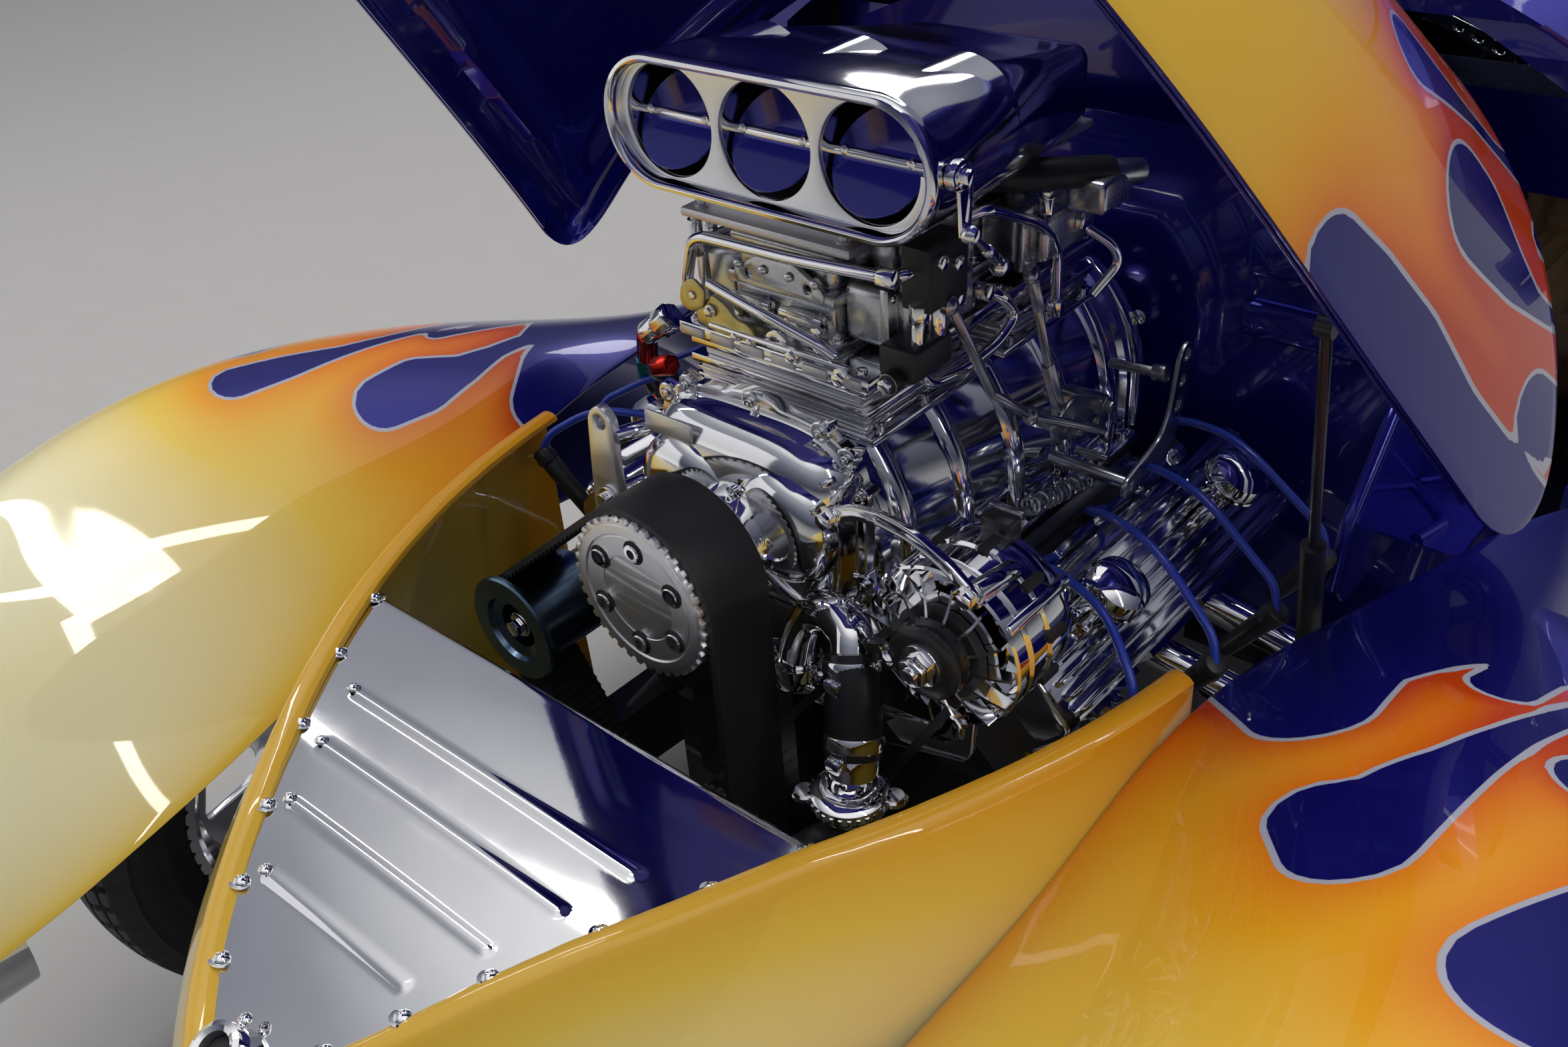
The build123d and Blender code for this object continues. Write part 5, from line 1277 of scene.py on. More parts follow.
bm = bmesh.new()
arm = [(148, 930), (152, 945.5), (177, 957), (208, 961), (240, 955), (271, 940), (296, 920.5), (301, 910),
    (292, 906.5), (285, 916), (263, 932), (236, 944), (207, 948.5), (180, 944.5), (159, 933), (155, 925.5)]
slot = [(200, 957.5), (226, 954.5), (251, 946.5), (274, 933), (271, 930.5), (251, 941.5), (227, 949.5),
    (201, 952.5)]
plate(bm, roundedOutline(arm, 6, 3), (0, -1352, 0), across, upward, 7, 1.2, (roundedOutline(slot, 3, 2),))
bolt(bm, (154, -1359, 938), ahead, 8)
rod(bm, (154, -1352, 938), (126, -1290, 928), 8)
bolt(bm, (290, -1359, 917), ahead, 7.5)
rod(bm, (290, -1352, 917), (290, -1300, 908), 9)
plate(bm, roundedOutline([(112, 660), (262, 700), (268, 776), (238, 776), (226, 724), (112, 700)], 10),
    (0, -1306, 0), across, upward, 12, 2.0)
rod(bm, (252, -1312, 760), (252, -1262, 760), 11)
bolt(bm, (252, -1318, 762), ahead, 9)
rod(bm, (-195, -1358, 720), (-195, -1275, 720), 14, material=1)
plate(bm, roundedOutline([(-222, 696), (-190, 690), (-118, 700), (-118, 800), (-126, 872), (-122, 930),
    (-138, 944), (-154, 930), (-160, 872), (-168, 780), (-224, 744)], 14),
    (0, -1330, 0), across, upward, 11, 1.6, (circleOutline(-138, 924, 7.5, 20),
        circleOutline(-140, 842, 5, 16)), 2)
rod(bm, (-140, -1342, 842), (-128, -1290, 842), 9)
bolt(bm, (-140, -1342, 842), ahead, 8)
rod(bm, (-126, -1334, 910), (-110, -1290, 910), 8)
finishObject(bm, "accessoryBrackets", "chassis", ("accessory_brackets",),
    ["chrome", "blackSteel", "satin"], 36)
print("alternator and brackets")


# Adapter plates and carburettors: stacks of half width, half depth, bottom, top, edge and material
carbs = dict(y=(-1160.0, -955.0), deck=1000.0,
    adapter=((112, 86, 932, 940, 2.0, 0), (98, 80, 939, 957, 2.5, 1), (101, 82, 943, 946, 1.0, 0),
        (101, 82, 950, 953, 1.0, 0), (106, 84, 957, 966, 2.0, 0), (92, 78, 966, 976, 2.5, 1),
        (104, 84, 976, 986, 2.0, 0)),
    body=((66, 74, 0, 10, 2, 0), (58, 66, 9, 46, 6, 0), (62, 70, 44, 56, 3, 0), (56, 62, 54, 84, 9, 0),
        (60, 66, 82, 92, 4, 0)))


def stackBlocks(bm, y, base, rows):
    for wide, deep, low, high, edge, material in rows:
        slab(bm, (-wide, y - deep, base + low), (wide, y + deep, base + high), edge, material)


bm = bmesh.new()
for y in carbs["y"]:
    stackBlocks(bm, y, 0, carbs["adapter"])
    for sx in (-1, 1):
        for sy in (-1, 0, 1):
            bolt(bm, (sx * 106, y + sy * 66, 940), upward, 5, "socket", 2)
        for sy in (-1, 1):
            rod(bm, (sx * 98, y + sy * 80, 986), (sx * 98, y + sy * 80, 1004), 5, material=2)
slab(bm, (-112, -1250, 986), (112, -868, 1000), 2.5)
for i in range(6):
    slab(bm, (-108 + i * 37, -1252, 988), (-80 + i * 37, -1246, 998), 1.5, 1)
finishObject(bm, "carburettorAdapters", "chassis", ("carb_adapters",),
    ["polished", "castAluminium", "chrome"], 36)


def carburettor(bm, y):
    z = carbs["deck"]
    stackBlocks(bm, y, z, carbs["body"])
    for sx in (-1, 1):
        for sy in (-1, 1):
            rod(bm, (sx * 28, y + sy * 30, z + 84), (sx * 28, y + sy * 30, z + 106), 27, sides=40, edge=1.5)
            bolt(bm, (sx * 56, y + sy * 60, z + 10), upward, 6, "hex", 2)
    for sx in (-1, 1):
        slab(bm, (sx * 82 - 22, y - 56, z + 12), (sx * 82 + 22, y + 56, z + 66), 8)
        slab(bm, (sx * 106 - 5, y - 58, z + 8), (sx * 106 + 5, y + 58, z + 70), 3)
        slab(bm, (sx * 118 - 10, y - 46, z + 16), (sx * 118 + 10, y + 46, z + 62), 7)
        rod(bm, (sx * 70, y, z + 64), (sx * 70, y, z + 92), 17, sides=32, edge=3)
        rod(bm, (sx * 118, y - 30, z + 52), (sx * 118, y - 30, z + 76), 7, sides=20, material=2)
        bolt(bm, (sx * 118, y - 30, z + 76), upward, 6, "hex", 2)
        for sy in (-1, 1):
            for zz in (18, 60):
                bolt(bm, (sx * 111, y + sy * 50, z + zz), Vector((sx, 0, 0)), 4.2, "dome", 2)
        rod(bm, (sx * 128, y + 14, z + 40), (sx * 136, y + 14, z + 40), 9, sides=6, edge=1, material=2)
    for i, x in enumerate((-44, -15, 15, 44)):
        rod(bm, (x, y - 68, z + 22), (x, y - 76, z + 22), 6 if i % 2 else 8, sides=20, material=2)
        bolt(bm, (x, y - 74, z + 66), ahead, 4.5, "dome", 2)
    plate(bm, roundedOutline([(-52, 60), (-20, 78), (20, 78), (52, 60), (52, 46), (-52, 46)], 6),
        (0, y - 67, z), across, upward, 5, 1.2, (circleOutline(-34, 58, 4.5, 16),
            circleOutline(34, 58, 4.5, 16)))
    for x in (-30, 30):
        slab(bm, (x - 17, y - 80, z + 26), (x + 17, y - 66, z + 40), 3)
        rod(bm, (x - 24, y - 75, z + 33), (x + 24, y - 75, z + 33), 5.5, sides=20, material=2)


bm = bmesh.new()
for y in carbs["y"]:
    carburettor(bm, y)
# Throttle levers on the front face, in yellow zinc, with their rods
levers = [(-86, 1018), (-66, 1036), (-50, 1030), (-38, 1018), (-22, 1016), (-14, 1004), (-24, 992),
    (-44, 990), (-58, 998), (-74, 1002), (-88, 1006)]
plate(bm, roundedOutline(levers, 6), (0, -1246, 0), across, upward, 3, 0.8,
    (circleOutline(-68, 1020, 5, 16), circleOutline(-38, 1003, 4.5, 16)), 3)
second = [(-100, 1040), (-84, 1050), (-70, 1040), (-74, 1022), (-92, 1014), (-104, 1022)]
plate(bm, roundedOutline(second, 6), (0, -1250, 0), across, upward, 3, 0.8,
    (circleOutline(-86, 1032, 4, 16),), 3)
plate(bm, roundedOutline([(-4, 1014), (8, 1020), (20, 1012), (18, 998), (2, 994), (-8, 1002)], 5),
    (0, -1244, 0), across, upward, 3, 0.8, (circleOutline(4, 1006, 5.5, 16),), 2)
for x, z, r in ((-68, 1020, 4.5), (-38, 1003, 4), (-86, 1032, 4), (30, 1002, 6), (62, 1020, 5),
        (84, 996, 7), (-20, 1002, 4)):
    bolt(bm, (x, -1250, z), ahead, r, "hex", 2)
sweep(bm, ((-62, -1254, 1050), (-30, -1256, 1044), (66, -1256, 1024), (76, -1250, 1014)), 5.0, 16,
    material=2)
rod(bm, (-70, -1250, 1006), (90, -1250, 1006), 3.0, material=2)
lathe(bm, ((0, -34), (14, -34), (17, -30), (17, -4), (14, 0), (8, 2), (0, 2)), (-96, -1216, 1004),
    Vector((-1, -0.35, 0.1)), 36, 4)
rod(bm, (-104, -1222, 1056), (-104, -1222, 1090), 6, material=2)
bolt(bm, (-104, -1222, 1090), upward, 5.5, "hex", 2)
# Black fuel block on the car's left with its screws
slab(bm, (124, -1217, 1058), (153, -1162, 1114), 2.0, 5)
for y, z in ((-1202, 1100), (-1180, 1092)):
    rod(bm, (152, y, z), (158, y, z), 6.5, sides=20, material=2)
rod(bm, (140, -1190, 1058), (140, -1190, 1020), 9, sides=24, material=2)
slab(bm, (112, -1236, 1000), (150, -1180, 1030), 4, 5)
rod(bm, (131, -1236, 1002), (131, -1248, 1002), 10, edge=1.5, material=5)
bolt(bm, (131, -1246, 1002), ahead, 7, "hex", 2)
# Rear fuel bowl, a canister that lies on the last carburettor
rod(bm, (96, -1046, 1112), (152, -930, 1090), 15, sides=36, edge=3, material=5)
rod(bm, (150, -938, 1092), (168, -900, 1084), 12, sides=30, edge=2)
slab(bm, (126, -968, 1060), (168, -912, 1092), 6)
finishObject(bm, "carburettors", "chassis", ("carburettors",),
    ["carbSilver", "castAluminium", "chrome", "zincYellow", "whitePlastic", "blackPlastic"], 36)

bm = bmesh.new()
sweep(bm, ((-116, -1206, 984), (-119, -1216, 1000), (-112, -1234, 1030), (-90, -1242, 1080),
    (-74, -1244, 1088), (33, -1247, 1092), (128, -1244, 1097), (138, -1232, 1096), (138, -1214, 1094)), 5.6,
    22, 16, 0, 7)
sweep(bm, ((140, -1200, 1060), (140, -1216, 1050), (140, -1219, 1012), (140, -1203, 984), (140, -1150, 976),
    (140, -1096, 980), (140, -1066, 997), (140, -1092, 1025), (132, -1106, 1032)), 5.6, 24, 16, 0, 7)
sweep(bm, ((110, -1100, 1096), (120, -1088, 1100), (124, -1010, 1062), (124, -974, 1030), (124, -972, 964),
    (120, -960, 952)), 5.6, 24, 16, 0, 7)
sweep(bm, ((130, -930, 1030), (150, -912, 1010), (154, -905, 990), (140, -930, 962)), 5.0, 24, 16, 0, 7)
for at, axis in (((-116, -1208, 984), Vector((0, -0.4, 1))), ((132, -1244, 1097), across),
        ((140, -1214, 1056), upward), ((132, -1106, 1032), across), ((124, -972, 962), upward)):
    axis = Vector(axis).normalized()
    rod(bm, Vector(at) - axis * 8, Vector(at) + axis * 8, 9, sides=6, edge=1)
# Fittings at the car's right rear: chrome hex, teal and red elbows
rod(bm, (-300, -1104, 884), (-282, -1100, 900), 18, sides=6, edge=2)
rod(bm, (-318, -1108, 872), (-300, -1104, 886), 14)
sweep(bm, ((-318, -1108, 872), (-330, -1100, 850), (-336, -1096, 830)), 12, 20, 20, 1)
rod(bm, (-337, -1096, 832), (-342, -1092, 808), 15, sides=6, edge=1.5, material=2)
sweep(bm, ((-342, -1092, 808), (-346, -1080, 780), (-350, -1010, 740), (-300, -900, 700),
    (-180, -820, 690)), 12, 70, 20, 3)
rod(bm, (-296, -1120, 842), (-272, -1118, 850), 13, sides=6, edge=1.5, material=1)
sweep(bm, ((-296, -1120, 842), (-306, -1116, 832), (-300, -1060, 790), (-240, -960, 740)), 9, 60, 18, 3)
finishObject(bm, "fuelLines", "chassis", ("fuel_lines",),
    ["chrome", "redAnodised", "tealAnodised", "hoseRubber"], 36)

# Throttle linkage on the car's left: rods, bellcrank, spring and the perforated bracket
bm = bmesh.new()
rod(bm, (-148, -1186, 1040), (-148, -924, 1040), 4)
rod(bm, (152, -1186, 1054), (158, -1132, 950), 5)
rod(bm, (158, -1132, 950), (166, -1080, 905), 4.6)
rod(bm, (166, -1080, 905), (200, -1000, 862), 4.6)
rod(bm, (152, -1062, 1034), (156, -1054, 1000), 6.5, sides=6)
rod(bm, (155, -1056, 1004), (162, -1040, 930), 4.6)
rod(bm, (160, -1042, 940), (166, -1030, 892), 7.5, sides=6)
for at in ((152, -1062, 1036), (166, -1028, 886), (152, -1188, 1056), (166, -1078, 904)):
    lathe(bm, ((0, 7), (6, 6), (9, 3), (9, -3), (6, -6), (0, -7)), at, across, 20)
plate(bm, roundedOutline([(-1050, 880), (-1010, 896), (-960, 872), (-940, 838), (-968, 826), (-1000, 850),
    (-1044, 858)], 9), (168, 0, 0), Vector((0, 1, 0)), upward, 5, 1.0,
    (circleOutline(-1030, 874, 5, 16), circleOutline(-968, 848, 5, 16)))
plate(bm, roundedOutline([(-1000, 790), (-975, 786), (-905, 806), (-884, 842), (-872, 906), (-884, 918),
    (-900, 908), (-912, 850), (-928, 826), (-996, 808)], 10), (220, 0, 0), Vector((0, 1, 0)), upward, 5,
    1.0,
    tuple(circleOutline(y, z, 6.5, 18) for y, z in ((-887, 902), (-893, 876), (-899, 850))))
rod(bm, (130, -980, 800), (226, -980, 798), 7)
rod(bm, (150, -905, 880), (204, -905, 884), 6, sides=6, edge=1)
rod(bm, (200, -905, 884), (214, -905, 886), 9, sides=24)
coil = []
for i in range(14 * 10 + 1):
    t = i / 140
    c, s = cos(t * tau * 14), sin(t * tau * 14)
    middle = Vector((160, -1070, 795)).lerp(Vector((168, -968, 779)), t)
    coil.append(middle + Vector((c * 9, s * 1.5, s * 9)))
sweep(bm, coil, 1.5, 1, 6, 0, 1)
rod(bm, (160, -1098, 806), (160, -1068, 795), 2)
rod(bm, (168, -970, 779), (172, -940, 790), 2)
for y, z in ((-1098, 806), (-940, 790)):
    rod(bm, (136, y, z), (174, y, z), 5)
for y in (-1010, -955):
    slab(bm, (128, y - 9, 852), (176, y + 9, 870), 3)
    bolt(bm, (176, y, 861), across, 7)
finishObject(bm, "throttleLinkage", "chassis", ("throttle_linkage",), ["steel"], 36)
print("carburettors and linkage")


# Finned valve covers on the two banks, breathers and screws
covers = dict(low=318.0, front=-1243.0, back=-800.0, fins=7, crank=470.0)


def bankPoint(u, v, y, side):
    lean = radians(45)
    return Vector((side * (u * cos(lean) + v * sin(lean)), y,
        covers["crank"] + u * sin(lean) - v * cos(lean)))


bm = bmesh.new()
for side in (1, -1):
    u0 = covers["low"]
    profile = [(64, 0), (66, 2), (66, 9), (63, 11), (59, 13), (58, 62), (54, 74), (44, 80), (0, 82)]
    profile += [(-v, u) for v, u in profile[-2::-1]]
    rings = []
    for y, pull in ((covers["front"], 5), (covers["front"] + 1.5, 1.5), (covers["front"] + 5, 0),
            (covers["back"] - 5, 0), (covers["back"] - 1.5, 1.5), (covers["back"], 5)):
        rings.append([bankPoint(u0 + max(u - pull * (u > 20), 0), v * (1 - pull / 64), y, side)
            for v, u in profile])
    loft(bm, rings)
    for i in range(covers["fins"]):
        v = -45 + 15 * i
        y0, y1 = covers["front"] + 14, covers["back"] - 14
        rings = []
        for y, top in ((y0, 76), (y0 + 2, 90), (y0 + 10, 96), (y1 - 10, 96), (y1 - 2, 90), (y1, 76)):
            rings.append([bankPoint(u0 + u, v + dv, y, side)
                for dv, u in ((-2.6, 74), (-2.0, top - 2), (-0.9, top), (0.9, top), (2.0, top - 2),
                    (2.6, 74))])
        loft(bm, rings)
    for k in range(6):
        y = covers["front"] + 26 + k * 78
        for v in (-62, 62):
            bolt(bm, bankPoint(u0 + 11, v, y, side), bankPoint(1, 0, 0, side) - bankPoint(0, 0, 0, side), 5,
                "socket", 1)
    for y in (-1132, -900):
        foot, head = Vector((side * 262, y, 742)), Vector((side * 304, y, 806))
        lathe(bm, ((26, 0), (26, 5), (21, 8), (19, 12), (19, 38), (22, 44), (30, 50), (31, 60), (28, 70),
            (18, 77), (0, 80)), foot, head - foot, 48, 1)
        lathe(bm, ((31.4, 52), (32.2, 54), (31.4, 56)), foot, head - foot, 48, 1, True)
finishObject(bm, "valveCovers", "chassis", ("valve_covers",), ["polished", "chrome"], 36)

# Plug leads, boots and the distributor
bm = bmesh.new()
plugs = [(-1236, 366, 752), (-1131, 387, 742), (-1031, 397, 742), (-930, 398, 746)]
for side in (1, -1):
    for k, (y, x, z) in enumerate(plugs):
        boot, root = Vector((side * x, y, z)), Vector((side * (x - 44), y + 16, z - 66))
        rod(bm, root, boot, 9, 11, 24, 2, 1)
        rod(bm, boot, boot + (boot - root).normalized() * 18, 13, 11, 24, 3, 1)
        top = boot + (boot - root).normalized() * 14
        reach = 300 - 10 * k
        path = [top, top + Vector((side * -8, 8, 22)), Vector((side * (reach + 22), y + 38, 816 + 4 * k)),
            Vector((side * (reach - 50), y + 74, 812)), Vector((side * (196 - 10 * k), y + 120, 770)),
                Vector((side * 180, min(y + 260, -900 + 20 * k), 706)),
                Vector((side * 120, -830 + 6 * k, 720)), Vector((side * (26 + 4 * k), -788, 800)),
                Vector((side * (8 + 6 * k), -776 + 5 * k, 806))]
        sweep(bm, path, 4.2, 60, 12, 0, 8)
lathe(bm, ((0, 0), (30, 0), (34, 4), (34, 40), (38, 44), (38, 62), (34, 68), (30, 96), (24, 102), (0, 104)),
    (0, -767, 700), upward, 48, 1)
lathe(bm, ((0, 0), (26, 0), (26, 60), (30, 62), (30, 66), (0, 66)), (0, -767, 640), upward, 40, 2)
for k in range(8):
    turn = tau * k / 8
    rod(bm, (22 * cos(turn), -767 + 22 * sin(turn), 798), (24 * cos(turn), -767 + 24 * sin(turn), 814), 7,
        6, 18, 1, 1)
for dx in (-22, 22):
    rod(bm, (dx, -740, 742), (dx, -740, 790), 3, material=2)
finishObject(bm, "ignitionLeads", "chassis", ("ignition",),
    ["blueWire", "blackPlastic", "castAluminium"], 36)

# Filler neck: cap with two ears, hose, clamps and thermostat housing
bm = bmesh.new()
rod(bm, (205, -1412, 650), (205, -1412, 694), 23, sides=44, edge=2)
lathe(bm, ((23, 0), (31, 2), (33, 5), (33, 8), (24, 9)), (205, -1412, 690), upward, 48, 0, True)
lathe(bm, ((0, 13.5), (8, 13.5), (10, 12), (13, 11), (15, 12.6), (24, 12.8), (30, 11.5), (33.5, 8.5),
    (34.5, 4), (34.5, 0), (33, -1.5), (0, -1.5)), (205, -1412, 701), upward)
for k in range(28):
    turn = tau * k / 28
    rod(bm, (205 + 34 * cos(turn), -1412 + 34 * sin(turn), 700.5),
        (205 + 34 * cos(turn), -1412 + 34 * sin(turn), 707), 1.9, sides=8, edge=0)
for turn in (0.55, 0.55 + pi):
    c, s = cos(turn), sin(turn)
    lathe(bm, ((0, 4), (9, 4), (11, 2), (11, -2), (9, -4), (0, -4)), (205 + 38 * c, -1412 + 38 * s, 703),
        upward, 28)
    sweep(bm, ((205 + 40 * c, -1412 + 40 * s, 703), (205 + 48 * c - 4 * s, -1412 + 48 * s + 4 * c, 700)), 4,
        4, 14)
rod(bm, (198, -1398, 690), (190, -1386, 722), 24, sides=40)
sweep(bm, ((205, -1411, 672), (197, -1397, 700), (190, -1385, 726)), 20, 30, 28)
sweep(bm, ((191, -1387, 722), (176, -1365, 776), (166, -1352, 800)), 25, 40, 32, 1)
sweep(bm, ((166, -1352, 796), (160, -1344, 812), (134, -1334, 818), (100, -1322, 800), (74, -1312, 760),
    (58, -1306, 712)), 19, 30, 28, 0, 8)
for a, b in (((189, -1384, 728), (186, -1379, 740)), ((169, -1357, 786), (166, -1353, 797))):
    rod(bm, a, b, 27, sides=48)
    slab(bm, Vector(a) + Vector((-6, -34, -4)), Vector(a) + Vector((10, -22, 8)), 2)
    for i in range(9):
        mid = Vector(a).lerp(Vector(b), 0.5)
        turn = pi + tau * (i - 4) / 60
        rod(bm, mid + Vector((27 * sin(turn), 27 * cos(turn), 5)),
            mid + Vector((27.8 * sin(turn), 27.8 * cos(turn), -5)), 0.8, sides=6, edge=0, material=2)
rod(bm, (58, -1306, 690), (58, -1306, 716), 26, sides=40, edge=3)
for dx in (-30, 30):
    bolt(bm, (58 + dx, -1306, 712), upward, 7)
slab(bm, (16, -1322, 684), (100, -1290, 700), 4)
rod(bm, (205, -1412, 668), (205, -1534, 700), 18, sides=36, material=1)
finishObject(bm, "fillerNeck", "chassis", ("filler_neck",), ["chrome", "hoseRubber", "blackSteel"], 36)
print("valve covers, leads and filler")


# Radiator cover: mirror sheet with pressed beads and dome screws, in the nose's own plan
coverSheet = dict(back=-1532.0, inset=12.8, beads=((-1627, 176), (-1681, 150), (-1733, 124), (-1784, 88)),
    beadHalf=8.0, beadRise=1.7)


def lipHeight(y):
    return rowAt(nose["lip"], y)[0] - 6.2


@lru_cache(maxsize=None)
def coverLine(z):
    line = noseLine(z)[0]
    inner = []
    for k, (x, y) in enumerate(line):
        (ax, ay), (bx, by) = line[max(k - 1, 0)], line[min(k + 1, len(line) - 1)]
        d = hypot(bx - ax, by - ay)
        inner.append((max(x + (by - ay) / d * coverSheet["inset"], 0.0),
            y + abs(bx - ax) / d * coverSheet["inset"]))
    return inner


def coverHalf(y):
    line = coverLine(round(lipHeight(y)))
    for p, q in zip(line, line[1:]):
        if q[1] <= y <= p[1] and q[1] < p[1]:
            return p[0] + (q[0] - p[0]) * (p[1] - y) / (p[1] - q[1])
    return 0.0


bm = bmesh.new()
tip = -1700.0
while coverHalf(tip) > 1.0:
    tip -= 1.0
count, half = 150, 70
rows = []
for j in range(count + 1):
    t = j / count
    y = tip + (coverSheet["back"] - tip) * (t * t * 0.12 + t * 0.88)
    w = coverHalf(y)
    row = []
    for i in range(-half, half + 1):
        x = w * i / half
        lift = 0.0
        for by, bw in coverSheet["beads"]:
            reach = hypot(max(abs(x) - bw, 0.0), y - by)
            if reach < coverSheet["beadHalf"]:
                lift = coverSheet["beadRise"] * (cos(reach / coverSheet["beadHalf"] * pi) + 1) / 2
        edge = blendStep(0, 9, w - abs(x)) * blendStep(0, 4, coverSheet["back"] - y + 0.01)
        row.append((x, y, lipHeight(y) + lift - 0.8 * (1 - edge) + 2.5
            * sin(pi * min(max((y - tip) / 380, 0), 1)) * cos(pi * i / half / 2)))
    rows.append(row)
skin(bm, rows, False)
bmesh.ops.remove_doubles(bm, verts=bm.verts[:], dist=1e-5)
bmesh.ops.recalc_face_normals(bm, faces=bm.faces[:])
if sum(f.normal.z for f in bm.faces) < 0:
    bmesh.ops.reverse_faces(bm, faces=bm.faces[:])
piece = finishObject(bm, "radiatorCover", "chassis", ("radiator_cover",), ["mirror"], 0)
thicken(piece, 0.0025, 0, 0, 0)

bm = bmesh.new()
for x, y in ((303, -1537), (267, -1604), (226, -1676), (183, -1745), (131, -1799), (72, -1846)):
    for side in (1, -1):
        x0 = min(x, coverHalf(y) - 15)
        lathe(bm, ((0, 0.6), (9, 0.4), (10.5, 0), (10.5, -1), (0, -1)), (side * x0, y, lipHeight(y) + 1.0),
            (0, 0.25, 1), 28)
        bolt(bm, (side * x0, y, lipHeight(y) + 1.4), (0, 0.25, 1), 7.5, "dome")
for by, bw in coverSheet["beads"]:
    bolt(bm, (-(bw + 6), by + 1, lipHeight(by) + 2.6), (0, 0.25, 1), 6.5, "dome")
lathe(bm, ((13, 3), (14, 7), (18, 9), (22, 7), (23.5, 2), (23.5, -4), (13, -4)), (0, -1893, 702),
    (0, -0.45, 1), 44, 0, True)
# The near-black disc inside the chrome ring is painted shade for its opening
lathe(bm, ((0, -3), (12.6, -3), (12.6, -1), (8, 1), (0, 1.6)), (0, -1893, 702), (0, -0.45, 1), 36, 1)
bolt(bm, (0, -1868, 713), (0, -0.4, 1), 6, "dome")
finishObject(bm, "coverScrews", "chassis", (), ["chrome", "inside"], 36)
print("radiator cover")


# Seats: crowned cushions with bolsters and sewn channels
seat = dict(x=330, cushion=(160, 560, 220, 62, 0.0), back=(398, 780, 220, 52, 12.0), halfWidth=133,
    channels=(-66, -33, 0, 33, 66), channelWidth=4.5, channelDepth=7.0, bolster=0.66, crown=10.0,
    cuts=44, squareness=5.0)


def paddedForm(facts, spot, upright):
    y, z, halfLong, halfThick, lean = spot
    bm = bmesh.new()
    bmesh.ops.create_cube(bm, size=2.0)
    bmesh.ops.subdivide_edges(bm, edges=bm.edges[:], cuts=facts["cuts"], use_grid_fill=True)
    n = facts["squareness"]
    for v in bm.verts:
        a, b, c = v.co
        r = (abs(a) ** n + abs(b) ** n + abs(c) ** n) ** (-1 / n)
        a, b, c = a * r, b * r, c * r
        pull = 1 - 0.05 * (1 - b * b) * (1 - c * c)
        x, high = a * facts["halfWidth"] * pull, c * halfThick
        along = b * halfLong * (1 - 0.04 * (1 - a * a))
        top = blendStep(0.1, 0.8, c)
        high += top * facts["crown"] * (1 - a * a) * (1 - b * b)
        bolster = blendStep(facts["bolster"] - 0.08, facts["bolster"] + 0.16, abs(a))
        high += top * 16 * bolster * (1 - b ** 6) - top * 6
        seam = max(exp(-((x - s) / facts["channelWidth"]) ** 2) for s in facts["channels"])
        seam *= 1 - blendStep(0.62, 0.74, abs(b))
        edge = facts["bolster"] * facts["halfWidth"]
        side = exp(-((abs(x) - edge) / facts["channelWidth"]) ** 2) * (1 - blendStep(0.80, 0.88, abs(b)))
        cross = exp(-((abs(along) - 0.70 * halfLong) / facts["channelWidth"]) ** 2)
        cross *= 1 - blendStep(edge - 2, edge + 3, abs(x))
        high -= top * facts["channelDepth"] * max(seam, side * 1.3, cross)
        v.co = Vector((x, along, high)) * mm
    bmesh.ops.transform(bm, matrix=Matrix.Rotation(radians(90 if upright else 0), 4, "X"),
        verts=bm.verts[:])
    bmesh.ops.transform(bm, matrix=Matrix.Rotation(radians(-lean), 4, "X"), verts=bm.verts[:])
    bmesh.ops.transform(bm, matrix=Matrix.Translation(Vector((0, y, z)) * mm), verts=bm.verts[:])
    return bm


for side, sign in (("Left", 1), ("Right", -1)):
    for form, upright in (("cushion", False), ("back", True)):
        bm = paddedForm(seat, seat[form], upright)
        bmesh.ops.translate(bm, vec=(sign * seat["x"] * mm, 0, 0), verts=bm.verts[:])
        stands = ("seats",) if (sign, form) == (1, "cushion") else ()
        piece = finishObject(bm, "seat" + form.capitalize() + side, "chassis", stands, "leather", 60)

bm = bmesh.new()
for sign in (1, -1):
    x = sign * seat["x"]
    slab(bm, (x - 110, 0, 446), (x + 110, 330, 500), 12)
    for dx in (-84, 84):
        slab(bm, (x + dx - 12, -20, 440.5), (x + dx + 12, 350, 452), 3, 1)
    rod(bm, (x + sign * 128, 396, 575), (x + sign * 128, 352, 575), 16, material=1)
    rod(bm, (x - 60, 470, 596), (x + 60, 470, 596), 6, material=1)
finishObject(bm, "seatBases", "chassis", (), ["blackPlastic", "steel"], 40)
print("seats finished")

# Steering wheel on its column
wheel = dict(centre=(330, -190, 1010), slope=(0, -0.86, -0.52), rim=178, grip=12.5, firewall=-727)
hub = Vector(wheel["centre"])
down = Vector(wheel["slope"]).normalized()
toDriver = -down
vertical = toDriver.cross(across).normalized()
bm = bmesh.new()
grip = [(wheel["rim"] + wheel["grip"] * cos(tau * i / 20), wheel["grip"] * sin(tau * i / 20))
    for i in range(20)]
lathe(bm, grip, hub, toDriver, 96, 0, True)
for turn in (90, 210, 330):
    out = (across * cos(radians(turn)) + across.cross(down) * sin(radians(turn))).normalized()
    wide = out.cross(toDriver).normalized()
    outline = [(34, -17), (60, -13), (150, -11), (167, -15), (167, 15), (150, 11), (60, 13), (34, 17)]
    holes = [circleOutline(d, 0, r, 24) for d, r in ((70, 8), (98, 7), (124, 6))]
    plate(bm, outline, hub - toDriver * 3, out, wide, 5, 0.8, holes, 1)
lathe(bm, ((0, 20), (26, 19), (33, 14), (36, 6), (42, 3), (44, -4), (40, -12), (26, -20), (26, -58),
    (0, -58)), hub, toDriver, 56, 1)
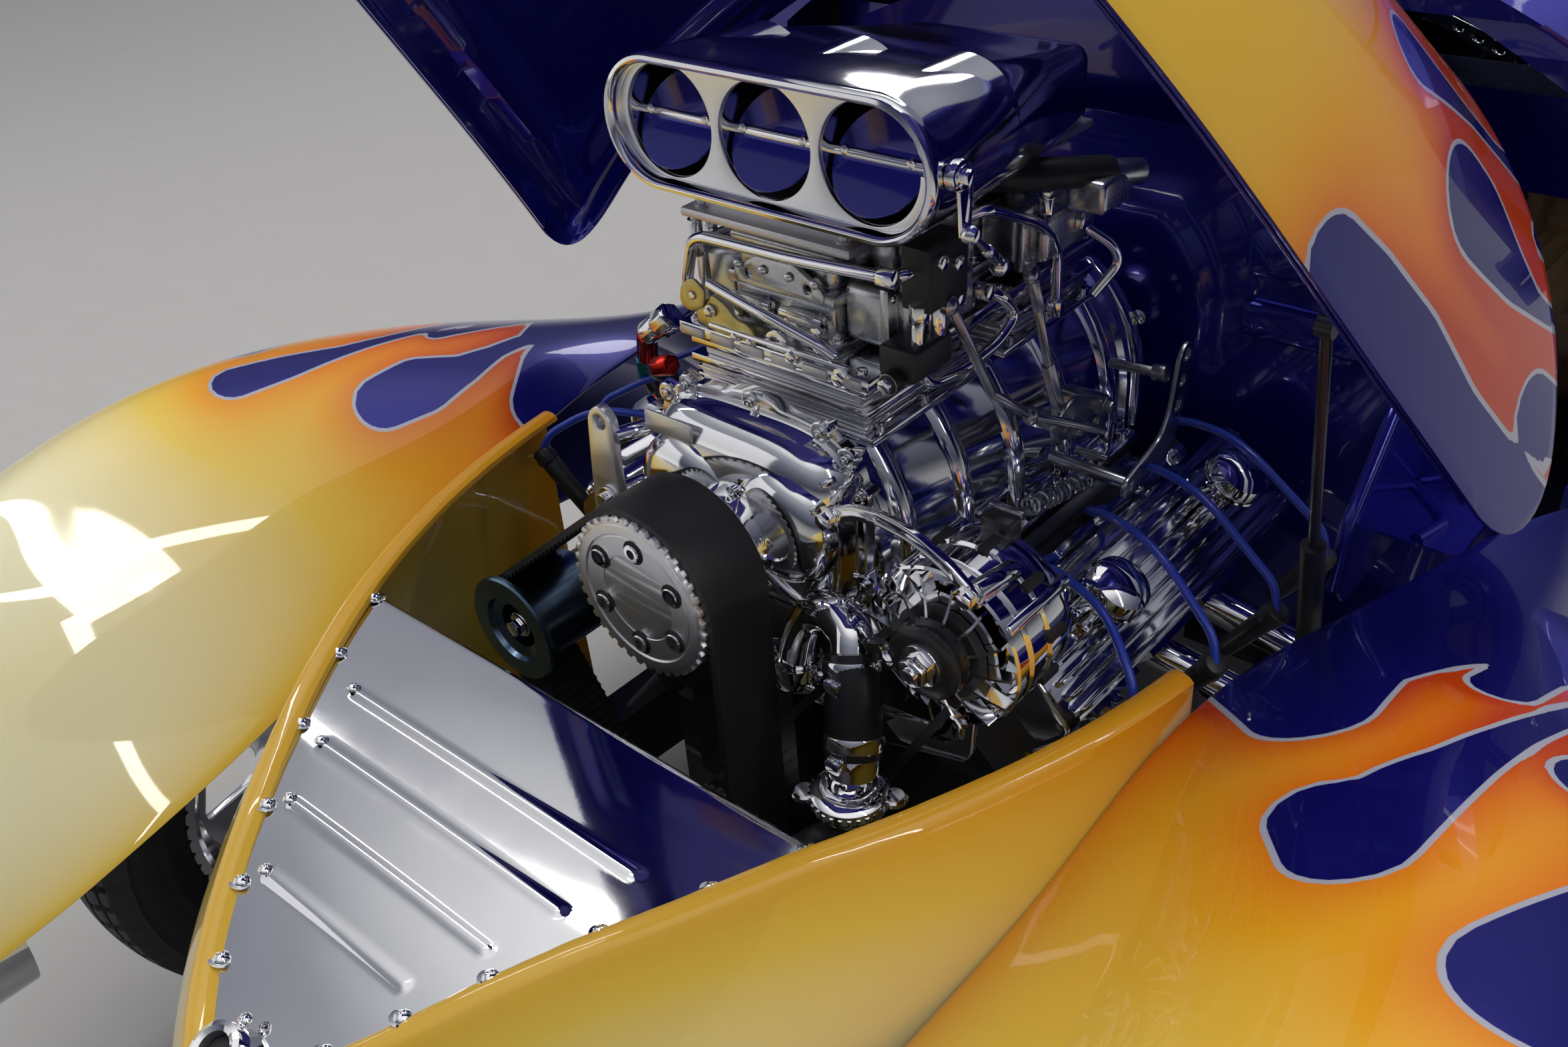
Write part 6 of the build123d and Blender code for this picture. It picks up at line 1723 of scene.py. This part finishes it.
for k in range(6):
    bolt(bm, hub + across * 38 * cos(tau * k / 6) + vertical * 38 * sin(tau * k / 6) + toDriver * 4,
        toDriver, 2.6, "socket", 1)
reach = (wheel["firewall"] - hub.y) / down.y
rod(bm, hub + down * 50, hub + down * 300, 24, material=2)
rod(bm, hub + down * 290, hub + down * reach, 19, material=1)
lathe(bm, ((24, -14), (44, -10), (46, 0), (44, 4), (24, 8)), hub + down * 300, down, 40, 1, True)
rod(bm, hub + down * 92, hub + down * 92 - across * 96 + vertical * 14, 4, material=1)
lathe(bm, ((0, 9), (6, 7), (8, 0), (6, -7), (0, -9)), hub + down * 92 - across * 98 + vertical * 14, across,
    20)
finishObject(bm, "steeringWheel", "chassis", ("steering_column",), ["blackPlastic", "chrome", "satin"], 40)
print("steering wheel finished")

# Wheels: tyres with blocks cut by grooves, five-window rims with caps and nuts
tread = dict(steps=360, blocks=60, across=52, grooveDepth=6.5, sipeDepth=4.5,
    grooves=(-0.58, -0.2, 0.2, 0.58), grooveHalf=0.035)
wheelFacts = dict(
    front=dict(x=690, y=-1470, radius=320, width=165, rim=195, body="wheel_front_"),
    rear=dict(x=660, y=1130, radius=372, width=280, rim=205, body="wheel_rear_"))


def tyreOutline(facts, count):
    half, outer, inner = facts["width"] / 2, facts["radius"], facts["rim"]
    side = arcThrough((half * 0.62, inner), (half, (inner + outer) / 2), (half * 0.80, outer - 10), 24)
    crown = arcThrough((half * 0.80, outer - 10), (0, outer), (-half * 0.80, outer - 10), count)
    return side, crown, [(-h, r) for h, r in reversed(side)]


def buildTyre(bm, facts, cut):
    half = facts["width"] / 2
    side, crown, other = tyreOutline(facts, cut["across"])
    outline = side[:-1] + crown + other[1:]
    rings = []
    for i in range(cut["steps"]):
        turn = tau * i / cut["steps"]
        ring = []
        for h, r in outline:
            share = h / half
            if abs(share) < 0.80:
                shift = 0.5 if share > 0 else 0.0
                block = (turn / tau * cut["blocks"] + shift + abs(share) * 0.8) % 1
                if any(abs(share - g) < cut["grooveHalf"] for g in cut["grooves"]):
                    r -= cut["grooveDepth"]
                elif block < 0.17 and abs(share) > 0.2:
                    r -= cut["sipeDepth"]
            elif abs(share) < 0.90 and r > facts["radius"] - 26:
                r -= 2.5 if (turn / tau * cut["blocks"] + 0.5) % 1 < 0.34 else 0
            for ridge in (0.30, 0.36, 0.74):
                if abs((r - facts["rim"]) / (facts["radius"] - facts["rim"]) - ridge) < 0.02:
                    h += (1.8 if h > 0 else -1.8)
            ring.append(Vector((h, -r * sin(turn), r * cos(turn))))
        rings.append(ring)
    part = bmesh.new()
    skin(part, rings + [rings[0]], False)
    bmesh.ops.remove_doubles(part, verts=part.verts[:], dist=1e-6)
    bmesh.ops.recalc_face_normals(part, faces=part.faces[:])
    pour(bm, part, 0)


def buildRim(bm, facts, sign):
    half, r = facts["width"] / 2 * 0.62, facts["rim"]
    out = across * sign
    centre = Vector((0, 0, 0))
    barrel = ((r - 0.4, -half), (r + 9, -half - 3), (r + 9, -half - 8), (r - 4, -half - 9),
        (r - 13, -half + 2), (r - 13, -half + 12), (r - 27, -half * 0.5), (r - 27, half * 0.5),
        (r - 13, half - 12), (r - 13, half - 2), (r - 4, half + 9), (r + 9, half + 8), (r + 9, half + 3),
        (r - 0.4, half), (r - 0.4, half - 3), (r - 9, half - 12), (r - 22, half * 0.5),
        (r - 22, -half * 0.5), (r - 9, -half + 12), (r - 0.4, -half + 3))
    lathe(bm, barrel, centre, out, 96, 0, True)
    windows = []
    for k in range(5):
        middle = tau * k / 5 + pi / 2
        low, high, wide, narrow = 84, r - 36, 0.40, 0.30
        corners = [(low, -narrow), (high, -wide), (high, wide), (low, narrow)]
        corners = [(a * cos(middle + b), a * sin(middle + b)) for a, b in corners]
        windows.append(roundedOutline(corners, 16))
    plate(bm, circleOutline(0, 0, r - 22, 96), out * -8, Vector((0, 1, 0)) * sign, upward, 14, 2.5, windows)
    lathe(bm, ((0, 40), (16, 39), (27, 35), (33, 27), (35, 12), (40, 7), (46, 6), (46, 2), (0, 2)), centre,
        out)
    lathe(bm, ((46, 6), (74, 8), (80, 5), (82, -30), (60, -34), (46, -34)), centre, out, 56, 1)
    for k in range(5):
        turn = tau * k / 5 + pi / 2 + pi / 5
        spot = Vector((0, 57.15 * cos(turn), 57.15 * sin(turn)))
        lathe(bm, ((0, 26), (5, 25.5), (8, 22), (9, 8), (10.5, 6), (10.5, 2), (0, 2)), spot + out * 5, out,
            6)
    rod(bm, Vector((0, r - 30, 40)) + out * (half - 4), Vector((0, r - 38, 50)) + out * (half + 14), 3.2,
        material=2)


for name, facts in wheelFacts.items():
    for side, sign in (("left", 1), ("right", -1)):
        axle = Vector((sign * facts["x"], facts["y"], facts["radius"])) * mm
        bm = bmesh.new()
        buildTyre(bm, facts, tread)
        bmesh.ops.translate(bm, vec=axle, verts=bm.verts[:])
        finishObject(bm, "tyre" + name.capitalize() + side.capitalize(), facts["body"] + side,
            ("tyre_" + name + "_" + side,), "tyreRubber", 35)
        bm = bmesh.new()
        buildRim(bm, facts, sign)
        bmesh.ops.translate(bm, vec=axle, verts=bm.verts[:])
        finishObject(bm, "rim" + name.capitalize() + side.capitalize(), facts["body"] + side,
            ("rim_" + name + "_" + side,), ["polished", "satin", "blackPlastic"], 35)
print("wheels finished")


# Surfaces of the carried pieces, to seat small parts on
def surfaceOf(name):
    mesh = nodes[name].data
    return BVHTree.FromPolygons([nodes[name].matrix_world @ v.co for v in mesh.vertices],
        [tuple(p.vertices) for p in mesh.polygons])


def seatOn(surface, start, heading):
    spot, normal, _, _ = surface.ray_cast(Vector(start) * mm, Vector(heading).normalized(), 3.0)
    return spot / mm, normal


# Rubber seals along the rims of the glass
sealFacts = dict(radius=5.0, sharp=50, shortest=500)


def rimLoops(name, facts):
    work = bmesh.new()
    work.from_mesh(nodes[name].data)
    bmesh.ops.transform(work, matrix=nodes[name].matrix_world, verts=work.verts[:])
    bmesh.ops.remove_doubles(work, verts=work.verts[:], dist=1e-5)
    links = {}
    for e in work.edges:
        if len(e.link_faces) == 2 and e.calc_face_angle(0) > radians(facts["sharp"]):
            a, b = e.verts
            links.setdefault(a, []).append(b)
            links.setdefault(b, []).append(a)
    loops, seen = [], set()
    for start in sorted(links, key=lambda v: v.index):
        if start in seen or len(links[start]) != 2:
            continue
        loop, last, here = [start], None, start
        seen.add(start)
        while True:
            ahead = [v for v in links[here] if v is not last and v not in seen]
            if not ahead:
                break
            last, here = here, ahead[0]
            seen.add(here)
            loop.append(here)
        points = [v.co / mm for v in loop]
        if sum((p - q).length for p, q in zip(points, points[1:])) > facts["shortest"]:
            loops.append(points)
    work.free()
    return loops


for name, body in (("fixed_glass", "chassis"), ("door_glass_left", "door_left"),
        ("door_glass_right", "door_right")):
    bm = bmesh.new()
    for loop in rimLoops(name, sealFacts):
        sweep(bm, loop + loop[:2], sealFacts["radius"], 3, 8, 0, 2)
    finishObject(bm, "seal" + name.title().replace("_", ""), body, (), "hoseRubber", 40)
print("seals finished")

# Door handles, lid handle and blank plate
for side, sign in (("left", 1), ("right", -1)):
    skinOf = surfaceOf("door_" + side)
    bm = bmesh.new()
    spot, normal = seatOn(skinOf, (sign * 900, 330, 975), (-sign, 0, 0))
    out = across * sign
    lathe(bm, ((0, 9), (12, 8), (19, 4), (21, 0), (21, -4), (0, -4)), spot, out, 40)
    rod(bm, spot, spot + out * 30, 7)
    sweep(bm, (spot + out * 30 + Vector((0, 9, 0)), spot + out * 31 - Vector((0, 50, 2)),
        spot + out * 24 - Vector((0, 98, 6))), 7.5, 30, 16)
    lock, _ = seatOn(skinOf, (sign * 900, 330, 930), (-sign, 0, 0))
    lathe(bm, ((0, 1.2), (2, 1.2), (2.6, 3.2), (9, 3), (10.5, 0), (10.5, -3), (0, -3)), lock, out, 32)
    finishObject(bm, "doorHandle" + side.capitalize(), "door_" + side, (), "chrome", 40)

bm = bmesh.new()
skinOf = surfaceOf("decklid")
spot, normal = seatOn(skinOf, (0, 1900, 1300), (0, 0, -1))
lathe(bm, ((0, 10), (13, 8), (19, 3), (20, -4), (0, -4)), spot, normal, 40)
sweep(bm, (spot + normal * 10 - across * 38, spot + normal * 19, spot + normal * 10 + across * 38), 6, 40,
    14)
finishObject(bm, "lidHandle", "decklid", (), "chrome", 40)

bm = bmesh.new()
plateSpot = Vector((0, 2036, 428))
slab(bm, plateSpot + Vector((-150, -1, -52)), plateSpot + Vector((150, 4, 52)), 1.5, 1)
sweep(bm, [plateSpot + Vector((x, 4, z)) for x, z in ((0, 55), (153, 55), (153, -55), (-153, -55),
    (-153, 55), (0, 55))], 4.5, 14, 10)
for x in (-95, 95):
    bolt(bm, plateSpot + Vector((x, 4, 36)), -ahead, 5, "dome")
finishObject(bm, "blankPlate", "chassis", (), ["chrome", "whitePlastic"], 40)
print("handles and plate finished")

# Headlamps: rolled bezel, bright bowl, bulb and fluted lens
lamp = dict(x=470, z=560, front=-2018, radius=92, bulge=13, flutes=15)
bm = bmesh.new()
for sign in (1, -1):
    spot = Vector((sign * lamp["x"], lamp["front"], lamp["z"]))
    lathe(bm, ((91.5, -108), (91.5, -6), (92, 1), (90, 6), (85, 8), (80, 5), (78.5, 0), (77, -4), (70, -20),
        (52, -42), (30, -56), (12, -60), (0, -60), (0, -64), (40, -66), (78, -108)), spot, ahead, 88)
    lathe(bm, ((0, -28), (6, -29), (9, -36), (8, -46), (10, -58), (0, -58)), spot, ahead, 28, 1)
    lathe(bm, ((79, -1), (80, -3), (76, -5), (75, -2)), spot, ahead, 72, 2, True)
    for turn in (0.7, 2.4, 4.5):
        bolt(bm, spot + Vector((87 * cos(turn), -6, 87 * sin(turn))), ahead, 3, "dome")
finishObject(bm, "headlampBowls", "chassis", ("headlamp_bowls",), ["chrome", "whitePlastic", "hoseRubber"],
    40)
bm = bmesh.new()
for sign in (1, -1):
    part = bmesh.new()
    line = [(0, lamp["bulge"])] + [(r, lamp["bulge"] * (1 - (r / 79) ** 2) + 0.5)
        for r in range(4, 80, 3)] + [(79, -2), (60, -1), (30, 2), (0, 3.5)]
    lathe(part, line, (0, 0, 0), ahead, 120)
    for v in part.verts:
        if v.co.y < -0.001:
            v.co.y += 0.0007 * sin(v.co.x / mm / 79 * pi * lamp["flutes"])
    bmesh.ops.translate(part, vec=Vector((sign * lamp["x"], lamp["front"], lamp["z"])) * mm,
        verts=part.verts[:])
    pour(bm, part)
finishObject(bm, "headlampLenses", "chassis", ("headlamp_lenses",), "lens", 60)

bm = bmesh.new()
for sign in (1, -1):
    spot = Vector((sign * 400, 1985, 560))
    lathe(bm, ((0, -86), (30, -86), (37, -60), (38, -10), (37, -2), (33, 1), (30, -1), (0, -1)), spot,
        -ahead)
    lathe(bm, ((31, -1), (30, 4), (27, 6.5), (25.5, 5), (23.5, 8.5), (21.5, 6.5), (19, 10.5), (16.5, 8.5),
        (13, 12), (10, 10), (6, 12.5), (0, 13), (0, 0)), spot, -ahead, 56, 1)
finishObject(bm, "tailLamps", "chassis", ("tail_lamps",), ["chrome", "lampRed"], 40)
print("lamps finished")

# Running boards with ribbed mats and a bright edge
board = dict(x0=604, x1=832, y0=-568, y1=598, z0=322, z1=360, ribs=11)
bm = bmesh.new()
for sign in (1, -1):
    low, high = sorted((sign * board["x0"], sign * board["x1"]))
    slab(bm, (low, board["y0"], board["z0"]), (high, board["y1"], board["z1"] - 5), 8)
    a, b = sorted((sign * (board["x0"] + 22), sign * (board["x1"] - 18)))
    slab(bm, (a, board["y0"] + 12, board["z1"] - 6), (b, board["y1"] - 12, board["z1"] - 2), 1.5, 1)
    for k in range(board["ribs"]):
        x = a + (b - a) * (k + 0.5) / board["ribs"]
        slab(bm, (x - 5, board["y0"] + 18, board["z1"] - 3), (x + 5, board["y1"] - 18, board["z1"] + 2), 2,
            1)
    x = sign * (board["x1"] - 8)
    rod(bm, (x, board["y0"] + 6, board["z1"] - 3), (x, board["y1"] - 6, board["z1"] - 3), 4.5, material=2)
finishObject(bm, "runningBoards", "chassis", ("running_boards",), ["deepBlue", "hoseRubber", "chrome"], 40)

# Firewall panels with a pressed groove, and the folded edges of the inner aprons
pressed = dict(y=-735, depth=11, upper=((212, 932), (424, 932), (408, 990), (300, 1046), (212, 1050)),
            lower=((212, 862), (444, 862), (432, 902), (212, 902)), radius=12, foldRadius=7)
bm = bmesh.new()
for sign in (1, -1):
    for outline in (pressed["upper"], pressed["lower"]):
        turned = [(x * sign, z) for x, z in outline]
        plate(bm, roundedOutline(turned, pressed["radius"]), (0, pressed["y"], 0), across, upward,
            pressed["depth"], 6)
    for path in (((410, -740, 902), (410, -821, 868), (410, -897, 783), (410, -917, 712)),
                ((419, -740, 742), (470, -790, 744), (458, -838, 744))):
        sweep(bm, [(x * sign, y, z) for x, y, z in path], pressed["foldRadius"], 16, 14)
finishObject(bm, "pressedPanels", "chassis", (), "bayBlue", 35)
print("boards and pressed panels finished")

# Dashboard dials, shifter, pedals and mats
bm = bmesh.new()
dials = ((330, 1034, 40), (238, 1034, 26), (422, 1034, 26), (150, 1034, 26), (40, 1034, 40))
for x, z, r in dials:
    spot = Vector((x, -401, z))
    lathe(bm, ((r, -6), (r + 3, 1), (r + 1.5, 5), (r - 3, 6), (r - 5, 2), (r - 5.5, -1)), spot, -ahead)
    lathe(bm, ((0, 0.6), (r - 4, 0.6), (r - 4, -3), (0, -3)), spot, -ahead, 56, 1)
    for k in range(11):
        turn = radians(-45 + 27 * k)
        tip = Vector((cos(turn), 0, sin(turn)))
        rod(bm, spot + tip * (r - 12) + Vector((0, 1.2, 0)), spot + tip * (r - 7) + Vector((0, 1.2, 0)),
            0.8, sides=8, edge=0, material=2)
    rod(bm, spot + Vector((0, 2, 0)), spot + Vector((-0.55 * r, 2, 0.25 * r)), 1.0, 0.4, sides=8, edge=0,
        material=3)
    bolt(bm, spot + Vector((0, 1, 0)), -ahead, 4, "dome", 1)
for x in (-60, -110, -160):
    lathe(bm, ((0, 16), (7, 15), (9, 11), (6, 6), (6, -2), (0, -2)), (x, -401, 1034), -ahead, 28)
slab(bm, (-430, -402, 1004), (-210, -398.5, 1064), 1.5, 4)
lathe(bm, ((0, 8), (6, 7), (8, 3), (8, -1), (0, -1)), (-320, -398, 1052), -ahead, 24)
finishObject(bm, "dashDials", "chassis", (), ["chrome", "blackPlastic", "whitePlastic", "redAnodised",
    "deepBlue"], 40)

bm = bmesh.new()
lathe(bm, ((58, 0), (52, 8), (40, 26), (24, 44), (12, 54), (10, 52), (22, 40), (50, 0)), (0, -120, 640.3),
    upward, 48, 0, True)
sweep(bm, ((0, -120, 660), (0, -124, 760), (30, -96, 860), (34, -92, 884)), 7, 60, 14, 1)
lathe(bm, ((0, 26), (12, 24), (22, 12), (25, 0), (22, -12), (12, -23), (0, -25)), (35, -90, 904), upward,
    40)
for x, wide in ((262, 26), (330, 30), (398, 20)):
    slab(bm, (x - wide, -628, 500), (x + wide, -618, 572), 3, 0, radians(28))
    rod(bm, (x, -632, 548), (x, -668, 640), 7, material=1)
    for dz in (-24, -12, 0, 12, 24):
        slab(bm, (x - wide + 4, -616 - dz * 0.47, 534 + dz), (x + wide - 4, -612 - dz * 0.47, 538 + dz), 1)
finishObject(bm, "shifterAndPedals", "chassis", (), ["blackPlastic", "chrome"], 40)

bm = bmesh.new()
for sign in (1, -1):
    low, high = sorted((sign * 200, sign * 470))
    slab(bm, (low, -540, 440.4), (high, -96, 452), 5)
slab(bm, (-176, -560, 640.4), (176, -190, 648), 4)
finishObject(bm, "cabinMats", "chassis", (), "carpet", 40)
print("cabin fittings finished")

# Every CAD node takes a finish, also one that a piece stands in for
finishes = dict(
    deepBlue="body_shell decklid door_left door_right rear_fenders running_boards dashboard nose_shell "
             "front_fenders hood",
    glass="door_glass_left door_glass_right fixed_glass",
    chrome="grille radiator_cover front_axle steering_column exhaust alternator fuel_lines filler_neck "
           "headlamp_bowls rim_front_left rim_front_right rim_rear_left rim_rear_right",
    castAluminium="radiator intake_manifold",
    blackPlastic="strut_tube ignition",
    blackSteel="strut_rod",
    bayBlue="bay_panels",
    framePaint="frame cross_members floor fuel_tank",
    steel="knuckle_left knuckle_right throttle_linkage",
    castIron="driveline engine_block",
    polished="valve_covers blower_case blower_cover scoop",
    satin="drive_pulleys accessory_brackets carb_adapters",
    beltRubber="belts",
    carbSilver="carburettors",
    blueAnodised="butterflies",
    lens="headlamp_lenses",
    lampRed="tail_lamps",
    leather="seats",
    tyreRubber="tyre_front_left tyre_front_right tyre_rear_left tyre_rear_right")
for finish, names in finishes.items():
    for name in names.split():
        mesh = nodes[name].data
        mesh.materials.clear()
        mesh.materials.append(materials[finish])
print("carried pieces finished")
